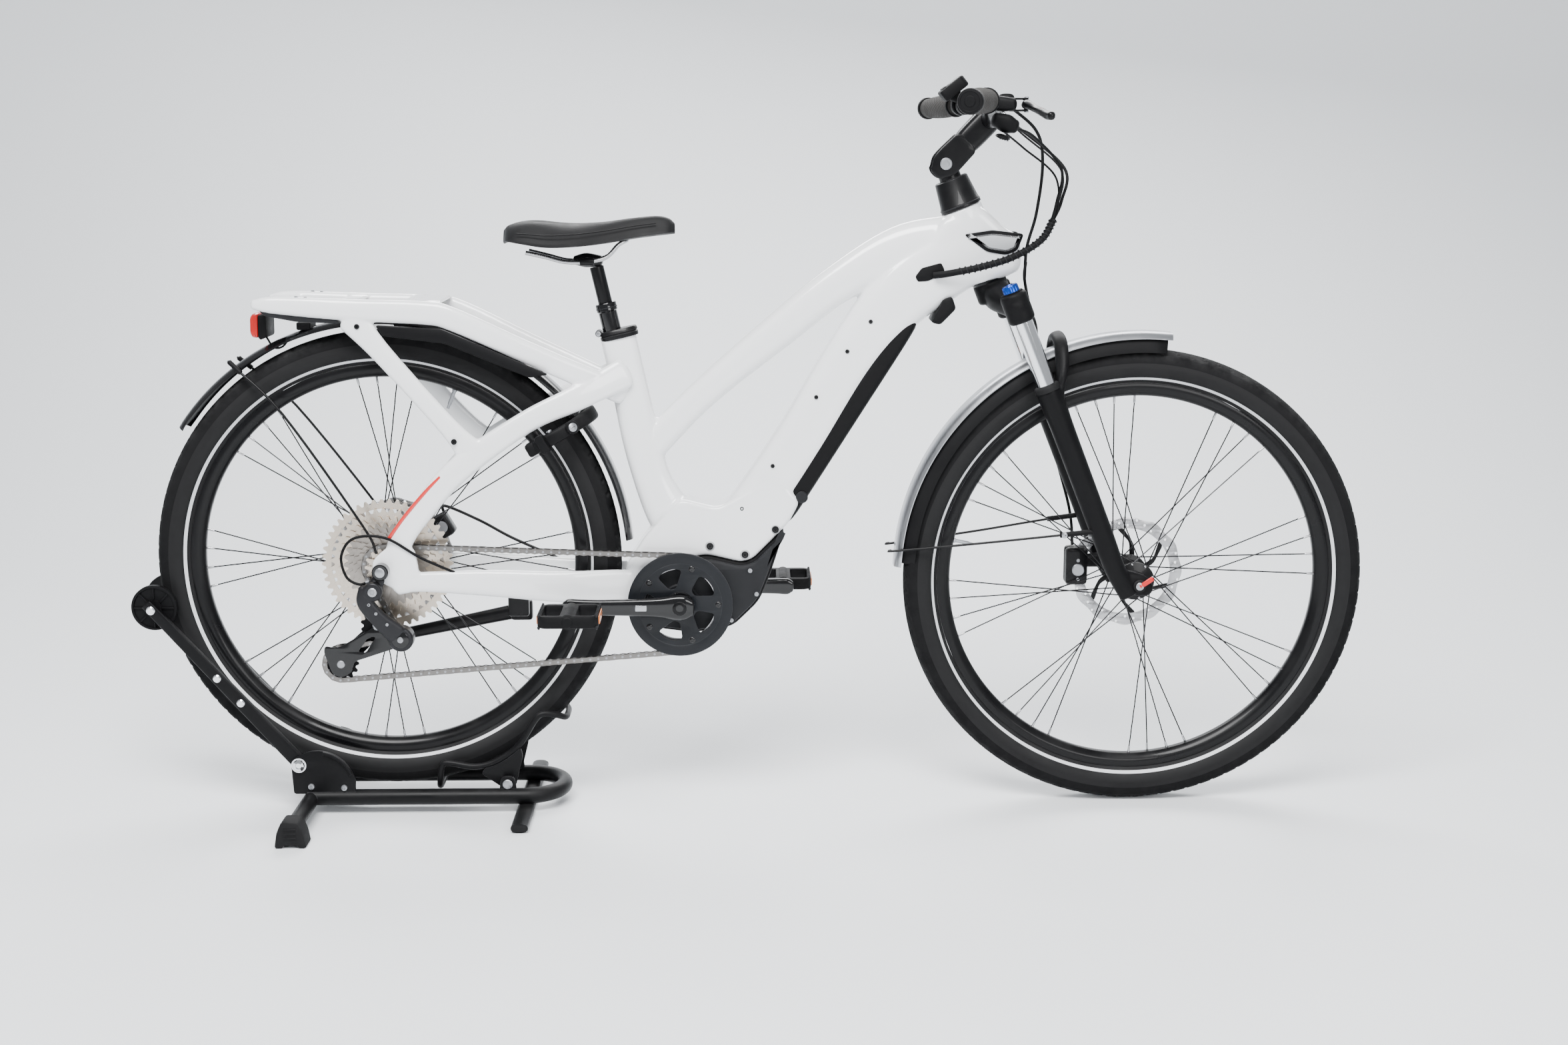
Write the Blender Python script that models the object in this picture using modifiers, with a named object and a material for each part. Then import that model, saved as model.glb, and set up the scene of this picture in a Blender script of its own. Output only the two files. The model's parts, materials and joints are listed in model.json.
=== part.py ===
"""A trekking e-bike whose rear wheel stands in a tubular floor stand.

Metres, +Z up, +X forward, +Y to the rider's left. The origin is on the floor, midway
between the stand's rollers and the front tyre, in the bicycle's middle plane.
"""

import math

import bmesh
import bpy
from mathutils import Matrix, Vector

# Driving dimensions, in metres and degrees.
TYRE_RADIUS = 0.366
TYRE_WIDTH = 0.055
TYRE_HEIGHT = 0.053
RIM_DEPTH = 0.021
RIM_WIDTH = 0.029
WHEELBASE = 1.180
WHEEL_LIFT = 0.034
BB_BEHIND_TYRE = 0.094
BB_DROP = 0.063
CRANK_LENGTH = 0.165
CRANK_ANGLE = 2.0
HEAD_LEAN = 21.5
FORK_OFFSET = 0.047
FORK_LENGTH = 0.528
HEAD_LENGTH = 0.119
LEG_SPREAD = 0.066
LEG_FORWARD = 0.021
STANCHION_RADIUS = 0.015
STEERER_RADIUS = 0.0143
POST_RADIUS = 0.0145
INNER_POST_RADIUS = 0.011
POST_LEAN = 12.8
BAR_RADIUS = 0.0111
GRIP_RADIUS = 0.0185
BAR_HALF_WIDTH = 0.345
GRIP_LENGTH = 0.128
AXLE_RADIUS = 0.006
REAR_DROPOUT_GAP = 0.0745
ROTOR_RADIUS = 0.090
ROTOR_THICKNESS = 0.002
CHAIN_PITCH = 0.0127
CHAIN_RADIUS = 0.0035
RING_TEETH = 38
SPROCKET_TEETH = 16
PULLEY_TEETH = 13
CHAIN_LINE = 0.052
REAR_CHAIN_LINE = 0.058
SPOKE_RADIUS = 0.0010
MUDGUARD_WIDTH = 0.062
MUDGUARD_WALL = 0.0016
MUDGUARD_GAP = 0.0205
DOWN_TUBE_WIDTH = 0.068
BATTERY_WIDTH = 0.050
BATTERY_DEPTH = 0.075
BATTERY_LENGTH = 0.390
STAND_HALF_TRACK = 0.061
STAND_TUBE_RADIUS = 0.013
STAND_TUBE_HEIGHT = 0.026
STAND_BAR_HALF = 0.166
ROLLER_RADIUS = 0.036
ROLLER_CORE = 0.0055
LOCK_RADIUS = 0.063

# Named clearances.
GAP = 0.0003
RUNNING_GAP = 0.001
STEPS = 40

# Places that follow from the driving dimensions.
RIM_RADIUS = TYRE_RADIUS - TYRE_HEIGHT
RIM_INNER = RIM_RADIUS - RIM_DEPTH
ROLLER_REACH = TYRE_RADIUS + ROLLER_CORE + RUNNING_GAP
ROLLER_ANGLE = math.radians(190.35)
REAR_X = (ROLLER_RADIUS - ROLLER_REACH * math.cos(ROLLER_ANGLE) - WHEELBASE - TYRE_RADIUS) / 2
REAR_Z = TYRE_RADIUS + WHEEL_LIFT
LEAN = math.radians(HEAD_LEAN)
UP = Vector((-math.sin(LEAN), 0, math.cos(LEAN)))
AHEAD = Vector((math.cos(LEAN), 0, math.sin(LEAN)))
SIDE = Vector((0, 1, 0))
REAR_AXLE = Vector((REAR_X, 0, REAR_Z))
FRONT_AXLE = Vector((REAR_X + WHEELBASE, 0, TYRE_RADIUS))
BB = REAR_AXLE + Vector((TYRE_RADIUS + BB_BEHIND_TYRE, 0, -BB_DROP))
HEAD = FRONT_AXLE - AHEAD * FORK_OFFSET + UP * FORK_LENGTH
POST_UP = Vector((-math.sin(math.radians(POST_LEAN)), 0, math.cos(math.radians(POST_LEAN))))
POST_TOP = BB + Vector((-0.1025, 0, 0.4225))
RING_RADIUS = CHAIN_PITCH / (2 * math.sin(math.pi / RING_TEETH))
SPROCKET_RADIUS = CHAIN_PITCH / (2 * math.sin(math.pi / SPROCKET_TEETH))
PULLEY_RADIUS = CHAIN_PITCH / (2 * math.sin(math.pi / PULLEY_TEETH))
MUDGUARD_RADIUS = TYRE_RADIUS + MUDGUARD_GAP


def clear_scene():
    for obj in list(bpy.data.objects):
        bpy.data.objects.remove(obj, do_unlink=True)


def new_collection(name):
    made = bpy.data.collections.new(name)
    bpy.context.scene.collection.children.link(made)
    return made


clear_scene()
PARTS = new_collection("bicycle_on_stand")
CUTTERS = new_collection("cutters")


def material(name, color, roughness, metallic=0.0):
    made = bpy.data.materials.new(name)
    made.use_nodes = True
    shader = made.node_tree.nodes["Principled BSDF"]
    shader.inputs["Base Color"].default_value = (*color, 1)
    shader.inputs["Roughness"].default_value = roughness
    shader.inputs["Metallic"].default_value = metallic
    return made


WHITE = material("gloss_white_paint", (0.85, 0.86, 0.87), 0.15)
BLACK_PAINT = material("satin_black_paint", (0.02, 0.02, 0.022), 0.35)
POWDER = material("black_powder_coat", (0.015, 0.015, 0.017), 0.45)
BLACK_PLASTIC = material("matte_black_plastic", (0.022, 0.022, 0.024), 0.55)
TYRE_RUBBER = material("tyre_rubber", (0.05, 0.052, 0.055), 0.75)
GRIP_RUBBER = material("grey_grip_rubber", (0.14, 0.135, 0.13), 0.8)
CHROME = material("chrome_tube", (0.75, 0.76, 0.78), 0.12, 1.0)
STEEL = material("bright_steel", (0.55, 0.55, 0.56), 0.3, 1.0)
CHAMPAGNE = material("champagne_sprocket", (0.72, 0.66, 0.58), 0.35, 0.9)
GREY_ALLOY = material("dark_grey_alloy", (0.09, 0.10, 0.115), 0.4, 0.8)
SADDLE_SKIN = material("saddle_skin", (0.02, 0.02, 0.021), 0.6)
RED_LENS = material("red_lens", (0.7, 0.03, 0.02), 0.2)
BLUE_ALLOY = material("blue_alloy", (0.03, 0.09, 0.45), 0.3, 0.8)


def rear(x, z, y=0.0):
    """x ahead of the rear axle, z above it."""
    return REAR_AXLE + Vector((x, y, z))


def near_bb(x, z, y=0.0):
    """x ahead of the bottom bracket, z above it."""
    return BB + Vector((x, y, z))


def near_head(x, z, y=0.0):
    """x ahead of the head tube's lower end, z above it."""
    return HEAD + Vector((x, y, z))


def steer(up, ahead=0.0, y=0.0):
    """up along the steering axis from the head tube's lower end, ahead square to it."""
    return HEAD + UP * up + AHEAD * ahead + SIDE * y


def on_floor(x, z, y=0.0):
    """x ahead of the rear axle, z above the floor."""
    return Vector((REAR_X + x, y, z))


def polar(centre, radius, degrees, y=0.0):
    angle = math.radians(degrees)
    return centre + Vector((radius * math.cos(angle), y, radius * math.sin(angle)))


def place(obj, skin):
    PARTS.objects.link(obj)
    if not obj.data.materials:
        obj.data.materials.append(skin)
    return obj


def from_bmesh(name, mesh_data, skin):
    bmesh.ops.recalc_face_normals(mesh_data, faces=mesh_data.faces)
    mesh = bpy.data.meshes.new(name)
    mesh_data.to_mesh(mesh)
    mesh_data.free()
    return place(bpy.data.objects.new(name, mesh), skin)


def smooth(obj, degrees=35):
    obj.data.shade_smooth()
    obj.data.set_sharp_from_angle(angle=math.radians(degrees))
    return obj


def box(name, centre, size, skin, turn=0.0, bevel=0.0):
    """A block; turn tips it about Y, clockwise as seen from the right side."""
    made = bmesh.new()
    bmesh.ops.create_cube(made, size=1.0)
    bmesh.ops.scale(made, vec=size, verts=made.verts)
    obj = from_bmesh(name, made, skin)
    obj.matrix_world = Matrix.Translation(centre) @ Matrix.Rotation(math.radians(turn), 4, "Y")
    if bevel:
        add_bevel(obj, bevel)
    return obj


def add_bevel(obj, width, segments=1):
    rounding = obj.modifiers.new("rounding", "BEVEL")
    rounding.width = width
    rounding.segments = segments
    rounding.limit_method = "ANGLE"
    rounding.angle_limit = math.radians(40)


def rod(name, start, end, radius, skin, sides=16, end_radius=None):
    """A round bar, or a cone where end_radius is given."""
    line = end - start
    made = bmesh.new()
    bmesh.ops.create_cone(
        made, cap_ends=True, segments=sides, radius1=radius,
        radius2=radius if end_radius is None else end_radius, depth=line.length)
    obj = smooth(from_bmesh(name, made, skin))
    turn = Vector((0, 0, 1)).rotation_difference(line)
    obj.matrix_world = Matrix.Translation((start + end) / 2) @ turn.to_matrix().to_4x4()
    return obj


def turned(name, profile, origin, axis, skin, steps=STEPS):
    """A profile of (radius, height) pairs carried round an axis. A ring's profile is a closed loop."""
    ring = all(radius > 0 for radius, _ in profile)
    if ring:
        area = sum(a[0] * b[1] - b[0] * a[1] for a, b in zip(profile, profile[1:] + profile[:1]))
        if area > 0:
            profile = profile[::-1]
    mesh = bpy.data.meshes.new(name)
    count = len(profile)
    edges = [(i, (i + 1) % count) for i in range(count if ring else count - 1)]
    mesh.from_pydata([(radius, 0, height) for radius, height in profile], edges, [])
    obj = place(bpy.data.objects.new(name, mesh), skin)
    screw = obj.modifiers.new("turning", "SCREW")
    screw.steps = screw.render_steps = steps
    screw.use_merge_vertices = True
    screw.merge_threshold = 0.00001
    turn = Vector((0, 0, 1)).rotation_difference(Vector(axis))
    obj.matrix_world = Matrix.Translation(origin) @ turn.to_matrix().to_4x4()
    return obj


def as_mesh(curve_object, skin):
    """The curve's solid as a mesh object, its caps welded, so that a Boolean can use it."""
    name = curve_object.name
    graph = bpy.context.evaluated_depsgraph_get()
    mesh = bpy.data.meshes.new_from_object(curve_object.evaluated_get(graph))
    mesh.materials.clear()
    welded = bmesh.new()
    welded.from_mesh(mesh)
    bmesh.ops.remove_doubles(welded, verts=welded.verts, dist=0.00001)
    bmesh.ops.recalc_face_normals(welded, faces=welded.faces)
    welded.to_mesh(mesh)
    welded.free()
    matrix = curve_object.matrix_world.copy()
    bpy.data.objects.remove(curve_object, do_unlink=True)
    obj = place(bpy.data.objects.new(name, mesh), skin)
    obj.name = name
    obj.matrix_world = matrix
    return obj


def wire(name, points, radius, skin, closed=False, resolution=2):
    """A round wire or tube through the points."""
    curve = bpy.data.curves.new(name, "CURVE")
    curve.dimensions = "3D"
    spline = curve.splines.new("POLY")
    spline.points.add(len(points) - 1)
    for point, place_of in zip(spline.points, points):
        point.co = (*place_of, 1)
    spline.use_cyclic_u = closed
    curve.bevel_depth = radius
    curve.bevel_resolution = resolution
    curve.use_fill_caps = True
    obj = bpy.data.objects.new(name, curve)
    PARTS.objects.link(obj)
    bpy.context.view_layer.update()
    return smooth(as_mesh(obj, skin), 50)


def plate(name, outline, y_from, y_to, skin, holes=(), bevel=0.0):
    """A flat piece in the bicycle's side plane; outline and holes are lists of (x, z)."""
    curve = bpy.data.curves.new(name, "CURVE")
    curve.dimensions = "2D"
    curve.fill_mode = "BOTH"
    curve.extrude = abs(y_to - y_from) / 2
    for loop in (outline, *holes):
        spline = curve.splines.new("POLY")
        spline.points.add(len(loop) - 1)
        for point, (x, z) in zip(spline.points, loop):
            point.co = (x, z, 0, 1)
        spline.use_cyclic_u = True
    obj = bpy.data.objects.new(name, curve)
    PARTS.objects.link(obj)
    obj.matrix_world = Matrix.Translation((0, (y_from + y_to) / 2, 0)) @ Matrix.Rotation(math.pi / 2, 4, "X")
    bpy.context.view_layer.update()
    made = as_mesh(obj, skin)
    if bevel:
        add_bevel(made, bevel)
    return made


def circle(centre, radius, sides=16):
    """(x, z) pairs round a centre."""
    return [(centre[0] + radius * math.cos(2 * math.pi * i / sides),
             centre[2] + radius * math.sin(2 * math.pi * i / sides)) for i in range(sides)]


def flat(points):
    return [(point.x, point.z) for point in points]


def loft(name, stations, skin, sides=12, power=2.6, across=SIDE):
    """A tube through stations of (centre, height, width); sections are rounded rectangles."""
    made = bmesh.new()
    centres = [station[0] for station in stations]
    rings = []
    for i, (centre, height, width) in enumerate(stations):
        along = (centres[min(i + 1, len(centres) - 1)] - centres[max(i - 1, 0)]).normalized()
        wide = (across - along * across.dot(along)).normalized()
        tall = wide.cross(along)
        ring = []
        for k in range(sides):
            angle = 2 * math.pi * (k + 0.5) / sides
            c, s = math.cos(angle), math.sin(angle)
            a = math.copysign(abs(c) ** (2 / power), c) * width / 2
            b = math.copysign(abs(s) ** (2 / power), s) * height / 2
            ring.append(made.verts.new(centre + wide * a + tall * b))
        rings.append(ring)
    for low, high in zip(rings, rings[1:]):
        for k in range(sides):
            made.faces.new((low[k], low[(k + 1) % sides], high[(k + 1) % sides], high[k]))
    made.faces.new(rings[0])
    made.faces.new(rings[-1])
    return smooth(from_bmesh(name, made, skin), 45)


def as_cutter(obj):
    for home in list(obj.users_collection):
        home.objects.unlink(obj)
    CUTTERS.objects.link(obj)
    obj.hide_render = True
    obj.display_type = "WIRE"
    return obj


def combine(obj, others, operation):
    for other in others:
        step = obj.modifiers.new(other.name, "BOOLEAN")
        step.operation = operation
        step.object = as_cutter(other)
    return obj


def join(obj, others):
    return combine(obj, others, "UNION")


def cut(obj, others):
    return combine(obj, others, "DIFFERENCE")


def mirrored(point):
    return Vector((point[0], -point[1], point[2]))


def sides():
    """Right is -Y, left is +Y."""
    return (("right", -1), ("left", 1))


# ---- Wheels ----

def tyre(name, axle):
    bead, top = RIM_RADIUS + GAP, TYRE_RADIUS
    half = TYRE_WIDTH / 2
    side = [(bead, 0.47), (bead + 0.014, 0.90), (bead + 0.030, 1.0), (top - 0.0085, 0.74)]
    profile = [(r, w * half) for r, w in side] + [(top, 0.0)]
    profile += [(r, -w * half) for r, w in reversed(side)]
    return turned(name, profile, axle, SIDE, TYRE_RUBBER)


def rim(name, axle):
    half = RIM_WIDTH / 2
    side = [(RIM_INNER, 0.45), (RIM_INNER + 0.009, 1.0), (RIM_RADIUS, 1.0)]
    profile = [(r, w * half) for r, w in side] + [(r, -w * half) for r, w in reversed(side)]
    return turned(name, profile, axle, SIDE, BLACK_PAINT)


def spoke_group(name, axle, flange_right, flange_left, lean, turn):
    """Every spoke that leans one way: two in each of eight groups of four."""
    made = bmesh.new()
    flange_radius, spacing, sweep = 0.0275, 6.2, 58.0
    for group in range(8):
        for slot in (0, 1):
            place_in_group = slot if lean > 0 else slot + 2
            angle = math.radians(turn + 45 * group + (place_in_group - 1.5) * spacing)
            y = flange_right if slot == 0 else flange_left
            y += math.copysign(0.0014, y) * lean
            hub_angle = angle + lean * math.radians(sweep)
            start = Vector((flange_radius * math.cos(hub_angle), y, flange_radius * math.sin(hub_angle)))
            reach = RIM_INNER * math.cos(math.pi / STEPS) - 2 * GAP
            end = Vector((reach * math.cos(angle), 0, reach * math.sin(angle)))
            turn_to = Vector((0, 0, 1)).rotation_difference(end - start).to_matrix().to_4x4()
            bmesh.ops.create_cone(
                made, cap_ends=True, segments=3, radius1=SPOKE_RADIUS, radius2=SPOKE_RADIUS,
                depth=(end - start).length, matrix=Matrix.Translation(axle + (start + end) / 2) @ turn_to)
    return from_bmesh(name, made, STEEL)


def hub_with_spokes(name, axle, flange_right, flange_left, end_right, end_left, turn):
    """The hub shell, bored for its axle, with all the spokes."""
    bore, barrel = AXLE_RADIUS + GAP, 0.0165
    web = 0.0026
    profile = [
        (bore, end_left), (barrel, end_left), (barrel, flange_left + web), (0.030, flange_left + web),
        (0.030, flange_left - web), (barrel, flange_left - 0.012), (barrel, flange_right + 0.012),
        (0.030, flange_right + web), (0.030, flange_right - web), (barrel, flange_right - web),
        (barrel, end_right), (bore, end_right)]
    hub = turned(name, profile, axle, SIDE, BLACK_PAINT, steps=16)
    groups = [spoke_group(f"{name}_lean_{i}", axle, flange_right, flange_left, lean, turn)
              for i, lean in enumerate((1, -1))]
    return join(hub, groups)


def rotor(name, axle, y):
    holes = []
    for i in range(6):
        start = 60 * i + 8
        arc_out = [polar(axle, 0.0735, start + a) for a in (0, 15, 30, 44)]
        arc_in = [polar(axle, 0.030, start + a) for a in (40, 20, 4)]
        holes.append(flat(arc_out + arc_in))
    holes.append(circle(axle, 0.0165 + 0.0006, 16))
    half = ROTOR_THICKNESS / 2
    return plate(name, circle(axle, ROTOR_RADIUS, 36), y - half, y + half, STEEL, holes)


def cassette():
    """Twelve sprockets read as six steps, largest inboard."""
    steps = [(0.0200, 0.0695), (0.0275, 0.0640), (0.0410, 0.0540), (0.0560, 0.0475), (0.0790, 0.0410),
             (0.1045, 0.0350)]
    bore, inboard = AXLE_RADIUS + 0.0008, 0.0310
    outline = [(bore, -steps[0][1])]
    for (radius, y), following in zip(steps, steps[1:] + [(0, inboard)]):
        outline += [(radius, -y), (radius, -following[1])]
    outline.append((bore, -inboard))
    return turned("cassette", outline, REAR_AXLE, SIDE, CHAMPAGNE, steps=28)


def wheels():
    tyre("rear_tyre", REAR_AXLE)
    rim("rear_rim", REAR_AXLE)
    hub_with_spokes("rear_spokes", REAR_AXLE, -0.0215, 0.034, -0.0300, 0.0725, -0.8)
    rotor("rear_rotor", REAR_AXLE, 0.0585)
    cassette()
    tyre("front_tyre", FRONT_AXLE)
    rim("front_rim", FRONT_AXLE)
    hub_with_spokes("front_spokes", FRONT_AXLE, -0.034, 0.030, -0.053, 0.053, 10.0)
    rotor("front_rotor", FRONT_AXLE, 0.0425)
    reach = REAR_DROPOUT_GAP + 0.0065
    rod("rear_axle", REAR_AXLE - SIDE * reach, REAR_AXLE + SIDE * reach, AXLE_RADIUS, STEEL)


# ---- Frame ----

def seat_tube_stations(extra=0.0):
    rows = [(-0.093, 0.413, 0.058, 0.037), (-0.0785, 0.343, 0.057, 0.038), (-0.061, 0.257, 0.060, 0.040),
            (-0.043, 0.189, 0.060, 0.044), (-0.020, 0.140, 0.072, 0.050), (-0.002, 0.112, 0.070, 0.056)]
    return [(near_bb(x, z), tall + extra, wide + extra) for x, z, tall, wide in rows]


def top_tube_stations():
    return [
        (near_bb(-0.055, 0.231), 0.048, 0.032), (near_bb(0.0385, 0.3267), 0.0475, 0.036),
        (near_bb(0.1605, 0.4277), 0.0565, 0.042), (near_head(-0.2327, -0.005), 0.061, 0.046),
        (near_head(-0.138, 0.045), 0.078, 0.052), (near_head(-0.058, 0.058), 0.086, 0.056)]


def down_tube_stations():
    wide = DOWN_TUBE_WIDTH
    return [
        (near_bb(0.085, 0.105), 0.080, wide - 0.006), (near_bb(0.136, 0.171), 0.0835, wide),
        (near_bb(0.1952, 0.2608), 0.0830, wide), (near_head(-0.2147, -0.120), 0.0830, wide),
        (near_head(-0.139, -0.028), 0.100, wide), (near_head(-0.072, 0.022), 0.106, 0.066),
        (near_head(-0.010, 0.055), 0.096, 0.062)]


def head_outline():
    rows = [(-0.0750, 0.0960), (-0.0150, 0.1150), (0.0220, 0.0805), (0.0450, 0.0690), (0.0485, 0.0280),
            (0.0450, 0.0140), (0.0200, 0.0035), (-0.0215, -0.0060), (-0.0600, -0.0170), (-0.0950, -0.0100),
            (-0.1000, 0.0500)]
    return flat([near_head(x, z) for x, z in rows])


def bay_lower_edge(drop=0.0):
    rows = [(-0.060, 0.006), (-0.030, 0.058), (0.040, 0.075), (0.096, 0.062), (0.114, 0.067), (0.171, 0.124)]
    return [near_bb(x, z - drop) for x, z in rows]


def bay_outline():
    rows = [(0.190, 0.160), (0.150, 0.200), (0.060, 0.150), (0.000, 0.165), (-0.055, 0.105), (-0.088, 0.055),
            (-0.088, 0.000)]
    return flat(bay_lower_edge() + [near_bb(x, z) for x, z in rows])


def battery_frame():
    """The battery's centre and its length direction."""
    low, high = near_bb(0.178, 0.1275), near_head(-0.0905, -0.0445)
    along = (high - low).normalized()
    inward = along.cross(SIDE)
    return (low + high) / 2 + inward * BATTERY_DEPTH / 2, along


def battery_block(name, clearance, skin):
    centre, along = battery_frame()
    size = (BATTERY_DEPTH + 2 * clearance, BATTERY_WIDTH + 2 * clearance, BATTERY_LENGTH + 2 * clearance)
    tip = math.degrees(math.atan2(along.x, along.z))
    return box(name, centre, size, skin, turn=tip)


def main_frame():
    frame = loft("main_frame", seat_tube_stations(), WHITE)
    top = loft("top_tube_form", top_tube_stations(), WHITE)
    down = loft("down_tube_form", down_tube_stations(), WHITE, power=3.2)
    head = plate("head_form", head_outline(), -0.031, 0.031, WHITE, bevel=0.010)
    bay = plate("bay_form", bay_outline(), -0.035, 0.035, WHITE)
    join(frame, [top, down, head, bay])
    post_bore = rod("post_bore", POST_TOP - POST_UP * 0.235, POST_TOP + POST_UP * 0.05, POST_RADIUS + GAP, WHITE)
    steerer_bore = rod("steerer_bore", steer(-0.03), steer(0.16), STEERER_RADIUS + 0.0007, WHITE)
    top_trim = rod("head_top_trim", steer(HEAD_LENGTH), steer(0.20), 0.060, WHITE)
    foot_trim = rod("head_foot_trim", steer(-0.06), steer(0), 0.062, WHITE)
    cut(frame, [post_bore, steerer_bore, top_trim, foot_trim, battery_block("battery_bay", 0.0006, WHITE)])


def mirrored_stations(rows, sign):
    return [(Vector((point.x, point.y * sign, point.z)), tall, wide) for point, tall, wide in rows]


def chainstay_rows():
    return [
        (rear(0.024, -0.022, 0.080), 0.036, 0.010), (rear(0.060, -0.020, 0.078), 0.032, 0.014),
        (rear(0.160, -0.0245, 0.067), 0.042, 0.018), (near_bb(-0.189, 0.029, 0.054), 0.050, 0.018),
        (near_bb(-0.115, 0.027, 0.0405), 0.052, 0.012), (near_bb(-0.080, 0.027, 0.0340), 0.050, 0.012)]


def seat_stay_rows():
    return [
        (rear(0.030, -0.030, 0.080), 0.030, 0.009), (rear(0.027, 0.037, 0.079), 0.038, 0.013),
        (rear(0.066, 0.094, 0.076), 0.036, 0.016), (rear(0.122, 0.156, 0.071), 0.040, 0.018),
        (rear(0.224, 0.226, 0.058), 0.035, 0.018), (near_bb(-0.160, 0.324, 0.0445), 0.040, 0.017),
        (near_bb(-0.086, 0.360, 0.022), 0.048, 0.016)]


def rack_strut_rows():
    return [
        (rear(0.142, 0.181, 0.069), 0.046, 0.015), (rear(0.105, 0.224, 0.067), 0.031, 0.015),
        (rear(0.010, 0.333, 0.063), 0.032, 0.015), (rear(-0.034, 0.386, 0.062), 0.046, 0.015)]


def rack_rail_rows():
    lift = TYRE_RADIUS
    return [
        (rear(-0.184, lift + 0.043, 0.058), 0.016, 0.016), (rear(-0.150, lift + 0.042, 0.060), 0.027, 0.018),
        (rear(-0.030, lift + 0.0345, 0.062), 0.034, 0.020), (rear(0.075, lift + 0.030, 0.062), 0.036, 0.020),
        (rear(0.118, lift + 0.020, 0.060), 0.036, 0.020), (near_bb(-0.240, 0.401, 0.050), 0.035, 0.019),
        (near_bb(-0.145, 0.357, 0.036), 0.036, 0.017), (near_bb(-0.088, 0.331, 0.016), 0.040, 0.014)]


def rear_triangle():
    """Stays, dropouts and rack, both sides, welded to one another by the rack's cross plates."""
    pieces = []
    for side, sign in sides():
        for label, rows in (("chainstay", chainstay_rows()), ("seat_stay", seat_stay_rows()),
                            ("rack_strut", rack_strut_rows()), ("rack_rail", rack_rail_rows())):
            pieces.append(loft(f"{label}_{side}", mirrored_stations(rows, sign), WHITE, sides=10))
        inner = sign * (REAR_DROPOUT_GAP + GAP)
        outer = sign * (REAR_DROPOUT_GAP + 0.010)
        outline = [rear(-0.016, 0.012), rear(-0.004, 0.026), rear(0.030, 0.050), rear(0.052, 0.030),
                   rear(0.060, -0.030), rear(0.030, -0.038), rear(-0.012, -0.014)]
        pieces.append(plate(f"dropout_{side}", flat(outline), min(inner, outer), max(inner, outer), WHITE))
    deck = TYRE_RADIUS + 0.046
    for label, x, length in (("tail", -0.158, 0.040), ("middle", -0.045, 0.030), ("front", 0.070, 0.060)):
        pieces.append(box(f"rack_deck_{label}", rear(x, deck), (length, 0.118, 0.006), WHITE))
    pieces.append(box("kickstand_bracket", near_bb(-0.268, -0.014, 0.073), (0.034, 0.016, 0.066), WHITE))
    frame, others = pieces[0], pieces[1:]
    frame.name = "rear_triangle"
    join(frame, others)
    reach = REAR_DROPOUT_GAP + 0.02
    axle_bore = rod("dropout_bore", REAR_AXLE - SIDE * reach, REAR_AXLE + SIDE * reach, AXLE_RADIUS + GAP, WHITE)
    seat_room = loft("seat_tube_room", seat_tube_stations(extra=2 * GAP), WHITE)
    bay_room = plate("bay_room", bay_room_outline(), -0.0353, 0.0353, WHITE)
    cut(frame, [axle_bore, seat_room, bay_room])


def bay_room_outline():
    """The bay and the motor below it, drawn 0.4 mm larger at the back, where the chainstays meet them."""
    back = -0.0884
    rows = [(back, -0.020), (back, 0.0555), (-0.0554, 0.1056), (0.000, 0.166), (0.060, 0.152), (0.060, -0.020)]
    return flat([near_bb(x, z) for x, z in rows])


def drive_unit():
    rows = [(0.168, 0.119), (0.141, 0.040), (0.124, -0.001), (0.082, -0.042), (0.020, -0.052), (-0.040, -0.044),
            (-0.060, -0.020)]
    outline = flat(bay_lower_edge(drop=0.0008)[:-1] + [near_bb(x, z) for x, z in rows])
    unit = plate("drive_unit", outline, -0.040, 0.040, BLACK_PLASTIC, bevel=0.004)
    reach = SIDE * 0.06
    return cut(unit, [rod("spindle_bore", BB - reach, BB + reach, 0.0125, BLACK_PLASTIC)])


def ridge_of(radius, half_width, drop):
    """Half of a mudguard's section: flat on top, turned down at the edge."""
    return [(radius - drop, half_width), (radius - drop * 0.25, half_width * 0.72), (radius, half_width * 0.3)]


def mudguard(name, centre, start_degrees, end_degrees, skin):
    """A bent strip, turned from start round to end, given its wall by Solidify."""
    half = ridge_of(MUDGUARD_RADIUS - MUDGUARD_WALL, MUDGUARD_WIDTH / 2, 0.008)
    profile = half + [(r, -w) for r, w in reversed(half)]
    mesh = bpy.data.meshes.new(name)
    mesh.from_pydata([(r, 0, w) for r, w in profile], [(i, i + 1) for i in range(len(profile) - 1)], [])
    obj = place(bpy.data.objects.new(name, mesh), skin)
    screw = obj.modifiers.new("bending", "SCREW")
    screw.angle = math.radians(end_degrees - start_degrees)
    screw.steps = screw.render_steps = round((end_degrees - start_degrees) / 7)
    screw.use_merge_vertices = False
    wall = obj.modifiers.new("wall", "SOLIDIFY")
    wall.thickness = MUDGUARD_WALL
    wall.offset = 0
    turn_up = Matrix.Rotation(-math.pi / 2, 4, "X") @ Matrix.Rotation(-math.radians(end_degrees), 4, "Z")
    obj.matrix_world = Matrix.Translation(centre) @ turn_up
    return obj


def seat_collar():
    low, high = POST_TOP - POST_UP * 0.0085, POST_TOP + POST_UP * 0.006
    shift = Vector((0.0095, 0, 0.0))
    collar = loft("seat_collar", [(low + shift, 0.060, 0.041), (high + shift, 0.059, 0.039)], BLACK_PAINT)
    return cut(collar, [rod("collar_bore", low - POST_UP * 0.02, high + POST_UP * 0.02, POST_RADIUS + GAP, WHITE)])


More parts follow.
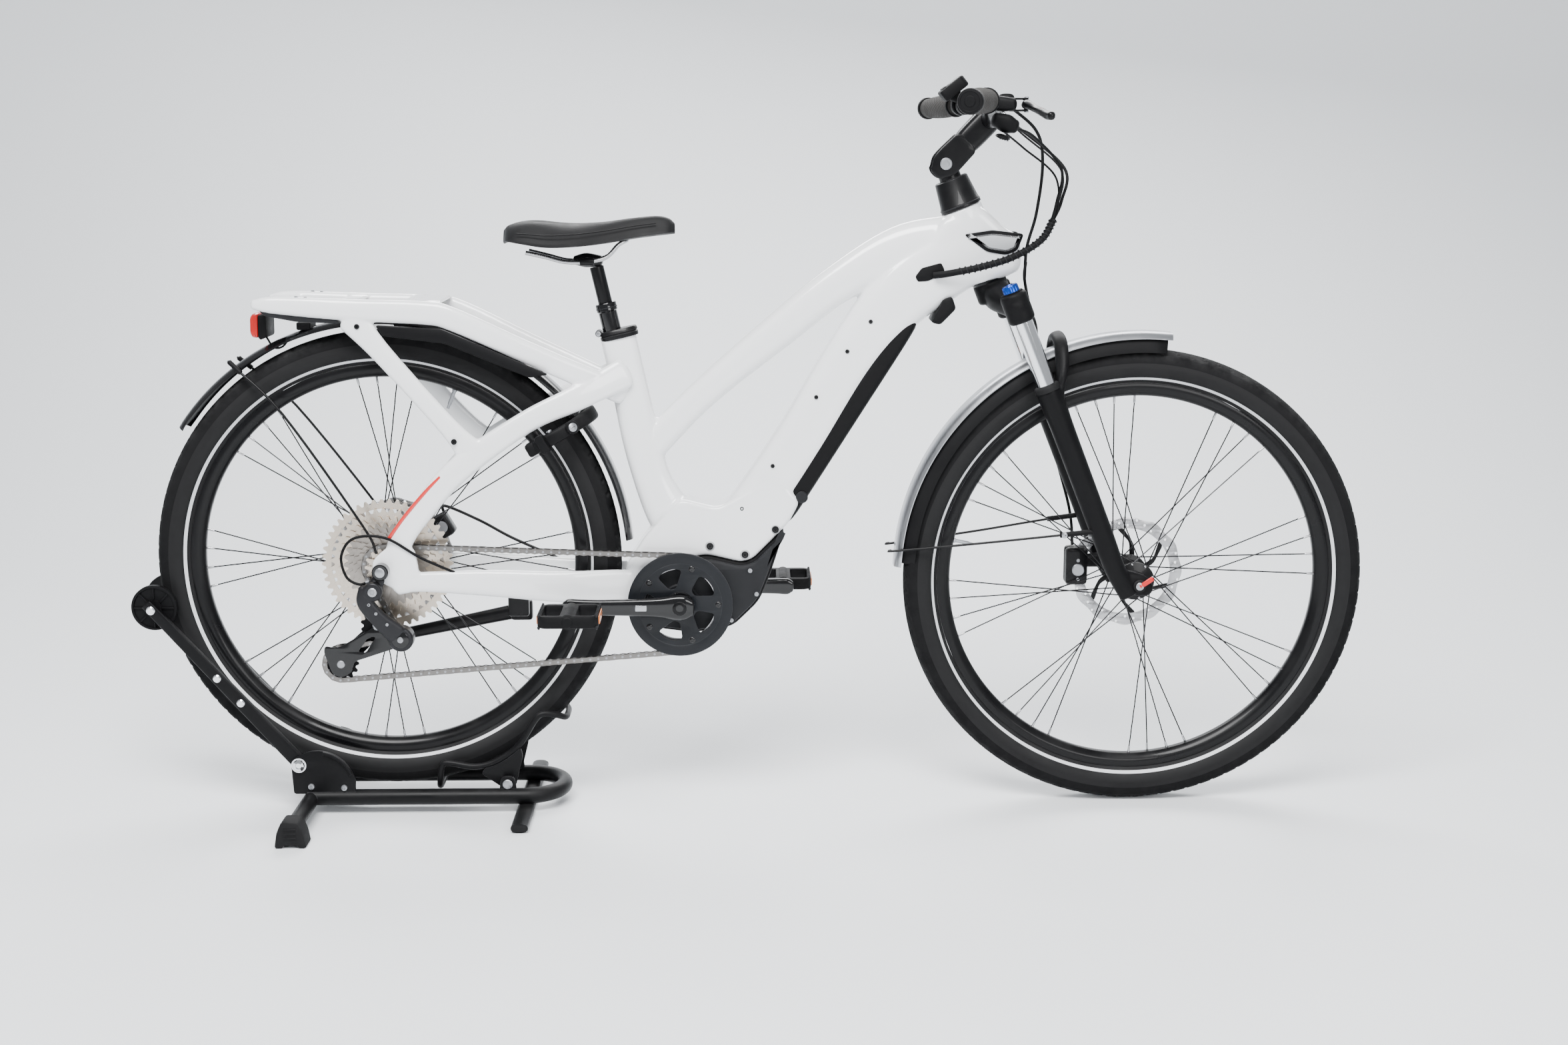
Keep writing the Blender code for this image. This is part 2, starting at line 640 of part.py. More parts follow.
def trim_seat_tube_top():
    """The seat tube ends just under the collar."""
    frame = bpy.data.objects["main_frame"]
    low = POST_TOP - POST_UP * (0.0085 + GAP)
    cut(frame, [rod("seat_tube_trim", low, low + POST_UP * 0.05, 0.06, WHITE)])


def lock_frame():
    """Centre of the wheel lock's ring, the direction away from the hub, and the ring's axis."""
    outward = Vector((math.cos(math.radians(29)), 0, math.sin(math.radians(29))))
    centre = polar(REAR_AXLE, TYRE_RADIUS - 0.031, 37.2)
    return centre, outward, outward.cross(SIDE)


def ring_lock():
    centre, outward, axis = lock_frame()
    half, inner, outer = 0.009, LOCK_RADIUS - 0.0065, LOCK_RADIUS + 0.007
    ring = turned("ring_lock_body", [(inner, half), (outer, half), (outer, -half), (inner, -half)],
                  centre, axis, BLACK_PLASTIC, steps=32)
    channel = turned("lock_channel", [(LOCK_RADIUS - 0.0048, 0.0048), (LOCK_RADIUS + 0.0048, 0.0048),
                                      (LOCK_RADIUS + 0.0048, -0.0048), (LOCK_RADIUS - 0.0048, -0.0048)],
                     centre, axis, BLACK_PLASTIC, steps=32)
    mouth = box("lock_mouth", centre - outward * 0.0927, (0.100, 0.16, 0.05), BLACK_PLASTIC, turn=-29)
    cut(ring, [channel, mouth])
    points = []
    for i in range(13):
        angle = math.radians(-28 + 12 * i)
        points.append(centre + (outward * math.cos(angle) - SIDE * math.sin(angle)) * LOCK_RADIUS)
    wire("lock_shackle", points, 0.0038, STEEL)


def rear_light():
    tail = TYRE_RADIUS
    body = box("rear_light", rear(-0.186, tail + 0.006), (0.026, 0.062, 0.030), RED_LENS, bevel=0.003)
    strap = box("light_strap", rear(-0.174, tail + 0.024), (0.006, 0.040, 0.020), BLACK_PAINT)
    return join(body, [strap])


def rear_caliper():
    """A block that straddles the rotor, its slot open towards the axle."""
    away = 58
    centre = polar(REAR_AXLE, ROTOR_RADIUS - 0.004, away - 28, 0.0585)
    body = box("rear_caliper", centre, (0.040, 0.034, 0.030), BLACK_PAINT, turn=-30, bevel=0.004)
    slot = rod("rear_caliper_slot", REAR_AXLE + SIDE * 0.0565, REAR_AXLE + SIDE * 0.0605, ROTOR_RADIUS + 0.002,
               BLACK_PAINT, sides=36)
    return cut(body, [slot])


def frame_fittings():
    drive_unit()
    battery_block("battery", 0.0, BLACK_PLASTIC)
    mudguard("rear_mudguard", REAR_AXLE, 4, 146, BLACK_PAINT)
    seat_collar()
    trim_seat_tube_top()
    ring_lock()
    rear_light()
    rear_caliper()


# ---- Drivetrain ----

def guide_centre():
    return rear(-0.0146, -0.094, -REAR_CHAIN_LINE)


def tension_centre():
    return rear(-0.0735, -0.155, -REAR_CHAIN_LINE)


def belt_points(wheels, step_degrees=12):
    """A belt round wheels of (centre, radius, sense); sense +1 turns clockwise as seen from the right."""
    legs = []
    for (a, ra, sa), (b, rb, sb) in zip(wheels, wheels[1:] + wheels[:1]):
        line = Vector((b.x - a.x, b.z - a.z))
        reach = line.length
        heading = math.atan2(line.y, line.x)
        lean = math.asin((sb * rb - sa * ra) / reach)
        normal = heading + lean + math.pi / 2
        out = Vector((math.cos(normal), math.sin(normal)))
        legs.append(((a.x + out.x * ra * sa, a.z + out.y * ra * sa), (b.x + out.x * rb * sb, b.z + out.y * rb * sb)))
    points = []
    for i, (centre, radius, sense) in enumerate(wheels):
        start, end = legs[i - 1][1], legs[i][0]
        first = math.atan2(start[1] - centre.z, start[0] - centre.x)
        last = math.atan2(end[1] - centre.z, end[0] - centre.x)
        turn = (first - last) % (2 * math.pi) if sense > 0 else (last - first) % (2 * math.pi)
        count = max(2, round(math.degrees(turn) / step_degrees))
        for k in range(count + 1):
            angle = first - sense * turn * k / count
            points.append(centre + Vector((radius * math.cos(angle), 0, radius * math.sin(angle))))
    return points


def chain():
    ring = (BB - SIDE * CHAIN_LINE, RING_RADIUS, 1)
    sprocket = (REAR_AXLE - SIDE * REAR_CHAIN_LINE, SPROCKET_RADIUS, 1)
    tension = (tension_centre(), PULLEY_RADIUS, 1)
    guide = (guide_centre(), PULLEY_RADIUS, -1)
    wire("chain", belt_points([ring, tension, guide, sprocket]), CHAIN_RADIUS, STEEL, closed=True, resolution=0)


def pulley(name, centre):
    inner, outer, half = 0.0029, PULLEY_RADIUS - CHAIN_RADIUS - 0.0006, 0.0011
    turned(name, [(inner, 0.0035), (0.0065, 0.0035), (0.0075, half), (outer, half), (outer, -half),
                  (0.0075, -half), (0.0065, -0.0035), (inner, -0.0035)], centre, SIDE, GREY_ALLOY, steps=20)


def derailleur():
    hinge = rear(0.026, -0.109)
    hanger = plate("derailleur_body", flat([rear(-0.016, 0.016), rear(0.012, 0.022), rear(0.038, -0.020),
                                            rear(0.030, -0.028), rear(-0.004, -0.020)]),
                   -0.0925, -0.0852, GREY_ALLOY)
    knuckle = rod("upper_knuckle", rear(-0.012, -0.030, -0.108), rear(-0.012, -0.030, -0.087), 0.015, GREY_ALLOY)
    boss = rod("axle_boss", rear(0, 0, -0.104), rear(0, 0, -0.088), 0.0135, GREY_ALLOY)
    link = loft("parallelogram", [(rear(-0.030, -0.018, -0.099), 0.030, 0.014),
                                  (rear(-0.010, -0.056, -0.096), 0.034, 0.016),
                                  (rear(0.020, -0.100, -0.088), 0.038, 0.018)], GREY_ALLOY, sides=8)
    lower = rod("lower_knuckle", hinge - SIDE * 0.094, hinge - SIDE * 0.0672, 0.020, GREY_ALLOY)
    join(hanger, [boss, knuckle, link, lower])
    guide, tension = guide_centre(), tension_centre()
    outline = [hinge + Vector((0.017, 0, 0.004)), hinge + Vector((0.008, 0, 0.016)), guide + Vector((0.004, 0, 0.010)),
               guide + Vector((-0.010, 0, -0.006)), tension + Vector((-0.006, 0, 0.024)),
               tension + Vector((-0.031, 0, 0.032)), tension + Vector((-0.034, 0, 0.024)),
               tension + Vector((-0.018, 0, -0.018)), tension + Vector((0.000, 0, -0.024)),
               tension + Vector((0.018, 0, -0.014)), tension + Vector((0.022, 0, 0.004)),
               hinge + Vector((0.012, 0, -0.012))]
    outer_y, inner_y, wall = -REAR_CHAIN_LINE - 0.0072, -REAR_CHAIN_LINE + 0.0055, 0.0014
    cage = plate("derailleur_cage", flat(outline), outer_y, outer_y + wall, GREY_ALLOY)
    inner_outline = [guide + Vector((0.008, 0, 0.006)), guide + Vector((-0.008, 0, 0.006)),
                     tension + Vector((-0.012, 0, 0.008)), tension + Vector((-0.006, 0, -0.012)),
                     tension + Vector((0.010, 0, -0.008)), guide + Vector((0.010, 0, -0.010))]
    inner = plate("cage_inner", flat(inner_outline), inner_y, inner_y + wall, GREY_ALLOY)
    pins = [rod(f"cage_pin_{i}", Vector((c.x, outer_y + 0.0003, c.z)), Vector((c.x, inner_y + 0.0010, c.z)),
                0.0025, GREY_ALLOY, sides=10) for i, c in enumerate((guide, tension))]
    join(cage, [inner, *pins])
    pulley("guide_pulley", guide)
    pulley("tension_pulley", tension)


def chainring():
    teeth = RING_RADIUS - CHAIN_RADIUS - 0.0016
    profile = [(0.0125, -0.0490), (teeth, -0.0510), (teeth, -0.0530), (0.0600, -0.0555), (0.0600, -0.0575),
               (0.0825, -0.0575), (0.0825, -0.0600), (0.0590, -0.0600), (0.0200, -0.0600), (0.0125, -0.0600)]
    disc = turned("chainring", profile, BB, SIDE, GREY_ALLOY, steps=36)
    windows = []
    for i in range(5):
        middle = 72 * i + 36
        outline = [polar(BB, 0.052, middle + a) for a in (-22, 0, 22)] + [polar(BB, 0.027, middle + a)
                                                                           for a in (16, -16)]
        windows.append(plate(f"ring_window_{i}", flat(outline), -0.070, -0.040, GREY_ALLOY))
    return cut(disc, windows)


def crank_arm(name, sign, degrees):
    """An arm from the spindle to its pedal axle, which is part of it."""
    tip = polar(BB, CRANK_LENGTH, degrees)
    along = (tip - BB).normalized()
    root_y, tip_y = sign * 0.078, sign * 0.098
    arm = loft(name, [(BB - along * 0.018 + SIDE * root_y, 0.030, 0.016), (BB + SIDE * root_y, 0.040, 0.018),
                      (BB + along * 0.05 + SIDE * sign * 0.084, 0.029, 0.015),
                      (BB + along * 0.12 + SIDE * sign * 0.094, 0.025, 0.013),
                      (tip + SIDE * tip_y, 0.028, 0.013), (tip + along * 0.014 + SIDE * tip_y, 0.018, 0.012)],
               BLACK_PAINT, sides=10)
    axle = rod(f"{name}_pedal_axle", tip + SIDE * sign * 0.095, tip + SIDE * sign * 0.196, 0.0062, STEEL, sides=12)
    join(arm, [axle])
    return cut(arm, [rod(f"{name}_bore", BB + SIDE * sign * 0.060, BB + SIDE * sign * 0.0845, 0.0115, BLACK_PAINT)])


def pedal(name, sign, degrees):
    """A caged platform that spins on the crank's pedal axle."""
    middle = polar(BB, CRANK_LENGTH, degrees) + SIDE * sign * 0.157
    body = box(name, middle, (0.090, 0.092, 0.022), BLACK_PLASTIC, bevel=0.004)
    windows = [box(f"{name}_window_{i}", middle + Vector((0.026 * k, 0, 0)), (0.024, 0.066, 0.04), BLACK_PLASTIC)
               for i, k in enumerate((-1, 1))]
    bore = rod(f"{name}_bore", middle - SIDE * sign * 0.06, middle + SIDE * sign * 0.041, 0.0068, BLACK_PLASTIC, 12)
    return cut(body, [*windows, bore])


def drivetrain():
    chain()
    derailleur()
    chainring()
    rod("crank_spindle", BB - SIDE * 0.084, BB + SIDE * 0.084, 0.0112, STEEL)
    crank_arm("crank_arm_right", -1, 180 - CRANK_ANGLE)
    crank_arm("crank_arm_left", 1, -CRANK_ANGLE)
    pedal("pedal_right", -1, 180 - CRANK_ANGLE)
    pedal("pedal_left", 1, -CRANK_ANGLE)


# ---- Fork, stem and bar ----

def fork_crown():
    crown = loft("fork_crown", [
        (steer(-0.049, LEG_FORWARD, -LEG_SPREAD - 0.012), 0.034, 0.034), (steer(-0.046, 0.016, -0.045), 0.036, 0.036),
        (steer(-0.026, 0.004, -0.018), 0.044, 0.048), (steer(-0.026, 0.004, 0.018), 0.044, 0.048),
        (steer(-0.046, 0.016, 0.045), 0.036, 0.036), (steer(-0.049, LEG_FORWARD, LEG_SPREAD + 0.012), 0.034, 0.034)],
        BLACK_PLASTIC, across=UP)
    sockets = [rod(f"socket_{side}", steer(-0.073, LEG_FORWARD, s * LEG_SPREAD),
                   steer(-0.025, LEG_FORWARD, s * LEG_SPREAD), 0.0215, BLACK_PLASTIC) for side, s in sides()]
    race = rod("crown_race", steer(-0.030), steer(-GAP), 0.0275, BLACK_PLASTIC)
    steerer = rod("steerer", steer(-0.02), steer(HEAD_LENGTH + 0.045), STEERER_RADIUS, STEEL)
    join(crown, [*sockets, race, steerer])
    bores = [rod(f"socket_bore_{side}", steer(-0.10, LEG_FORWARD, s * LEG_SPREAD),
                 steer(-0.0295, LEG_FORWARD, s * LEG_SPREAD), STANCHION_RADIUS + GAP, BLACK_PLASTIC)
             for side, s in sides()]
    return cut(crown, bores)


def fork_lowers():
    """Both legs, the arch over the tyre and the axle ends: one casting, bored for the stanchions."""
    legs = []
    for side, s in sides():
        y = s * LEG_SPREAD
        legs.append(loft(f"leg_{side}", [
            (steer(-0.186, LEG_FORWARD, y), 0.040, 0.040), (steer(-0.240, LEG_FORWARD, y), 0.037, 0.037),
            (steer(-0.420, LEG_FORWARD, y), 0.035, 0.035), (steer(-0.500, LEG_FORWARD, y), 0.032, 0.030),
            (steer(-0.538, LEG_FORWARD + 0.006, s * (LEG_SPREAD - 0.001)), 0.030, 0.022)],
            BLACK_PAINT, power=2.0, across=SIDE))
        foot = loft(f"foot_{side}", [(steer(-0.505, LEG_FORWARD + 0.002, s * (LEG_SPREAD - 0.001)), 0.030, 0.015),
                                     (FRONT_AXLE + SIDE * s * (LEG_SPREAD - 0.002), 0.036, 0.0155),
                                     (FRONT_AXLE + Vector((0.013, s * (LEG_SPREAD - 0.002), -0.006)), 0.024, 0.014)],
                    BLACK_PAINT, sides=10)
        legs.append(foot)
    arch = wire("arch", [steer(-0.205, 0.030, -LEG_SPREAD), steer(-0.165, 0.052, -0.060), steer(-0.130, 0.066, -0.038),
                         steer(-0.122, 0.069, 0), steer(-0.130, 0.066, 0.038), steer(-0.165, 0.052, 0.060),
                         steer(-0.205, 0.030, LEG_SPREAD)], 0.0095, BLACK_PAINT)
    lowers = legs[0]
    lowers.name = "fork_lowers"
    join(lowers, [*legs[1:], arch])
    bores = [rod(f"leg_bore_{side}", steer(-0.435, LEG_FORWARD, s * LEG_SPREAD),
                 steer(-0.150, LEG_FORWARD, s * LEG_SPREAD), STANCHION_RADIUS + GAP, BLACK_PAINT)
             for side, s in sides()]
    reach = SIDE * (LEG_SPREAD + 0.03)
    return cut(lowers, [*bores, rod("axle_bore", FRONT_AXLE - reach, FRONT_AXLE + reach, AXLE_RADIUS + GAP,
                                    BLACK_PAINT)])


def front_caliper():
    centre = FRONT_AXLE + Vector((-0.080, 0.0425, 0.004))
    body = box("front_caliper", centre, (0.034, 0.030, 0.044), BLACK_PAINT, bevel=0.004)
    slot = rod("front_caliper_slot", FRONT_AXLE + SIDE * 0.0405, FRONT_AXLE + SIDE * 0.0445, ROTOR_RADIUS + 0.002,
               BLACK_PAINT, sides=36)
    return cut(body, [slot])


def front_end():
    fork_crown()
    for side, s in sides():
        rod(f"stanchion_{side}", steer(-0.365, LEG_FORWARD, s * LEG_SPREAD), steer(-0.030, LEG_FORWARD, s * LEG_SPREAD),
            STANCHION_RADIUS, CHROME, sides=20)
    rod("lockout_knob", steer(-0.0247, LEG_FORWARD, -LEG_SPREAD), steer(-0.0130, LEG_FORWARD, -LEG_SPREAD),
        0.0135, BLUE_ALLOY, end_radius=0.0115)
    fork_lowers()
    mudguard("front_mudguard", FRONT_AXLE + Vector((0.004, 0, 0.008)), 82, 178, GREY_ALLOY)
    front_caliper()
    reach = LEG_SPREAD + 0.010
    rod("front_axle", FRONT_AXLE - SIDE * reach, FRONT_AXLE + SIDE * reach, AXLE_RADIUS, STEEL)


STEM_PIVOT_UP = HEAD_LENGTH + 0.072
BAR_CENTRE = (0.0675, 0.069)


def stem_pivot():
    return steer(STEM_PIVOT_UP)


def bar_at(x, z, y=0.0):
    """From the bar's middle: x ahead, z above."""
    return stem_pivot() + Vector((BAR_CENTRE[0] + x, y, BAR_CENTRE[1] + z))


def stem():
    """The tapered cover and the lug that the stem's arm is bolted to, then the arm."""
    low, high = HEAD_LENGTH + GAP, HEAD_LENGTH + 0.047
    base = rod("stem_base", steer(low), steer(high), 0.0325, BLACK_PAINT, sides=28, end_radius=0.0258)
    neck = rod("stem_neck", steer(high - 0.005), stem_pivot(), 0.0165, BLACK_PAINT)
    lug = rod("stem_lug", stem_pivot() - SIDE * 0.0165, stem_pivot() + SIDE * 0.0165, 0.0175, BLACK_PAINT)
    join(base, [neck, lug])
    cut(base, [rod("steerer_seat", steer(low - 0.01), steer(HEAD_LENGTH + 0.0455), STEERER_RADIUS + GAP, BLACK_PAINT),
               rod("stem_pin_bore", stem_pivot() - SIDE * 0.03, stem_pivot() + SIDE * 0.03, 0.0046, BLACK_PAINT)])
    pivot, clamp = stem_pivot(), bar_at(0, 0)
    arm = loft("stem_arm", [(pivot + (pivot - clamp).normalized() * 0.021, 0.022, 0.044), (pivot, 0.046, 0.044),
                            (pivot.lerp(clamp, 0.5), 0.043, 0.042), (clamp, 0.040, 0.042),
                            (clamp + (clamp - pivot).normalized() * 0.017, 0.024, 0.040)], BLACK_PAINT, power=3.5)
    slot = rod("stem_slot", pivot - SIDE * 0.0172, pivot + SIDE * 0.0172, 0.034, BLACK_PAINT, sides=24)
    bar_bore = rod("stem_bar_bore", clamp - SIDE * 0.05, clamp + SIDE * 0.05, BAR_RADIUS + GAP, BLACK_PAINT)
    cut(arm, [slot, bar_bore])
    join(arm, [rod("stem_pin", pivot - SIDE * 0.021, pivot + SIDE * 0.021, 0.0042, STEEL, sides=12)])


def bar_points(sign):
    """The bar from its middle out to one end."""
    end = BAR_HALF_WIDTH
    inner = end - GRIP_LENGTH
    return [bar_at(0, 0, 0), bar_at(0, 0, sign * 0.035), bar_at(-0.006, 0.008, sign * 0.075),
            bar_at(-0.014, 0.018, sign * 0.115), bar_at(-0.026, 0.022, sign * (inner - 0.02)),
            bar_at(-0.029, 0.022, sign * inner), bar_at(-0.066, 0.019, sign * (end - 0.005))]


def handlebar():
    left, right = bar_points(1), bar_points(-1)
    bar = wire("handlebar", right[:0:-1] + left, BAR_RADIUS, BLACK_PAINT, resolution=3)
    mounts = []
    for side, s in sides():
        start, end = bar_at(-0.024, 0.0215, s * 0.178), bar_at(-0.027, 0.0215, s * 0.198)
        mounts.append(rod(f"lever_clamp_{side}", start, end, 0.0165, BLACK_PAINT))
        mounts.append(box(f"lever_housing_{side}", bar_at(-0.001, 0.018, s * 0.180), (0.032, 0.024, 0.022),
                          BLACK_PAINT))
        mounts.append(box(f"lever_nose_{side}", bar_at(0.0165, 0.018, s * 0.1702), (0.017, 0.0086, 0.022),
                          BLACK_PAINT))
    pod = box("shifter_pod", bar_at(0.002, -0.010, -0.180), (0.032, 0.030, 0.030), BLACK_PLASTIC, turn=15)
    return join(bar, [*mounts, pod])


def grip(name, sign):
    _, _, _, _, _, inner, end = bar_points(sign)
    axis = (end - inner).normalized()
    length = (end - inner).length + 0.006
    bore, outer = BAR_RADIUS + GAP, GRIP_RADIUS
    profile = [(0, length), (outer - 0.003, length), (outer, length - 0.004), (outer - 0.0015, length * 0.6),
               (outer, 0.006), (outer - 0.002, 0.001), (bore, 0.001), (bore, length - 0.0055), (0, length - 0.0055)]
    return turned(name, profile, inner, axis, GRIP_RUBBER, steps=20)


def lever_pivot(sign):
    return bar_at(0.0335, 0.017, sign * 0.172)


def brake_lever(name, sign):
    """A blade that swings about a pin at its inner end."""
    root = lever_pivot(sign)
    blade = loft(name, [(root - SIDE * sign * 0.008, 0.010, 0.014), (root + SIDE * sign * 0.012, 0.013, 0.014),
                        (bar_at(0.042, 0.010, sign * 0.215), 0.011, 0.012),
                        (bar_at(0.046, 0.004, sign * 0.262), 0.011, 0.010),
                        (bar_at(0.050, 0.000, sign * 0.302), 0.012, 0.011)], BLACK_PAINT, sides=8,
                 across=Vector((1, 0, 0)))
    return blade


def cable(name, points, radius):
    return wire(name, smooth_route(points), radius, BLACK_PLASTIC, resolution=1)


def smooth_route(points, per_leg=3):
    """Points along a Catmull-Rom curve through the route's own points."""
    ends = [points[0] * 2 - points[1], *points, points[-1] * 2 - points[-2]]
    route = []
    for a, b, c, d in zip(ends, ends[1:], ends[2:], ends[3:]):
        for k in range(per_leg):
            t = k / per_leg
            route.append(0.5 * ((2 * b) + (c - a) * t + (2 * a - 5 * b + 4 * c - d) * t * t
                                + (3 * b - a - 3 * c + d) * t * t * t))
    return route + [points[-1]]


def control_cables():
    """The spiral-wrapped bundle into the frame's right side, the cables that feed it, and the front brake hose."""
    bundle = cable("control_cables", [
        near_head(0.094, 0.094, -0.040), near_head(0.074, 0.063, -0.050), near_head(0.030, 0.037, -0.052),
        near_head(-0.020, 0.022, -0.052), near_head(-0.068, 0.012, -0.046), near_head(-0.088, 0.009, -0.0400)], 0.0062)
    shift = cable("shift_cable", [
        bar_at(0.028, -0.018, -0.182), bar_at(0.060, -0.030, -0.130), near_head(0.098, 0.170, -0.080),
        near_head(0.096, 0.120, -0.052), near_head(0.088, 0.084, -0.043)], 0.0023)
    rear_hose = cable("rear_brake_hose", [
        bar_at(0.028, -0.006, 0.140), bar_at(0.070, -0.030, 0.050), near_head(0.112, 0.170, -0.020),
        near_head(0.106, 0.122, -0.036), near_head(0.092, 0.090, -0.040)], 0.0026)
    outside = LEG_SPREAD + 0.029
    fork_hose = cable("front_brake_hose", [
        bar_at(0.028, -0.008, -0.150), bar_at(0.062, -0.030, -0.095), near_head(0.073, 0.178, -0.055),
        near_head(0.066, 0.105, -0.050), near_head(0.052, 0.052, -0.0520), near_head(0.048, 0.004, -0.050),
        near_head(0.075, -0.045, 0.000), near_head(0.100, -0.066, 0.048), near_head(0.094, -0.120, outside),
        near_head(0.118, -0.260, outside + 0.002), near_head(0.150, -0.380, outside - 0.001),
        near_head(0.152, -0.440, LEG_SPREAD - 0.002)], 0.0026)
    join(bundle, [shift, rear_hose, fork_hose])


def display():
    body = box("display", bar_at(-0.040, 0.048, 0.165), (0.046, 0.056, 0.020), BLACK_PLASTIC, turn=-38, bevel=0.004)
    return body


def cockpit():
    stem()
    handlebar()
    for side, s in sides():
        grip(f"grip_{side}", s)
        brake_lever(f"brake_lever_{side}", s)
    paddle = bar_at(-0.003, -0.029, -0.196)
    box("shift_lever", paddle, (0.026, 0.030, 0.006), BLACK_PLASTIC, turn=15, bevel=0.0015)
    display()
    control_cables()


# ---- Saddle and post ----

def along_post(distance):
    return POST_TOP + POST_UP * distance


def saddle_at(x, z, y=0.0):
    """From the post's top clamp: x ahead, z above."""
    return along_post(0.112) + Vector((x, y, z))


def seat_post():
    top = 0.047
    outer = rod("seatpost_outer", along_post(-0.170), along_post(top), POST_RADIUS, BLACK_PAINT, sides=20)
    lip = rod("post_lip", along_post(top - 0.012), along_post(top), POST_RADIUS + 0.0018, BLACK_PAINT, sides=20)
    join(outer, [lip])
    cut(outer, [rod("inner_bore", along_post(-0.100), along_post(top + 0.05), INNER_POST_RADIUS + GAP, BLACK_PAINT)])
    inner = rod("seatpost_inner", along_post(-0.055), along_post(0.106), INNER_POST_RADIUS, BLACK_PAINT)
    head = loft("post_head", [(saddle_at(-0.034, 0.002), 0.018, 0.030), (saddle_at(-0.012, 0.004), 0.028, 0.034),
                              (saddle_at(0.008, 0.003), 0.020, 0.030)], BLACK_PAINT, sides=10)
    join(inner, [head])


def saddle():
    rows = [(-0.136, 0.047, 0.014, 0.090), (-0.112, 0.044, 0.030, 0.142), (-0.070, 0.042, 0.036, 0.162),
            (-0.028, 0.045, 0.034, 0.140), (0.015, 0.048, 0.034, 0.096), (0.058, 0.054, 0.032, 0.062),
            (0.095, 0.059, 0.030, 0.048), (0.120, 0.054, 0.020, 0.036)]
    stations = [(saddle_at(x, z), tall, wide) for x, z, tall, wide in rows]
    loft("saddle", stations, SADDLE_SKIN, sides=14, power=2.4)
    half = 0.0235
    rail = [(-0.105, 0.016, 0.028), (-0.075, 0.009, half), (-0.045, 0.0015, half), (-0.010, 0.0015, half),
            (0.018, 0.008, 0.020), (0.036, 0.026, 0.014), (0.048, 0.033, 0.008)]
    right = [saddle_at(x, z, -y) for x, z, y in rail]
    left = [saddle_at(x, z, y) for x, z, y in rail]
    wire("saddle_rails", right + left[::-1], 0.0034, STEEL)


# ---- Stand ----

def cradle_pivot():
    return on_floor(0.1825, 0.0465)


def arm_pivot():
    return on_floor(-0.1463, 0.0813)


def under_tyre(x, below, y=0.0):
    """A point under the tyre, its distance below the tread given."""
    return on_floor(x, REAR_Z - math.sqrt((TYRE_RADIUS + below) ** 2 - x * x), y)


def base_path():
    bend_x, half, height = 0.206, STAND_HALF_TRACK, STAND_TUBE_HEIGHT
    bend = [on_floor(bend_x + half * math.sin(math.radians(a)), height, -half * math.cos(math.radians(a)))
            for a in range(0, 181, 20)]
    return [on_floor(-0.135, height, -half), *bend, on_floor(-0.135, height, half)]


def stand_base():
    base = wire("stand_base", base_path(), STAND_TUBE_RADIUS, POWDER, resolution=3)
    reach = 0.205
    rear_bar = rod("rear_bar", on_floor(-0.130, 0.024, -reach), on_floor(-0.130, 0.024, reach), 0.0125, POWDER)
    front_bar = box("front_bar", on_floor(0.211, 0.0075), (0.028, 2 * STAND_BAR_HALF, 0.015), POWDER, bevel=0.004)
    outline = [on_floor(-0.159, 0.088), on_floor(-0.156, 0.034), on_floor(-0.0585, 0.034), on_floor(-0.0575, 0.058)]
    outline += [on_floor(-0.1165 + 0.058 * math.cos(math.radians(a)), 0.0470 + 0.058 * math.sin(math.radians(a)))
                for a in range(25, 126, 20)]
    plates, lugs = [], []
    for side, s in sides():
        near, far = s * 0.0640, s * 0.0680
        plates.append(plate(f"stand_plate_{side}", flat(outline), min(near, far), max(near, far), POWDER))
        lug_outline = [on_floor(0.170, 0.030), on_floor(0.195, 0.030), on_floor(0.192, 0.058), on_floor(0.173, 0.058)]
        near, far = s * 0.0570, s * 0.0630
        lugs.append(plate(f"cradle_lug_{side}", flat(lug_outline), min(near, far), max(near, far), POWDER))
    rest = [rod(f"rest_rod_{i}", under_tyre(x, 0.006 + gap, -0.066), under_tyre(x, 0.006 + gap, 0.066), 0.005, POWDER, 10)
            for i, (x, gap) in enumerate(((-0.1165, 0.0), (-0.1475, 0.010)))]
    join(base, [rear_bar, front_bar, *plates, *lugs, *rest])
    holes = [rod("arm_pivot_holes", arm_pivot() - SIDE * 0.08, arm_pivot() + SIDE * 0.08, 0.0065, POWDER),
             rod("cradle_holes", cradle_pivot() - SIDE * 0.08, cradle_pivot() + SIDE * 0.08, 0.0055, POWDER)]
    cut(base, holes)
    for side, s in sides():
        middle = on_floor(-0.1285, 0.0, s * 0.209)
        rows = [(-0.0245, 0.0), (-0.012, 0.0), (-0.008, 0.004), (0.008, 0.004), (0.012, 0.0), (0.0245, 0.0),
                (0.020, 0.022), (0.012, 0.040), (-0.012, 0.042), (-0.020, 0.024)]
        foot = plate(f"stand_foot_{side}", [(middle.x + x, z) for x, z in rows], middle.y - 0.020, middle.y + 0.020,
                     TYRE_RUBBER)
        inner_y, deep_y = s * 0.180, s * (reach + GAP)
        cut(foot, [rod(f"foot_bore_{side}", on_floor(-0.130, 0.024, inner_y), on_floor(-0.130, 0.024, deep_y),
                       0.0125 + GAP, TYRE_RUBBER)])


def roller_centre():
    return REAR_AXLE + Vector((math.cos(ROLLER_ANGLE), 0, math.sin(ROLLER_ANGLE))) * ROLLER_REACH


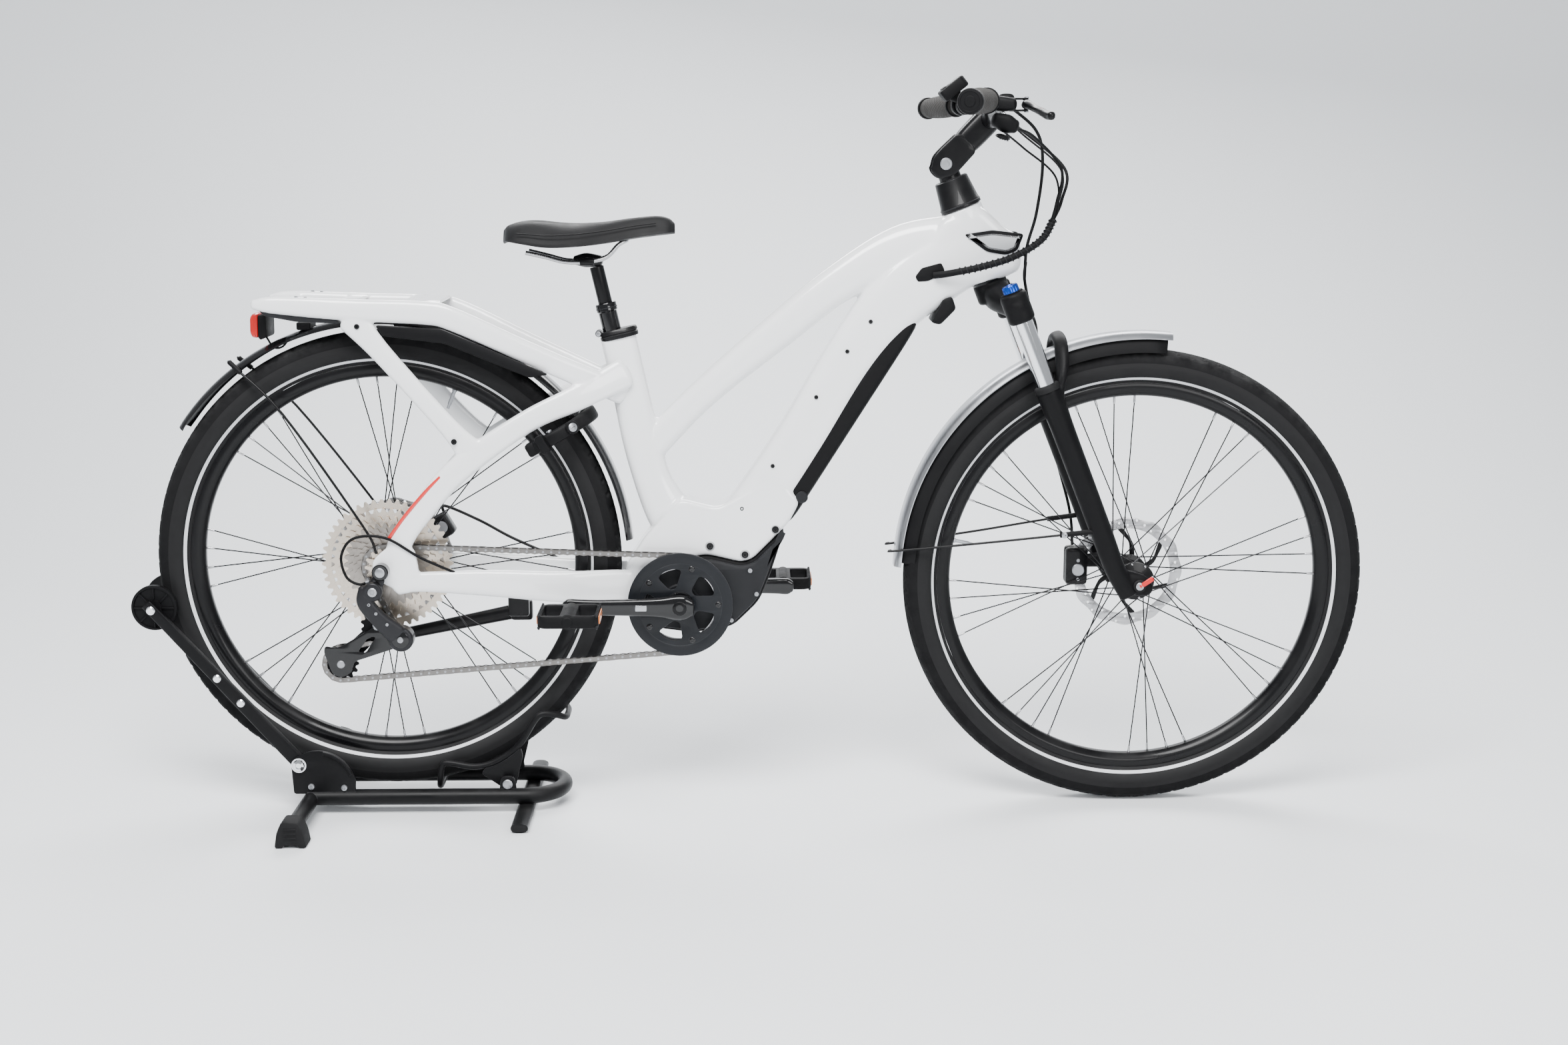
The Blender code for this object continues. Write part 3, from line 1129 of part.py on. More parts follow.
def stand_arms():
    pivot, hub = arm_pivot(), roller_centre()
    along = (hub - pivot).normalized()
    pieces = []
    for side, s in sides():
        y = SIDE * s * 0.0565
        pieces.append(loft(f"arm_{side}", [(pivot - along * 0.012 + y, 0.018, 0.011), (pivot + y, 0.024, 0.011),
                                           (hub + y, 0.018, 0.011), (hub + along * 0.012 + y, 0.014, 0.011)],
                           POWDER, sides=8, power=4))
        pieces.append(rod(f"pivot_bolt_{side}", pivot + SIDE * s * 0.055, pivot + SIDE * s * 0.0715, 0.006, STEEL, 12))
        pieces.append(rod(f"bolt_head_{side}", pivot + SIDE * s * 0.0687, pivot + SIDE * s * 0.0735, 0.0105, STEEL, 12))
    pieces.append(rod("roller_axle", hub - SIDE * 0.0565, hub + SIDE * 0.0565, 0.0038, STEEL, 12))
    pieces[0].name = "stand_arms"
    join(pieces[0], pieces[1:])


def stand_roller():
    bore, core = 0.0041, ROLLER_CORE
    half = [(ROLLER_RADIUS, 0.0465), (ROLLER_RADIUS, 0.037), (0.028, 0.0305), (0.0155, 0.0225), (core + 0.0022, 0.012)]
    profile = [(bore, 0.0465)] + half + [(core, 0)] + [(r, -y) for r, y in reversed(half)] + [(bore, -0.0465)]
    turned("stand_roller", profile, roller_centre(), SIDE, BLACK_PLASTIC, steps=20)


def stand_cradle():
    """A bent wire loop with two plates, rocking on pins in the base's lugs."""
    pivot = cradle_pivot()
    tip = polar(REAR_AXLE, TYRE_RADIUS + 0.0085, -42.8)
    low = under_tyre(0.0705, 0.0075)
    half = 0.040
    side_points = [low + SIDE * 0.030, Vector((low.x + 0.001, half, low.z + 0.008)), on_floor(0.0745, 0.072, half),
                   on_floor(0.083, 0.077, half), on_floor(0.140, 0.066, 0.046), on_floor(0.198, 0.098, 0.046),
                   on_floor(0.228, 0.152, 0.046), on_floor(0.240, 0.158, 0.044), tip + Vector((-0.012, 0.040, 0.008)),
                   tip + SIDE * 0.028]
    loop = [low, *side_points, tip] + [mirrored(point) for point in reversed(side_points)]
    cradle = wire("stand_cradle", loop, 0.0052, POWDER, closed=True)
    outline = flat([on_floor(0.138, 0.060), on_floor(0.172, 0.036), on_floor(0.193, 0.036), on_floor(0.206, 0.088),
                    on_floor(0.203, 0.103), on_floor(0.160, 0.082)])
    pieces = []
    for side, s in sides():
        near, far = s * 0.0445, s * 0.0485
        pieces.append(plate(f"cradle_plate_{side}", outline, min(near, far), max(near, far), POWDER))
        pieces.append(rod(f"cradle_pin_{side}", pivot + SIDE * s * 0.046, pivot + SIDE * s * 0.0665, 0.005, STEEL, 12))
    join(cradle, pieces)


def kickstand():
    pivot = near_bb(-0.268, -0.040, 0.0900)
    tip = rear(-0.080, -0.046, 0.104)
    leg = loft("kick_leg", [(pivot + Vector((0.018, 0, -0.004)), 0.020, 0.014), (pivot, 0.026, 0.0155),
                            (pivot.lerp(tip, 0.35), 0.016, 0.013), (tip, 0.016, 0.014),
                            (tip + (tip - pivot).normalized() * 0.016, 0.022, 0.018)], BLACK_PAINT, sides=10)
    return leg


def build_stand():
    stand_base()
    stand_arms()
    stand_roller()
    stand_cradle()


# ---- Joints ----

def body(name, where, nodes):
    """An empty on the joint's axis that carries the body's pieces."""
    empty = bpy.data.objects.new(name, None)
    PARTS.objects.link(empty)
    empty.location = where
    bpy.context.view_layer.update()
    for node in nodes:
        obj = bpy.data.objects[node]
        held = obj.matrix_world.copy()
        obj.parent = empty
        obj.matrix_parent_inverse = empty.matrix_world.inverted()
        obj.matrix_world = held


def hang_on_joints():
    body("axis_rear_wheel", REAR_AXLE, ["rear_tyre", "rear_rim", "rear_spokes", "rear_rotor"])
    body("axis_cassette", REAR_AXLE, ["cassette"])
    body("axis_front_wheel", FRONT_AXLE, ["front_tyre", "front_rim", "front_spokes", "front_rotor"])
    body("axis_crank", BB, ["chainring", "crank_spindle", "crank_arm_right", "crank_arm_left"])
    body("axis_pedal_right", polar(BB, CRANK_LENGTH, 180 - CRANK_ANGLE), ["pedal_right"])
    body("axis_pedal_left", polar(BB, CRANK_LENGTH, -CRANK_ANGLE), ["pedal_left"])
    body("axis_steering", HEAD, ["fork_crown", "stanchion_right", "stanchion_left", "stem_base"])
    body("axis_fork", FRONT_AXLE, ["fork_lowers", "front_mudguard", "front_caliper", "front_axle"])
    body("axis_stem", stem_pivot(), ["stem_arm", "handlebar", "grip_right", "grip_left", "display"])
    body("axis_lever_right", lever_pivot(-1), ["brake_lever_right"])
    body("axis_lever_left", lever_pivot(1), ["brake_lever_left"])
    body("axis_lockout", steer(0, LEG_FORWARD, -LEG_SPREAD), ["lockout_knob"])
    body("axis_guide_pulley", guide_centre(), ["guide_pulley"])
    body("axis_tension_pulley", tension_centre(), ["tension_pulley"])
    body("axis_lock", lock_frame()[0], ["lock_shackle"])
    body("axis_kickstand", near_bb(-0.268, -0.040, 0.0900), ["kick_leg"])
    body("axis_post", POST_TOP, ["seatpost_outer"])
    body("axis_suspension", POST_TOP, ["seatpost_inner"])
    body("axis_saddle", saddle_at(-0.022, 0), ["saddle", "saddle_rails"])
    body("axis_arms", arm_pivot(), ["stand_arms"])
    body("axis_roller", roller_centre(), ["stand_roller"])
    body("axis_cradle", cradle_pivot(), ["stand_cradle"])


build_stand()
main_frame()
rear_triangle()
frame_fittings()
kickstand()
wheels()
drivetrain()
front_end()
cockpit()
seat_post()
saddle()
hang_on_joints()
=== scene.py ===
# %% [markdown]
# # A trekking e-bike in a floor stand
# The CAD model gives every part its true size and place. This lesson builds the looks around
# it: each visible part becomes a smooth surface worked out with numpy, and each gets a finish
# made of shader nodes. Everything is in metres, +X to the front wheel, +Y to the rider's left.

# %% Load the fixed frame
import json
import math

import bmesh
import bpy
import numpy as np
from mathutils import Matrix, Vector
from mathutils.geometry import tessellate_polygon


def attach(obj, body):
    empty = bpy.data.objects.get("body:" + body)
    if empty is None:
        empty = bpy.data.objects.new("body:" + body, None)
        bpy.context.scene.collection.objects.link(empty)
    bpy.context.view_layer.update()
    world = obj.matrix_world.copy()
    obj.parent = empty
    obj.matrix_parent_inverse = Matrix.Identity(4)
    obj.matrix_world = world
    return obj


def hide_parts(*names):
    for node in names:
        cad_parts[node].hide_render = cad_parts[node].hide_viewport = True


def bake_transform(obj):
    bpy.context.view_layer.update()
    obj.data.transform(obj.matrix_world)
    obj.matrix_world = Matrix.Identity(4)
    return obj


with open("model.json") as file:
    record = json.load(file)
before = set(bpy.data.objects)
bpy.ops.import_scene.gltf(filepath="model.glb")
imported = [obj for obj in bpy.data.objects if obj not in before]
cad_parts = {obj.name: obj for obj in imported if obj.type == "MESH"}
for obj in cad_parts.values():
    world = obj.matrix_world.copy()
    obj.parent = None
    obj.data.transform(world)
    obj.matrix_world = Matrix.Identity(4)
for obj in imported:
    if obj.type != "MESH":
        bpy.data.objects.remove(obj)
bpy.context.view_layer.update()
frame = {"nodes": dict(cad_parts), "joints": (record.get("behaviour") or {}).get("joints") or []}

# %% [markdown]
# The joints say where the axles and pivots are, so every place below is stated from them.
# A place could be typed as plain numbers instead, but then it would drift if the CAD changed.

# %% Places that the joints give
JOINTS = {j["name"]: j for j in frame["joints"]}
SIDE = np.array([0.0, 1.0, 0.0])


def pin(name):
    """The point that a hinge turns about."""
    return np.array(JOINTS[name]["pos_m"], float)


REAR, FRONT, BB, HEAD = (pin(n) for n in ("rear_wheel_spin", "front_wheel_spin", "crank_spin", "steering"))
UP = np.array(JOINTS["steering"]["axis"], float)
AHEAD = np.array([UP[2], 0.0, -UP[0]])
POST_UP = np.array(JOINTS["seat_height"]["axis"], float)
STEM = pin("stem_tilt")
BAR = STEM + np.array([0.0675, 0.0, 0.069])
SEAT = pin("saddle_tilt") + np.array([0.022, 0.0, 0.0])
TYRE_TOP = FRONT[2]
RIM_TOP = TYRE_TOP - 0.053
RIM_FOOT = RIM_TOP - 0.021


def xyz(x, y, z):
    return np.array([x, y, z], float)


def span(s, low, high):
    """The two depths of a plate on side s, the lower first."""
    return sorted((s * low, s * high))


def at(x, z, y=0.0):
    """x ahead of the rear axle, z above the floor, y to the left."""
    return xyz(REAR[0] + x, y, z)


def steer(up, ahead=0.0, y=0.0):
    """up along the steering axis from the head tube's foot, ahead square to it."""
    return HEAD + UP * up + AHEAD * ahead + SIDE * y


def polar(centre, radius, degrees, y=0.0):
    """A point round a centre in the bicycle's side plane; 0 points forward and 90 up."""
    a = np.radians(degrees)
    return np.asarray(centre) + np.stack([radius * np.cos(a), y + 0 * a, radius * np.sin(a)], axis=-1)


def post(distance):
    """A point on the seat post's axis, from the top of the seat tube."""
    return SEAT + POST_UP * (distance - 0.112)


def both_sides():
    """The right side is -Y and the left is +Y."""
    return (("right", -1), ("left", 1))


print("wheelbase", round(float(FRONT[0] - REAR[0]), 4), "m; the bar is", round(float(BAR[2]), 3), "m up")

# %% [markdown]
# A surface here is a grid of points: one direction goes round or across, the other along.
# Neighbouring points make quads. Working on whole arrays keeps a tyre of fifty thousand quads
# as quick to write and to run as a washer.

# %% Grids, smooth rows and shapes


def quads(rows, columns, wrap_rows=False, wrap_columns=True):
    """The corners of each quad of a rows by columns grid whose points are numbered row by row."""
    r = np.arange(rows if wrap_rows else rows - 1)
    c = np.arange(columns if wrap_columns else columns - 1)
    r, c = (a.ravel() for a in np.meshgrid(r, c, indexing="ij"))
    r2, c2 = (r + 1) % rows, (c + 1) % columns
    return np.stack([r * columns + c, r * columns + c2, r2 * columns + c2, r2 * columns + c], axis=1)


def through(rows, per_leg=8, closed=False):
    """Rows of numbers joined smoothly. Each leg is the Catmull-Rom cubic: a blend of the four rows
    around it whose slope at a row is half the step between its neighbours."""
    p = np.asarray(rows, float)
    if closed:
        p = np.concatenate([p[-1:], p, p[:2]])
    else:
        p = np.concatenate([2 * p[:1] - p[1:2], p, 2 * p[-1:] - p[-2:-1]])
    a, b, c, d = (p[i:len(p) - 3 + i, None] for i in range(4))
    t = np.linspace(0, 1, per_leg, endpoint=False)[None, :, None]
    second, third = 2 * a - 5 * b + 4 * c - d, 3 * b - a - 3 * c + d
    curve = 0.5 * (2 * b + (c - a) * t + second * t ** 2 + third * t ** 3)
    curve = curve.reshape(-1, p.shape[1])
    return curve if closed else np.concatenate([curve, p[-2:-1]])


class Shape:
    """Surfaces gathered for one piece: points, faces, and the number of each face's finish."""

    def __init__(self):
        self.points, self.faces, self.finish, self.count = [], [], [], 0

    def add(self, surface, finish=0):
        points, faces = surface
        for group in faces:
            self.faces.append(np.asarray(group) + self.count)
            self.finish.append(np.full(len(group), finish) if np.isscalar(finish) else finish)
        self.points.append(np.asarray(points, float).reshape(-1, 3))
        self.count += len(self.points[-1])
        return self


def mesh_of(name, shape):
    """The shape as a Blender mesh: arrays go in whole, doubled points merge, faces turn outwards."""
    mesh = bpy.data.meshes.new(name)
    points = np.concatenate(shape.points)
    sizes = np.concatenate([np.full(len(g), g.shape[1]) for g in shape.faces])
    loops = np.concatenate([g.ravel() for g in shape.faces])
    mesh.vertices.add(len(points))
    mesh.vertices.foreach_set("co", points.astype(np.float32).ravel())
    mesh.loops.add(len(loops))
    mesh.loops.foreach_set("vertex_index", loops.astype(np.int32))
    mesh.polygons.add(len(sizes))
    mesh.polygons.foreach_set("loop_start", np.concatenate([[0], np.cumsum(sizes)[:-1]]).astype(np.int32))
    mesh.polygons.foreach_set("material_index", np.concatenate(shape.finish).astype(np.int32))
    mesh.update(calc_edges=True)
    tidy = bmesh.new()
    tidy.from_mesh(mesh)
    bmesh.ops.remove_doubles(tidy, verts=tidy.verts, dist=2e-6)
    bmesh.ops.recalc_face_normals(tidy, faces=tidy.faces)
    tidy.to_mesh(mesh)
    tidy.free()
    return mesh


def piece(name, shape, body, finishes, stands_for=(), crease=38):
    """Makes the shape one object in place of the CAD nodes it stands for. It rides on a body; given instead
    (from body, to body, where the bend starts, where it ends), it is only fixed in place and rides on no body."""
    mesh = shape if isinstance(shape, bpy.types.Mesh) else mesh_of(name, shape)
    mesh.name = name
    obj = bpy.data.objects.new(name, mesh)
    bpy.context.scene.collection.objects.link(obj)
    for finish in finishes:
        mesh.materials.append(finish)
    mesh.shade_smooth()
    mesh.set_sharp_from_angle(angle=math.radians(crease))
    if isinstance(body, str):
        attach(obj, body)
    else:
        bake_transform(obj)
    if stands_for:
        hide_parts(*([stands_for] if isinstance(stands_for, str) else stands_for))
    print(f"{name}: {len(mesh.polygons)} faces on {body}")
    return obj


# %% [markdown]
# Four ways of making a surface cover nearly all of the bicycle. A profile turned round an axis
# makes tyres, hubs and knobs. A section carried along a path makes tubes, stays and cables. An
# outline given a thickness makes plates and cogs. Overlapping bodies welded through a grid of
# small cubes, then relaxed, make castings and frame joints with soft fillets.

# %% Turned, swept and cut-out surfaces


def turned(profile, centre, axis=SIDE, steps=64, loop=False):
    """The profile's points (radius, height) carried round the axis: centre + height times axis
    + radius times the unit vector at each angle."""
    profile = np.asarray(profile, float)
    axis = np.asarray(axis, float) / np.linalg.norm(axis)
    u = np.cross(axis, [0.0, 0.0, 1.0] if abs(axis[2]) < 0.9 else [1.0, 0.0, 0.0])
    u /= np.linalg.norm(u)
    v = np.cross(axis, u)
    a = np.linspace(0, 2 * np.pi, steps, endpoint=False)
    spoke = np.cos(a)[:, None] * u + np.sin(a)[:, None] * v
    points = centre + profile[None, :, 1:2] * axis + profile[None, :, :1] * spoke[:, None]
    return points.reshape(-1, 3), [quads(steps, len(profile), True, loop)]


def capped(profile):
    """The profile with its first and last points brought to the axis."""
    profile = [tuple(p) for p in profile]
    return [(0.0, profile[0][1])] + profile + [(0.0, profile[-1][1])]


def plug(profile, centre, axis=SIDE, steps=64):
    """A turned solid whose profile is closed on the axis at both ends."""
    return turned(capped(profile), centre, axis, steps)


def carried(path, closed=False, hint=None):
    """At each point of a path a side and an up direction, turned as little as possible on the way."""
    path = np.asarray(path, float)
    ahead = np.roll(path, -1, 0) - np.roll(path, 1, 0) if closed else np.gradient(path, axis=0)
    ahead /= np.linalg.norm(ahead, axis=1)[:, None]
    side = np.array(hint if hint is not None else ([0, 1, 0] if abs(ahead[0][1]) < 0.8 else [0, 0, 1]), float)
    sides = []
    for step in ahead:
        side = np.array(hint, float) if hint is not None else side
        side = side - step * (side @ step)
        side /= np.linalg.norm(side)
        sides.append(side)
    return np.array(sides), np.cross(ahead, np.array(sides))


def swept(path, section, closed=False, hint=None):
    """A section of (across, up) points carried along the path, its ends closed by flat caps."""
    path, section = np.asarray(path, float), np.asarray(section, float)
    side, up = carried(path, closed, hint)
    if section.ndim == 2:
        section = np.broadcast_to(section, (len(path), *section.shape))
    points = path[:, None] + section[..., :1] * side[:, None] + section[..., 1:] * up[:, None]
    n, k = section.shape[:2]
    faces = [quads(n, k, closed)]
    if not closed:
        cap = np.array(tessellate_polygon([[Vector((*p, 0)) for p in section[0]]]))
        faces += [cap[:, ::-1], cap + (n - 1) * k]
    return points.reshape(-1, 3), faces


def round_section(radius, sides=12):
    a = np.linspace(0, 2 * np.pi, sides, endpoint=False)
    circle = np.stack([np.cos(a), np.sin(a)], axis=1)
    return circle * np.reshape(radius, (-1, 1, 1)) if np.ndim(radius) else circle * radius


def tube(path, radius, sides=12, closed=False):
    """A round wire; its radius may change from point to point."""
    return swept(path, round_section(radius, sides), closed)


def rod(start, end, radius, sides=20, edge=0.0, end_radius=None):
    """A straight bar with its end edges eased."""
    start, end = np.asarray(start, float), np.asarray(end, float)
    length = np.linalg.norm(end - start)
    r2 = radius if end_radius is None else end_radius
    edge = edge or min(radius, r2) * 0.12
    profile = [(0, 0), (radius - edge, 0), (radius, edge), (r2, length - edge), (r2 - edge, length),
               (0, length)]
    return turned(profile, start, end - start, sides)


def squircle(width, height, power=2.6, sides=40):
    """A rounded rectangle: the points whose two coordinates, as shares of the half sizes and
    raised to the power, add up to one."""
    a = np.linspace(0, 2 * np.pi, sides, endpoint=False)
    c, s = np.cos(a), np.sin(a)
    unit = np.stack([np.sign(c) * np.abs(c) ** (2 / power), np.sign(s) * np.abs(s) ** (2 / power)], axis=1)
    return unit * np.stack([np.asarray(width) / 2, np.asarray(height) / 2], axis=-1)[..., None, :]


def bar_through(rows, sides=40, power=2.6, per_leg=8, across=SIDE, ends=0.35):
    """A tube through rows of (x, y, z, height, width), with rounded ends that bulge out by a share
    of the end's own height."""
    rows = through(rows, per_leg) if per_leg > 1 else np.asarray(rows, float)
    path, high, wide = rows[:, :3], rows[:, 3], rows[:, 4]
    if ends:
        out = np.sin(np.linspace(0, np.pi / 2, 6)[1:])[:, None]
        shrink = np.cos(np.linspace(0, np.pi / 2, 6)[1:]) * 0.98 + 0.02
        first = (path[0] - path[1]) / np.linalg.norm(path[0] - path[1]) * high[0] * ends
        last = (path[-1] - path[-2]) / np.linalg.norm(path[-1] - path[-2]) * high[-1] * ends
        path = np.concatenate([(path[0] + first * out)[::-1], path, path[-1] + last * out])
        high = np.concatenate([(high[0] * shrink)[::-1], high, high[-1] * shrink])
        wide = np.concatenate([(wide[0] * shrink)[::-1], wide, wide[-1] * shrink])
    return swept(path, squircle(wide, high, power, sides), hint=across)


def softened(outline, radius, steps=4):
    """The outline with each corner replaced by a short curve."""
    p = np.asarray(outline, float)
    before, after = np.roll(p, 1, 0) - p, np.roll(p, -1, 0) - p
    lb, la = np.linalg.norm(before, axis=1)[:, None], np.linalg.norm(after, axis=1)[:, None]
    reach = np.minimum(radius, 0.45 * np.minimum(lb, la))
    start, end = p + before / lb * reach, p + after / la * reach
    t = np.linspace(0, 1, steps + 1)[None, :, None]
    return ((1 - t) ** 2 * start[:, None] + 2 * t * (1 - t) * p[:, None] + t ** 2 * end[:, None]).reshape(-1,
            2)


def inset(outline, distance):
    """The outline moved towards its own inside, each corner along the line that halves it."""
    p = np.asarray(outline, float)
    area = np.sum(p[:, 0] * np.roll(p[:, 1], -1) - np.roll(p[:, 0], -1) * p[:, 1])
    step = np.roll(p, -1, 0) - p
    step /= np.maximum(np.linalg.norm(step, axis=1), 1e-9)[:, None]
    normal = np.stack([-step[:, 1], step[:, 0]], axis=1) * np.sign(area)
    both = normal + np.roll(normal, 1, 0)
    return p + both / np.maximum((both ** 2).sum(1), 0.5)[:, None] * 2 * distance


def side_plane(a, b, depth):
    """Outline across = world X, outline up = world Z, depth = world Y."""
    return np.stack([a, depth, b], axis=-1)


def plane(origin, across, up):
    """Another place for an outline: its origin, and the directions of its two axes."""
    across, up = (np.asarray(v, float) / np.linalg.norm(v) for v in (across, up))
    out = np.cross(across, up)
    return lambda a, b, d: (np.asarray(origin) + a[..., None] * across + b[..., None] * up + d[...,
            None] * out)


def slab(outline, low, high, edge=0.0, holes=(), where=side_plane):
    """A plate: the outline and its holes as walls from low to high, the rims eased by edge, closed
    by two flat faces."""
    steps = [(0.0, low), (0.0, high)] if edge <= 0 else [(edge, low), (edge * 0.3, low + edge * 0.3),
            (0, low + edge), (0, high - edge), (edge * 0.3, high - edge * 0.3), (edge, high)]
    loops = [np.asarray(outline, float)] + [np.asarray(h, float) for h in holes]
    points, faces, count, first, last = [], [], 0, [], []
    for number, loop in enumerate(loops):
        rings = [inset(loop, d if number == 0 else -d) for d, _ in steps]
        wall = np.concatenate([where(r[:, 0], r[:, 1], np.full(len(r), y)) for r,
                               (_, y) in zip(rings, steps)])
        faces.append(quads(len(rings), len(loop)) + count)
        first.append((rings[0], count))
        last.append((rings[-1], count + (len(rings) - 1) * len(loop)))
        points.append(wall)
        count += len(wall)
    for rings in (first, last):
        numbers = np.concatenate([start + np.arange(len(r)) for r, start in rings])
        cap = np.array(tessellate_polygon([[Vector((*p, 0)) for p in r] for r, _ in rings]))
        faces.append(numbers[cap])
    return np.concatenate(points), faces


def disc_outline(centre, radius, sides=32):
    a = np.linspace(0, 2 * np.pi, sides, endpoint=False)
    return np.stack([centre[0] + radius * np.cos(a), centre[-1] + radius * np.sin(a)], axis=1)


def block(centre, size, edge=0.002, across=(1, 0, 0), up=(0, 0, 1), corner=None):
    """A block with eased edges, turned so that its width and height lie along across and up."""
    w, h, d = size
    outline = softened([(-w / 2, -h / 2), (w / 2, -h / 2), (w / 2, h / 2), (-w / 2, h / 2)],
                       corner or edge * 1.5)
    return slab(outline, -d / 2, d / 2, edge, where=plane(centre, across, up))


def toothed(centre, teeth, root, tip, low, high, hole, valley=0.5, per_tooth=8):
    """A cog: its rim's radius swings from root to tip once a tooth, with a flat share at the tip."""
    a = np.linspace(0, 2 * np.pi, teeth * per_tooth, endpoint=False)
    swing = np.clip(0.5 + 0.9 * np.cos(teeth * a) / (2 * valley), 0, 1)
    rim = root + (tip - root) * swing
    spin = np.stack([np.cos(a), np.zeros_like(a), np.sin(a)], axis=1)[:, None]
    radius = np.stack([np.full_like(a, hole), rim - 0.0003, rim, rim - 0.0003, np.full_like(a, hole)], axis=1)
    y = np.array([low, low, (low + high) / 2, high, high])[None, :, None] * SIDE
    points = np.asarray(centre) + radius[..., None] * spin + y
    return points.reshape(-1, 3), [quads(len(a), 5, True, True)]


def fastener(head, out, radius, height=0.004, sides=24):
    """A button-headed screw with a socket sunk in its crown."""
    r, h, s = radius, height, radius * 0.48
    return turned([(0, -h), (r * 0.8, -h), (r, 0), (r, h * 0.35), (r * 0.86, h * 0.8), (s, h), (s, h * 0.3),
                   (0, h * 0.3)], head, out, sides)


def welded(name, surfaces, cube=0.0025, passes=6):
    """Closed bodies that overlap made one skin: a grid of cubes finds what is inside any of them, and
    relaxing the skin rounds the joins."""
    shape = Shape()
    for surface in surfaces:
        shape.add(surface)
    obj = bpy.data.objects.new(name + "_form", mesh_of(name + "_form", shape))
    bpy.context.scene.collection.objects.link(obj)
    skin = obj.modifiers.new("skin", "REMESH")
    skin.mode = "VOXEL"
    skin.voxel_size = cube
    relax = obj.modifiers.new("relax", "SMOOTH")
    relax.factor = 0.5
    relax.iterations = passes
    graph = bpy.context.evaluated_depsgraph_get()
    mesh = bpy.data.meshes.new_from_object(obj.evaluated_get(graph))
    bpy.data.objects.remove(obj, do_unlink=True)
    return mesh


print("surface helpers ready")

# %% [markdown]
# Finishes are built from three small shader groups that only hand out values and normals: fine
# grain for cast and moulded faces, a cloudy variation that stands for handling and dust, and a
# mask that finds bare edges. Each finish then mixes them to its own taste.

# %% Shared shader effects


def group(name, outputs, inputs=()):
    """An empty shader group with float inputs (name, value) and outputs (name, kind)."""
    tree = bpy.data.node_groups.new(name, "ShaderNodeTree")
    for label, value in inputs:
        tree.interface.new_socket(label, in_out="INPUT", socket_type="NodeSocketFloat").default_value = value
    for label, kind in outputs:
        tree.interface.new_socket(label, in_out="OUTPUT", socket_type=kind)
    return tree, tree.nodes.new("NodeGroupInput"), tree.nodes.new("NodeGroupOutput")


def node(tree, kind, links=None, **values):
    """One node: plain values set by attribute or socket name, and links given as socket to source."""
    made = tree.nodes.new("ShaderNode" + kind)
    for key, value in values.items():
        if hasattr(made, key):
            setattr(made, key, value)
        else:
            made.inputs[key.replace("_", " ")].default_value = value
    for key, source in (links or {}).items():
        tree.links.new(source, made.inputs[key])
    return made


def grain_group():
    """Noise as a bump height: coarse orange peel plus fine pitting."""
    tree, given, out = group("surface_grain", [("Height", "NodeSocketFloat"), ("Normal", "NodeSocketVector")],
                             [("Scale", 900.0), ("Depth", 0.1)])
    place = node(tree, "TexCoord").outputs["Object"]
    fine = node(tree, "TexNoise", {"Vector": place, "Scale": given.outputs["Scale"]}, Detail=3.0,
                Roughness=0.6)
    tree.links.new(fine.outputs["Fac"], out.inputs["Height"])
    bump = node(tree, "Bump", {"Height": fine.outputs["Fac"], "Strength": given.outputs["Depth"]},
                Distance=0.0006)
    tree.links.new(bump.outputs["Normal"], out.inputs["Normal"])
    return tree


def clouds_group():
    """A soft, large pattern between 0 and 1 for dust and fingermarks, strongest on upward faces."""
    tree, given, out = group("dust_and_handling", [("Mask", "NodeSocketFloat"), ("Top", "NodeSocketFloat")],
                             [("Scale", 14.0)])
    place = node(tree, "TexCoord").outputs["Object"]
    big = node(tree, "TexNoise", {"Vector": place, "Scale": given.outputs["Scale"]}, Detail=5.0,
               Roughness=0.62)
    spread = node(tree, "MapRange", {"Value": big.outputs["Fac"]})
    spread.inputs["From Min"].default_value, spread.inputs["From Max"].default_value = 0.38, 0.68
    facing = node(tree, "SeparateXYZ", {"Vector": node(tree, "NewGeometry").outputs["Normal"]})
    top = node(tree, "Math", {0: facing.outputs["Z"], 1: spread.outputs["Result"]}, operation="MULTIPLY",
               use_clamp=True)
    tree.links.new(spread.outputs["Result"], out.inputs["Mask"])
    tree.links.new(top.outputs["Value"], out.inputs["Top"])
    return tree


def edges_group():
    """1 on sharp outer edges: where a slightly rounded normal differs from the true one."""
    tree, given, out = group("worn_edges", [("Mask", "NodeSocketFloat")], [("Reach", 0.0012)])
    soft = node(tree, "Bevel", {"Radius": given.outputs["Reach"]}, samples=4)
    true = node(tree, "NewGeometry").outputs["Normal"]
    alike = node(tree, "VectorMath", {0: soft.outputs["Normal"], 1: true}, operation="DOT_PRODUCT")
    mask = node(tree, "MapRange", {"Value": alike.outputs["Value"]})
    mask.inputs["From Min"].default_value, mask.inputs["From Max"].default_value = 0.985, 0.9
    tree.links.new(mask.outputs["Result"], out.inputs["Mask"])
    return tree


GRAIN, CLOUDS, EDGES = grain_group(), clouds_group(), edges_group()


def use(tree, shared, **values):
    made = tree.nodes.new("ShaderNodeGroup")
    made.node_tree = shared
    for key, value in values.items():
        made.inputs[key].default_value = value
    return made


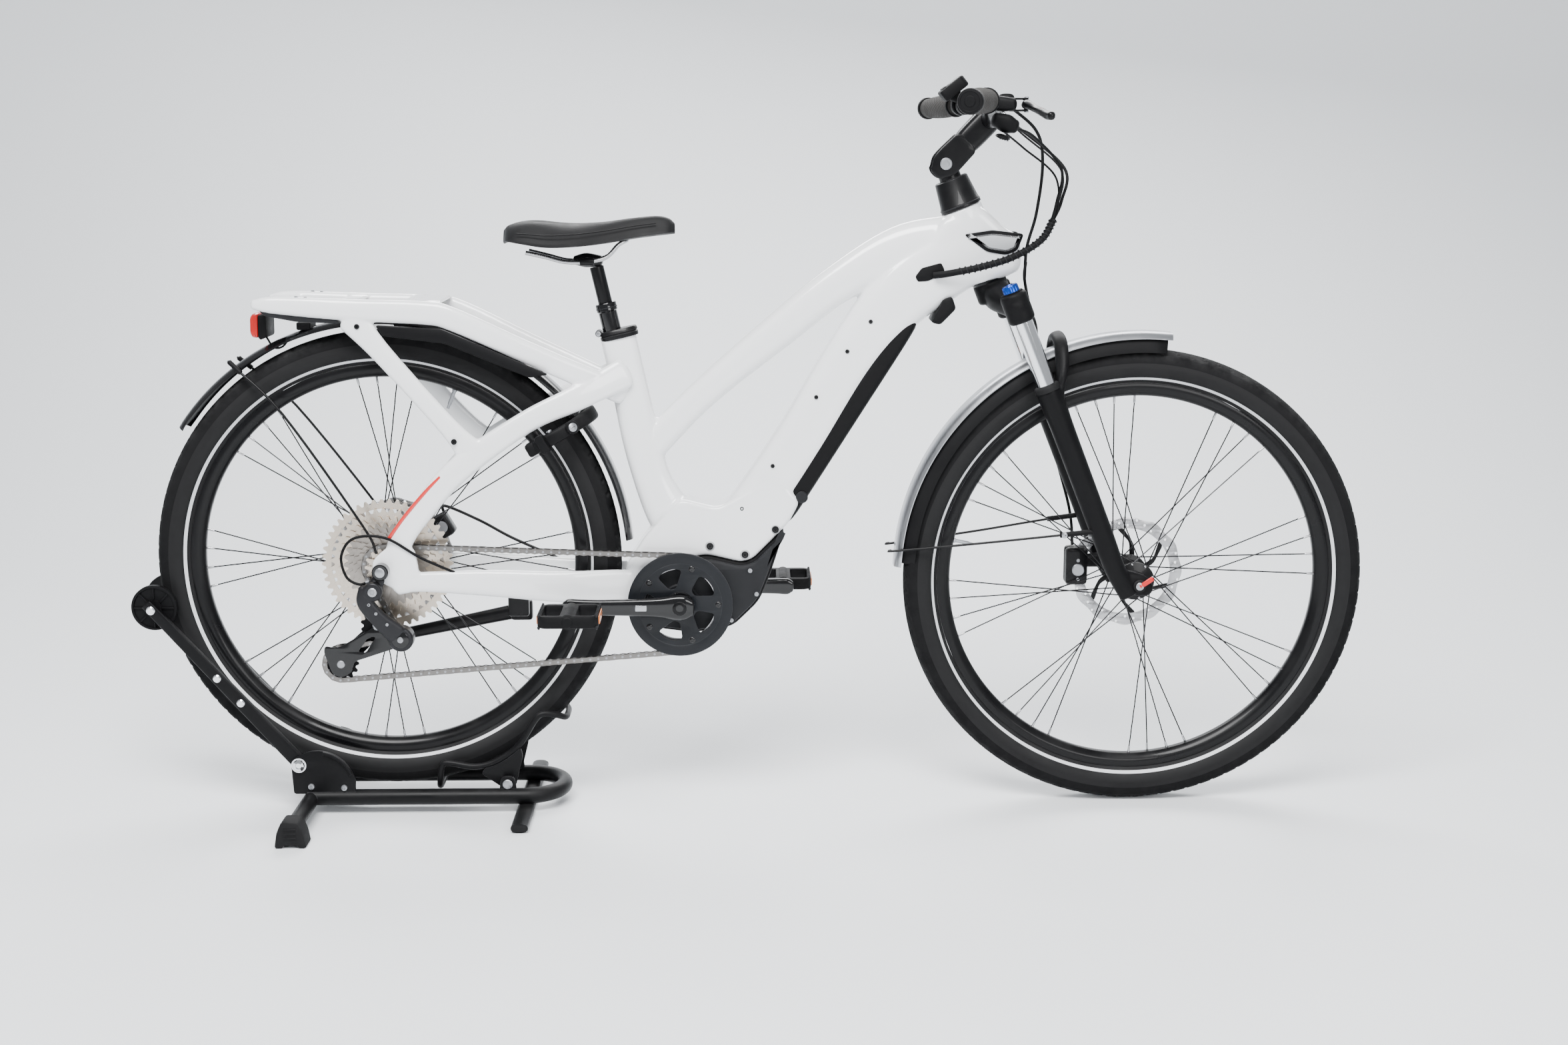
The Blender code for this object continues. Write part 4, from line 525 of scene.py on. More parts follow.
def finish(name, color, rough, metal=0.0, grain=(900.0, 0.08), dust=0.12, wear=0.0, coat=0.0,
           worn=(0.5, 0.5, 0.52), clear=0.0, clouds=14.0, shine=0.5):
    """A Principled finish: base colour lightened by dust, rougher where handled, brighter on worn
    edges, with a fine bump."""
    made = bpy.data.materials.new(name)
    made.use_nodes = True
    tree = made.node_tree
    shader = tree.nodes["Principled BSDF"]
    dusty = use(tree, CLOUDS, Scale=clouds)
    pale = [c * 0.55 + 0.45 * 0.42 for c in color]
    mix = node(tree, "Mix", data_type="RGBA")
    mix.inputs["A"].default_value, mix.inputs["B"].default_value = (*color, 1), (*pale, 1)
    amount = node(tree, "Math", {0: dusty.outputs["Top"]}, operation="MULTIPLY")
    amount.inputs[1].default_value = dust
    tree.links.new(amount.outputs["Value"], mix.inputs["Factor"])
    tinted = mix.outputs["Result"]
    if wear:
        rubbed = use(tree, EDGES)
        share = node(tree, "Math", {0: rubbed.outputs["Mask"], 1: dusty.outputs["Mask"]},
                     operation="MULTIPLY")
        part = node(tree, "Math", {0: share.outputs["Value"]}, operation="MULTIPLY")
        part.inputs[1].default_value = wear
        bare = node(tree, "Mix", {"Factor": part.outputs["Value"], "A": tinted}, data_type="RGBA")
        bare.inputs["B"].default_value = (*worn, 1)
        tinted = bare.outputs["Result"]
    tree.links.new(tinted, shader.inputs["Base Color"])
    dull = node(tree, "MapRange", {"Value": dusty.outputs["Mask"]})
    dull.inputs["To Min"].default_value = rough * 0.85
    dull.inputs["To Max"].default_value = min(rough * 1.25 + 0.02, 1)
    tree.links.new(dull.outputs["Result"], shader.inputs["Roughness"])
    peel = use(tree, GRAIN, Scale=grain[0], Depth=grain[1])
    tree.links.new(peel.outputs["Normal"], shader.inputs["Normal"])
    shader.inputs["Metallic"].default_value = metal
    shader.inputs["Coat Weight"].default_value = coat
    shader.inputs["Coat Roughness"].default_value = 0.05
    shader.inputs["Specular IOR Level"].default_value = shine
    if clear:
        shader.inputs["Transmission Weight"].default_value = clear
        shader.inputs["IOR"].default_value = 1.45
    return made


WHITE = finish("pearl_white_lacquer", (0.86, 0.87, 0.88), 0.2, grain=(500.0, 0.02), coat=0.8, dust=0.1)
BLACK = finish("satin_black_paint", (0.003, 0.003, 0.0035), 0.32, grain=(1200.0, 0.05), coat=0.1, wear=0.1,
               dust=0.06, shine=0.15)
GLOSS = finish("gloss_black_paint", (0.003, 0.003, 0.0035), 0.14, grain=(600.0, 0.02), coat=0.5, dust=0.04,
               shine=0.2)
POWDER = finish("stand_powder_coat", (0.003, 0.003, 0.0035), 0.36, grain=(1500.0, 0.3), dust=0.06, wear=0.1,
                shine=0.15)
PLASTIC = finish("matte_black_plastic", (0.0035, 0.0035, 0.004), 0.55, grain=(2200.0, 0.25), dust=0.06,
                 shine=0.12)
GREYPLASTIC = finish("dark_grey_plastic", (0.01, 0.0105, 0.012), 0.5, grain=(2000.0, 0.2), dust=0.08,
                     shine=0.2)
MATTE = finish("matte_fork_paint", (0.003, 0.003, 0.0035), 0.48, grain=(1800.0, 0.1), dust=0.05, wear=0.08,
               shine=0.12)
TYRE = finish("tyre_tread_rubber", (0.006, 0.006, 0.0065), 0.8, grain=(1400.0, 0.35), dust=0.18, clouds=40.0,
              shine=0.1)
# sidewall rubber a little lighter than the tread: partly its own tone, partly painted sheen
SIDEWALL_AND_SHEEN = finish("tyre_sidewall_rubber", (0.009, 0.009, 0.0095), 0.62, grain=(2500.0, 0.25), dust=0.12,
              shine=0.15)
STRIPE = finish("reflective_white_stripe", (0.72, 0.73, 0.75), 0.4, grain=(3500.0, 0.35), dust=0.15)
GRIP = finish("grey_grip_rubber", (0.045, 0.043, 0.041), 0.78, grain=(1600.0, 0.35), dust=0.12, shine=0.2)
DARKRUB = finish("black_soft_rubber", (0.008, 0.008, 0.0085), 0.7, grain=(2000.0, 0.3), dust=0.12, shine=0.15)
CHROME = finish("chrome_plate", (0.82, 0.83, 0.85), 0.07, 1.0, grain=(400.0, 0.01), dust=0.02)
STEEL = finish("bright_steel", (0.46, 0.46, 0.47), 0.26, 1.0, grain=(1500.0, 0.1), dust=0.05)
ZINC = finish("zinc_plate", (0.36, 0.37, 0.39), 0.36, 0.9, grain=(1800.0, 0.1), dust=0.1)
LINKSTEEL = finish("chain_steel", (0.21, 0.2, 0.19), 0.34, 1.0, grain=(1500.0, 0.1), dust=0.05)
SPOKE = finish("black_spoke_steel", (0.012, 0.012, 0.013), 0.3, 0.8, grain=(1500.0, 0.05), dust=0.05)
CHAMPAGNE = finish("champagne_nickel", (0.66, 0.58, 0.49), 0.28, 1.0, grain=(1600.0, 0.1), dust=0.05)
# grey nickel for the middle cogs and the spiders: partly their own tone, partly painted shade between the
# stacked cogs
SHADED_GREY_COG = finish("grey_nickel", (0.36, 0.33, 0.3), 0.36, 0.9, grain=(1600.0, 0.1), dust=0.05)
GUNMETAL = finish("gunmetal_alloy", (0.018, 0.018, 0.02), 0.34, 0.5, grain=(1500.0, 0.15), wear=0.15,
                  dust=0.06, shine=0.3)
SLATE = finish("slate_grey_guard", (0.006, 0.007, 0.009), 0.4, grain=(1500.0, 0.15), wear=0.08, dust=0.06,
               shine=0.25)
ALUMINIUM = finish("brushed_aluminium", (0.42, 0.43, 0.45), 0.3, 0.95, grain=(1300.0, 0.12), dust=0.06)
SADDLESKIN = finish("saddle_cover", (0.006, 0.006, 0.0065), 0.58, grain=(1500.0, 0.5), dust=0.06, shine=0.2)
RED = finish("red_lens_plastic", (0.55, 0.012, 0.01), 0.16, grain=(900.0, 0.05), coat=0.4, clear=0.25)
REDMETAL = finish("red_anodised", (0.62, 0.02, 0.02), 0.3, 0.5)
BLUE = finish("blue_anodised", (0.01, 0.07, 0.46), 0.26, 0.85, wear=0.1)
AMBER = finish("amber_reflector", (0.85, 0.22, 0.02), 0.2, grain=(900.0, 0.5), coat=0.4)
CLEAR = finish("clear_plastic", (0.92, 0.93, 0.94), 0.08, clear=0.9, dust=0.05)
PALE = finish("pale_grey_plastic", (0.42, 0.43, 0.44), 0.4)
RED_EDGE = finish("red_edge_paint", (0.6, 0.015, 0.012), 0.25, coat=0.6, dust=0.05)
print("finishes:", len(bpy.data.materials))

# %% [markdown]
# The tyre's section is turned round the axle, and grooves are pressed into it by a pattern of
# two numbers: how far round and how far across. Real treads are moulded the same way, so a
# height pattern on a grid suits them better than thousands of glued blocks.

# %% Tyres


def tread_depth(round_by, across):
    """Depth pressed in at angle round_by (turns of the pattern) and position across (-1 to 1):
    slanted shoulder sipes, a zigzag centre and two thin lines that run round."""
    wave = np.abs(((round_by + 0.22 * np.abs(across)) % 1.0) - 0.5) * 2
    shoulder = (np.abs(across) > 0.34) & (np.abs(across) < 0.8) & (wave > 0.76)
    dash = np.abs(((2 * round_by + 0.3 * np.sign(across)) % 1.0) - 0.5) * 2
    centre = (np.abs(across) > 0.1) & (np.abs(across) < 0.24) & (dash > 0.55)
    line = (np.abs(np.abs(across) - 0.3) < 0.03) & (wave > 0.2)
    return np.where(shoulder, 0.0013, 0.0) + np.where(centre, 0.0011, 0.0) + np.where(line, 0.0008, 0.0)


def tyre(name, centre, body, node_name):
    """Section by angle s from bead to bead: radius rises as a circle's sine, half width as its
    cosine, squared off a little; the tread's depth is taken off along the radius."""
    half, foot = 0.0272, RIM_TOP + 0.0004
    rows = 1224
    side = np.array([(foot, 0.0132), (foot + 0.005, 0.0168), (RIM_TOP + 0.012, 0.024),
                     (RIM_TOP + 0.022, half), (RIM_TOP + 0.032, 0.0262)])
    side = through(side, 3)
    a = np.linspace(np.radians(32), np.radians(90), 17)[1:]
    crown = np.stack([TYRE_TOP - 0.0225 + 0.0225 * np.sin(a), 0.0262 * np.cos(a) / np.cos(np.radians(32))],
                     axis=1)
    profile = np.concatenate([side, crown])
    profile = np.concatenate([profile, (profile * [1, -1])[-2::-1]])
    angle = np.linspace(0, 2 * np.pi, rows, endpoint=False)[:, None]
    radius, y = profile[None, :, 0], profile[None, :, 1]
    across = np.where(radius > RIM_TOP + 0.03, y / 0.0262, 2.0)
    r = radius - tread_depth(angle / (2 * np.pi) * 102, across)
    points = centre + np.stack([r * np.cos(angle), y + 0 * angle, r * np.sin(angle)], axis=-1)
    shape = Shape()
    middle = (profile[:-1, 0] + profile[1:, 0]) / 2
    # the sidewalls take the lighter rubber, which also stands for painted sheen; the thin band near the rim is
    # the reflective stripe
    kind = np.where(middle > RIM_TOP + 0.031, 0,
                    np.where((middle > RIM_TOP + 0.0055) & (middle < RIM_TOP + 0.01), 2, 1))
    strips = quads(rows, len(profile), True, False)
    columns = np.tile(np.arange(len(profile) - 1), rows)
    shape.add((points.reshape(-1, 3), [strips]), kind[columns])
    inner = turned([(foot, 0.0132), (RIM_TOP + 0.001, 0.0), (foot, -0.0132)], centre, SIDE, rows)
    shape.add(inner, 1)
    return piece(name, shape, body, [TYRE, SIDEWALL_AND_SHEEN, STRIPE], node_name, crease=50)


tyre("rear_tyre_tread", REAR, "rear_wheel", "rear_tyre")
tyre("front_tyre_tread", FRONT, "front_wheel", "front_tyre")

# %% [markdown]
# A wheel hangs on its spokes. These leave the rim in bunches of four and cross at the hub, two to each flange.
# Every spoke is one straight rod with a bent elbow at the hub and a nipple at the rim, so one function makes all
# sixty-four from four numbers.

# %% Rims, spokes and hubs


def rim(name, centre, turn, body, node_name):
    """The rim's hollow section turned round the axle, with its valve stem and reflector-free well."""
    h = 0.0145
    section = [(RIM_TOP - 0.0006, h - 0.0022), (RIM_TOP, h - 0.0008), (RIM_TOP - 0.0012, h),
               (RIM_TOP - 0.009, h), (RIM_TOP - 0.0135, h - 0.0012), (RIM_FOOT + 0.002, 0.0072),
               (RIM_FOOT, 0.0045), (RIM_FOOT, -0.0045), (RIM_FOOT + 0.002, -0.0072),
               (RIM_TOP - 0.0135, -h + 0.0012), (RIM_TOP - 0.009, -h), (RIM_TOP - 0.0012, -h),
               (RIM_TOP, -h + 0.0008), (RIM_TOP - 0.0006, -h + 0.0022)]
    shape = Shape().add(turned(section, centre, SIDE, 240, loop=True), 0)
    spot, inward = polar(centre, RIM_FOOT, turn), -(polar(centre, 1, turn) - centre)
    shape.add(plug([(0.0031, -0.002), (0.0031, 0.024), (0.0023, 0.026), (0.0023, 0.032)], spot, inward, 20),
              1)
    shape.add(plug([(0.004, 0.0), (0.004, 0.0028), (0.0032, 0.0034)], spot, inward, 20), 1)
    return piece(name, shape, body, [BLACK, ZINC], node_name)


def spoke_ends(centre, right, left, turn):
    """Arrays of hub points and rim points for all the spokes, by group, place in group and lean."""
    group_angle = turn + 45 * np.arange(8)[:, None]
    place = np.arange(4)[None, :]
    angle = group_angle + (place - 1.5) * 6.2
    lean = np.where(place < 2, 1, -1)
    y = np.where(place % 2 == 0, right, left) + 0 * angle
    y = y + np.sign(y) * 0.0014 * lean
    hub, rim_angle = np.radians(angle + lean * 58.0), np.radians(angle)
    start = centre + np.stack([0.0275 * np.cos(hub), y, 0.0275 * np.sin(hub)], axis=-1)
    end = centre + np.stack([RIM_FOOT * np.cos(rim_angle), y * 0.08, RIM_FOOT * np.sin(rim_angle)], axis=-1)
    return start.reshape(-1, 3), end.reshape(-1, 3), y.ravel()


def spokes(name, centre, right, left, ends, turn, body, node_name):
    """Straight rods from flange to rim, each with a head and a nipple, round a turned hub."""
    shape = Shape()
    web = 0.0017
    hub = [(0.0068, ends[1]), (0.015, ends[1]), (0.0165, ends[1] - 0.001), (0.0165, left + 0.006),
           (0.0215, left + 0.004), (0.03, left + web), (0.0305, left), (0.03, left - web),
           (0.0225, left - 0.004), (0.0172, left - 0.012), (0.016, (left + right) / 2),
           (0.0172, right + 0.012), (0.0225, right + 0.004), (0.03, right + web), (0.0305, right),
           (0.03, right - web), (0.0215, right - 0.004), (0.0165, right - 0.006), (0.0165, ends[0] + 0.001),
           (0.015, ends[0]), (0.0068, ends[0])]
    shape.add(turned(hub, centre, SIDE, 64, loop=True), 1)
    for start, end, y in zip(*spoke_ends(centre, right, left, turn)):
        along = (end - start) / np.linalg.norm(end - start)
        head = start - SIDE * np.sign(y) * 0.0028
        shape.add(tube(np.array([head, start, start + along * 0.004, end]), 0.001, 7), 2)
        shape.add(plug([(0.0016, 0.0), (0.0019, 0.001), (0.0019, 0.01), (0.0014, 0.0125)],
                       end + along * 0.001, -along, 10), 0)
        shape.add(plug([(0.0019, 0.0), (0.0019, 0.0009), (0.001, 0.0014)], start + SIDE * np.sign(y) * 0.0012,
                       SIDE * np.sign(y), 10), 0)
    return piece(name, shape, body, [STEEL, BLACK, SPOKE], node_name)


rim("rear_rim_hoop", REAR, 68, "rear_wheel", "rear_rim")
rim("front_rim_hoop", FRONT, 168, "front_wheel", "front_rim")
spokes("rear_hub_and_spokes", REAR, -0.0215, 0.034, (-0.03, 0.0725), -0.8, "rear_wheel", "rear_spokes")
spokes("front_hub_and_spokes", FRONT, -0.034, 0.03, (-0.053, 0.053), 10.0, "front_wheel", "front_spokes")

# %% [markdown]
# A brake rotor is stamped from sheet: a ring with a wavy rim and rows of holes, on a spider. The
# outline is a circle plus a small cosine; the holes are loops taken out of the flat faces.

# %% Brake rotors


def rotor(name, centre, y, body, node_name):
    """Rim radius = 0.0883 + 0.0016 cos(12 a); thirty-six round holes in three rows; a black six-armed carrier.
    """
    shape = Shape()
    a = np.linspace(0, 2 * np.pi, 216, endpoint=False)
    wavy = 0.0883 + 0.0016 * np.cos(12 * a)
    rim_line = np.stack([centre[0] + wavy * np.cos(a), centre[2] + wavy * np.sin(a)], axis=1)
    inner = disc_outline(centre, 0.0705, 96)
    holes = []
    for i in range(36):
        spot = polar(centre, 0.0755 + 0.0045 * (i % 3), 10 * i)
        holes.append(disc_outline(spot, 0.0021, 10))
    shape.add(slab(rim_line, y - 0.0009, y + 0.0009, 0.0002, [inner, *holes]), 0)
    hub = disc_outline(centre, 0.0245, 48)
    shape.add(slab(hub, y - 0.0009, y + 0.0009, 0.0003, [disc_outline(centre, 0.0171, 40)]), 1)
    for i in range(6):
        arm = [polar(centre, r, 60 * i + t)[[0, 2]] for r, t in ((0.0715, 36), (0.0715, 44), (0.048, 26),
                (0.023, 20), (0.023, -4), (0.046, 16))]
        shape.add(slab(softened(arm, 0.006, 3), y - 0.00085, y + 0.00085, 0.0002), 1)
        shape.add(fastener(polar(centre, 0.0205, 60 * i + 8, y + 0.0008), SIDE, 0.003, 0.0016, 16), 2)
    return piece(name, shape, body, [STEEL, BLACK, ZINC], node_name)


rotor("rear_brake_rotor", REAR, 0.0585, "rear_wheel", "rear_rotor")
rotor("front_brake_rotor", FRONT, 0.0425, "front_wheel", "front_rotor")

# %% [markdown]
# The main frame is cast and welded from big tapered tubes with a soft fillet at each join. Each
# tube is a rounded-rectangle section carried through a few stations; the whole set is then
# welded into one skin. A boolean union would leave hard creases where the real frame is blended.

# %% The white main frame


def near_bb(x, z, y=0.0):
    return BB + xyz(x, y, z)


def near_head(x, z, y=0.0):
    return HEAD + xyz(x, y, z)


def rows(*stations):
    return [(*point, tall, wide) for point, tall, wide in stations]


SEAT_TUBE = rows((near_bb(-0.0945, 0.419), 0.056, 0.036), (near_bb(-0.0785, 0.343), 0.057, 0.038),
                 (near_bb(-0.061, 0.257), 0.06, 0.04), (near_bb(-0.043, 0.189), 0.06, 0.044),
                 (near_bb(-0.02, 0.14), 0.072, 0.05), (near_bb(-0.002, 0.112), 0.07, 0.056))
TOP_TUBE = rows((near_bb(-0.055, 0.231), 0.048, 0.032), (near_bb(0.0385, 0.3267), 0.0475, 0.036),
                (near_bb(0.1605, 0.4277), 0.0565, 0.042), (near_head(-0.2327, -0.005), 0.061, 0.046),
                (near_head(-0.138, 0.045), 0.078, 0.052), (near_head(-0.058, 0.058), 0.086, 0.056))
DOWN_NORMAL = xyz(0.84, 0.0, -0.543)
DOWN_TUBE = rows((near_bb(0.085, 0.105), 0.08, 0.062), (near_bb(0.136, 0.171), 0.0835, 0.068),
                 (near_bb(0.1952, 0.2608), 0.083, 0.068), (near_head(-0.2147, -0.12), 0.083, 0.068),
                 (near_head(-0.139, -0.028), 0.1, 0.068), (near_head(-0.072, 0.022), 0.106, 0.066),
                 (near_head(-0.01, 0.055), 0.096, 0.062))
HEAD_LINE = [(-0.075, 0.096), (-0.015, 0.115), (0.022, 0.0805), (0.045, 0.069), (0.0485, 0.028),
             (0.045, 0.014), (0.02, 0.0035), (-0.0215, -0.006), (-0.06, -0.017), (-0.095, -0.01),
             (-0.1, 0.05)]
BAY_FOOT = [(-0.06, 0.006), (-0.03, 0.058), (0.04, 0.075), (0.096, 0.062), (0.114, 0.067), (0.171, 0.124)]
BAY_LINE = BAY_FOOT + [(0.19, 0.16), (0.15, 0.2), (0.06, 0.15), (0.0, 0.165), (-0.055, 0.105),
                       (-0.088, 0.055), (-0.088, 0.0)]


def outline_at(origin, pairs, radius=0.012):
    return softened(np.asarray(pairs) + origin[[0, 2]], radius, 5)


def white_frame():
    surfaces = [bar_through(SEAT_TUBE, power=2.5, ends=0.05), bar_through(TOP_TUBE, power=2.5, ends=0.1),
                bar_through(DOWN_TUBE, power=3.4, ends=0.1, sides=56),
                slab(outline_at(HEAD, HEAD_LINE), -0.031, 0.031, 0.011),
                slab(outline_at(BB, BAY_LINE), -0.0352, 0.0352, 0.006),
                rod(steer(0.0015), steer(0.119), 0.0315, 48, 0.001)]
    return welded("white_frame", surfaces, 0.0026, 7)


piece("frame_lacquered", white_frame(), "bike_frame", [WHITE], "main_frame", crease=60)

# %% [markdown]
# The battery sits inside the down tube behind a black cover. Round it are the small fixings that
# make the frame believable: bolts along the bay, a key plug, the lamp let into the head, the
# cable port, and a rubber stop under the head tube.

# %% Battery cover, head lamp and fixings


def battery_cover():
    """A shallow tray along the tube's lower face: its border follows the tube, its middle is full."""
    start, end = at(0.631, 0.4625), at(0.833, 0.78)
    along = (end - start) / np.linalg.norm(end - start)
    lift = np.array([[0.0, 0.03, 0.05], [0.03, 0.034, 0.058], [0.12, 0.036, 0.06], [0.5, 0.036, 0.06],
                     [0.88, 0.036, 0.06], [0.97, 0.032, 0.056], [1.0, 0.024, 0.046]])
    stations = [(*(start + (end - start) * t - DOWN_NORMAL * 0.013), tall, wide) for t, tall, wide in lift]
    cover = Shape().add(bar_through(stations, power=4.2, ends=0.12, sides=56), 0)
    for t in (0.035, 0.955):
        cover.add(fastener(start + (end - start) * t + DOWN_NORMAL * 0.0035, DOWN_NORMAL, 0.0042, 0.002), 1)
    key_place = start + along * 0.045 + DOWN_NORMAL * -0.004
    cover.add(plug([(0.0095, -0.004), (0.0095, 0.0015), (0.0085, 0.0025)], key_place - SIDE * 0.0305, -SIDE, 28),
              2)
    return piece("battery_cover", cover, "bike_frame", [PLASTIC, ZINC, GREYPLASTIC], "battery")


def head_fittings():
    shape = Shape()
    lamp = softened([(0.9, 0.911), (0.944, 0.9175), (0.993, 0.912), (0.983, 0.886), (0.966, 0.8795),
                     (0.936, 0.8845)], 0.006, 4)
    lamp[:, 0] += REAR[0]
    glass = inset(lamp, 0.005)
    port = softened([(0.826, 0.847), (0.836, 0.86), (0.866, 0.868), (0.872, 0.856), (0.862, 0.847),
                     (0.846, 0.84), (0.83, 0.839)], 0.003, 3)
    port[:, 0] += REAR[0]
    stop = softened([(0.8515, 0.776), (0.866, 0.772), (0.8905, 0.797), (0.884, 0.816), (0.87, 0.812)], 0.005,
                    3)
    stop[:, 0] += REAR[0]
    for s in (-1, 1):
        near, far = span(s, 0.0285, 0.0332)
        shape.add(slab(lamp, near, far, 0.0008), 0)
        near, far = span(s, 0.03, 0.0338)
        shape.add(slab(glass, near, far, 0.0004), 1)
        shape.add(slab(inset(lamp, 0.0075), *span(s, 0.0318, 0.0341), 0.0003), 2)
        near, far = span(s, 0.029, 0.035)
        shape.add(slab(port, near, far, 0.0012), 0)
    shape.add(slab(stop, -0.0335, 0.0335, 0.004), 0)
    return piece("head_lamp_and_port", shape, "bike_frame", [PLASTIC, CLEAR, PALE], crease=35)


def frame_bolts():
    shape = Shape()
    spots = [(0.507, 0.426, 0.0352), (0.562, 0.412, 0.0352), (0.4745, 0.362, 0.0352), (0.61, 0.452, 0.034)]
    for x, z, y in spots:
        for s in (-1, 1):
            shape.add(plug([(0.0078, -0.003), (0.0078, 0.0006), (0.0068, 0.0014)], at(x, z, s * y), SIDE * s,
                           32), 0)
            shape.add(fastener(at(x, z, s * (y + 0.0014)), SIDE * s, 0.0056, 0.0022), 1)
    inner = np.array([(0.5515, 0.4845), (0.6, 0.552), (0.668, 0.66), (0.716, 0.731), (0.752, 0.777)])
    for x, z in inner:
        shape.add(fastener(at(x + 0.006, z + 0.001, -0.0335) - SIDE * 0.0008, -SIDE, 0.0034, 0.0016, 18), 1)
    return piece("frame_bolts", shape, "bike_frame", [PALE, BLACK])


battery_cover()
head_fittings()
frame_bolts()

# %% [markdown]
# The rear end is two matching sets of stays with a rack rail on top. The tubes are flattened
# sections that swell where they meet, so they are welded in the same way as the main frame.

# %% Stays, rack and their plates

STAYS = {"chainstay": rows((at(0.024, 0.378, 0.08), 0.036, 0.01), (at(0.06, 0.38, 0.078), 0.032, 0.014),
                           (at(0.16, 0.3755, 0.067), 0.042, 0.018), (near_bb(-0.189, 0.029, 0.054), 0.05,
        0.018), (near_bb(-0.115, 0.027, 0.0405), 0.052, 0.013), (near_bb(-0.08, 0.027, 0.034), 0.05, 0.013)),
         "seat_stay": rows((at(0.03, 0.37, 0.08), 0.03, 0.01), (at(0.027, 0.437, 0.079), 0.038, 0.013),
                           (at(0.066, 0.494, 0.076), 0.036, 0.016), (at(0.122, 0.556, 0.071), 0.04, 0.018),
                           (at(0.224, 0.626, 0.058), 0.035, 0.018), (near_bb(-0.16, 0.324, 0.0445), 0.04,
        0.017), (near_bb(-0.086, 0.36, 0.022), 0.048, 0.016)), "rack_strut": rows((at(0.142, 0.581, 0.069),
        0.046, 0.015), (at(0.105, 0.624, 0.067), 0.031, 0.015), (at(0.01, 0.733, 0.063), 0.032, 0.015),
        (at(-0.034, 0.786, 0.062), 0.046, 0.015)), "rack_rail": rows((at(-0.184, 0.809, 0.058), 0.016, 0.016),
        (at(-0.15, 0.808, 0.06), 0.027, 0.018), (at(-0.03, 0.8005, 0.062), 0.034, 0.02),
        (at(0.075, 0.796, 0.062), 0.036, 0.02), (at(0.118, 0.786, 0.06), 0.036, 0.02),
        (near_bb(-0.24, 0.401, 0.05), 0.035, 0.019), (near_bb(-0.145, 0.357, 0.036), 0.036, 0.017),
        (near_bb(-0.088, 0.331, 0.016), 0.04, 0.014)), }
DROPOUT = [(-0.016, 0.412), (-0.004, 0.426), (0.03, 0.45), (0.052, 0.43), (0.06, 0.37), (0.03, 0.362),
           (-0.012, 0.386)]


def other_side(stations):
    return [(x, -y, z, tall, wide) for x, y, z, tall, wide in stations]


def rear_end():
    surfaces = []
    for s in (1, -1):
        for stations in STAYS.values():
            surfaces.append(bar_through(stations if s > 0 else other_side(stations), power=2.7, ends=0.25,
                                        sides=36))
        near, far = span(s, 0.0748, 0.0845)
        plate_line = softened(np.array(DROPOUT) + [REAR[0], 0], 0.008, 4)
        surfaces.append(slab(plate_line, near, far, 0.0015, [disc_outline(REAR, 0.0068, 24)]))
    for x, length in ((-0.158, 0.04), (-0.045, 0.03), (0.07, 0.06)):
        surfaces.append(block(at(x, 0.8115), (length, 0.118, 0.0058), 0.0015, up=(0, 1, 0), corner=0.006))
    return welded("rear_end", surfaces, 0.0022, 4)


piece("stays_and_rack", rear_end(), "bike_frame", [WHITE], "rear_triangle", crease=60)


def rack_trim():
    """Black infill under the rail, the dark wedge under its tail, and the plugs on its top."""
    shape = Shape()
    infill = softened([(0.0, 0.7775), (0.1, 0.771), (0.262, 0.701), (0.233, 0.696), (0.105, 0.749),
                       (0.011, 0.761)], 0.005, 3) + [REAR[0], 0]
    wedge = softened([(-0.176, 0.801), (-0.06, 0.787), (-0.052, 0.78), (-0.12, 0.783), (-0.168, 0.792)],
                     0.004, 3) + [REAR[0], 0]
    for s in (-1, 1):
        near, far = span(s, 0.0555, 0.0655)
        shape.add(slab(infill, near, far, 0.0015), 0)
        near, far = span(s, 0.05, 0.064)
        shape.add(slab(wedge, near, far, 0.0015), 1)
        for x, z in ((-0.118, 0.8205), (-0.104, 0.8195), (0.058, 0.8135), (0.068, 0.813)):
            shape.add(plug([(0.0036, -0.003), (0.0036, 0.0005), (0.0028, 0.0012)], at(x, z, s * 0.0605),
                           (0, 0, 1), 18), 2)
        edge = [(*at(x, z, s * y), 0.006, 0.011) for x, z, y in ((0.0125, 0.45, 0.0805), (0.04, 0.487,
                0.0795), (0.07, 0.5215, 0.078), (0.093, 0.5445, 0.076))]
        shape.add(bar_through(edge, power=3, ends=0.6), 4)
        shape.add(fastener(at(0.1165, 0.5995, s * 0.0775), SIDE * s, 0.0046, 0.002), 3)
        shape.add(fastener(at(-0.0265, 0.776, s * 0.07), SIDE * s, 0.0042, 0.002), 3)
    shape.add(block(near_bb(-0.268, -0.014, 0.073), (0.034, 0.066, 0.016), 0.003), 3)
    return piece("rack_trim", shape, "bike_frame", [PLASTIC, GREYPLASTIC, ALUMINIUM, BLACK, RED_EDGE])


rack_trim()

# %% [markdown]
# A mudguard is a thin arched strip bent round the wheel. Its section is an arc in two heights: a flat crown and
# turned-down edges. Stays are bent wire.

# %% Rear mudguard and tail light


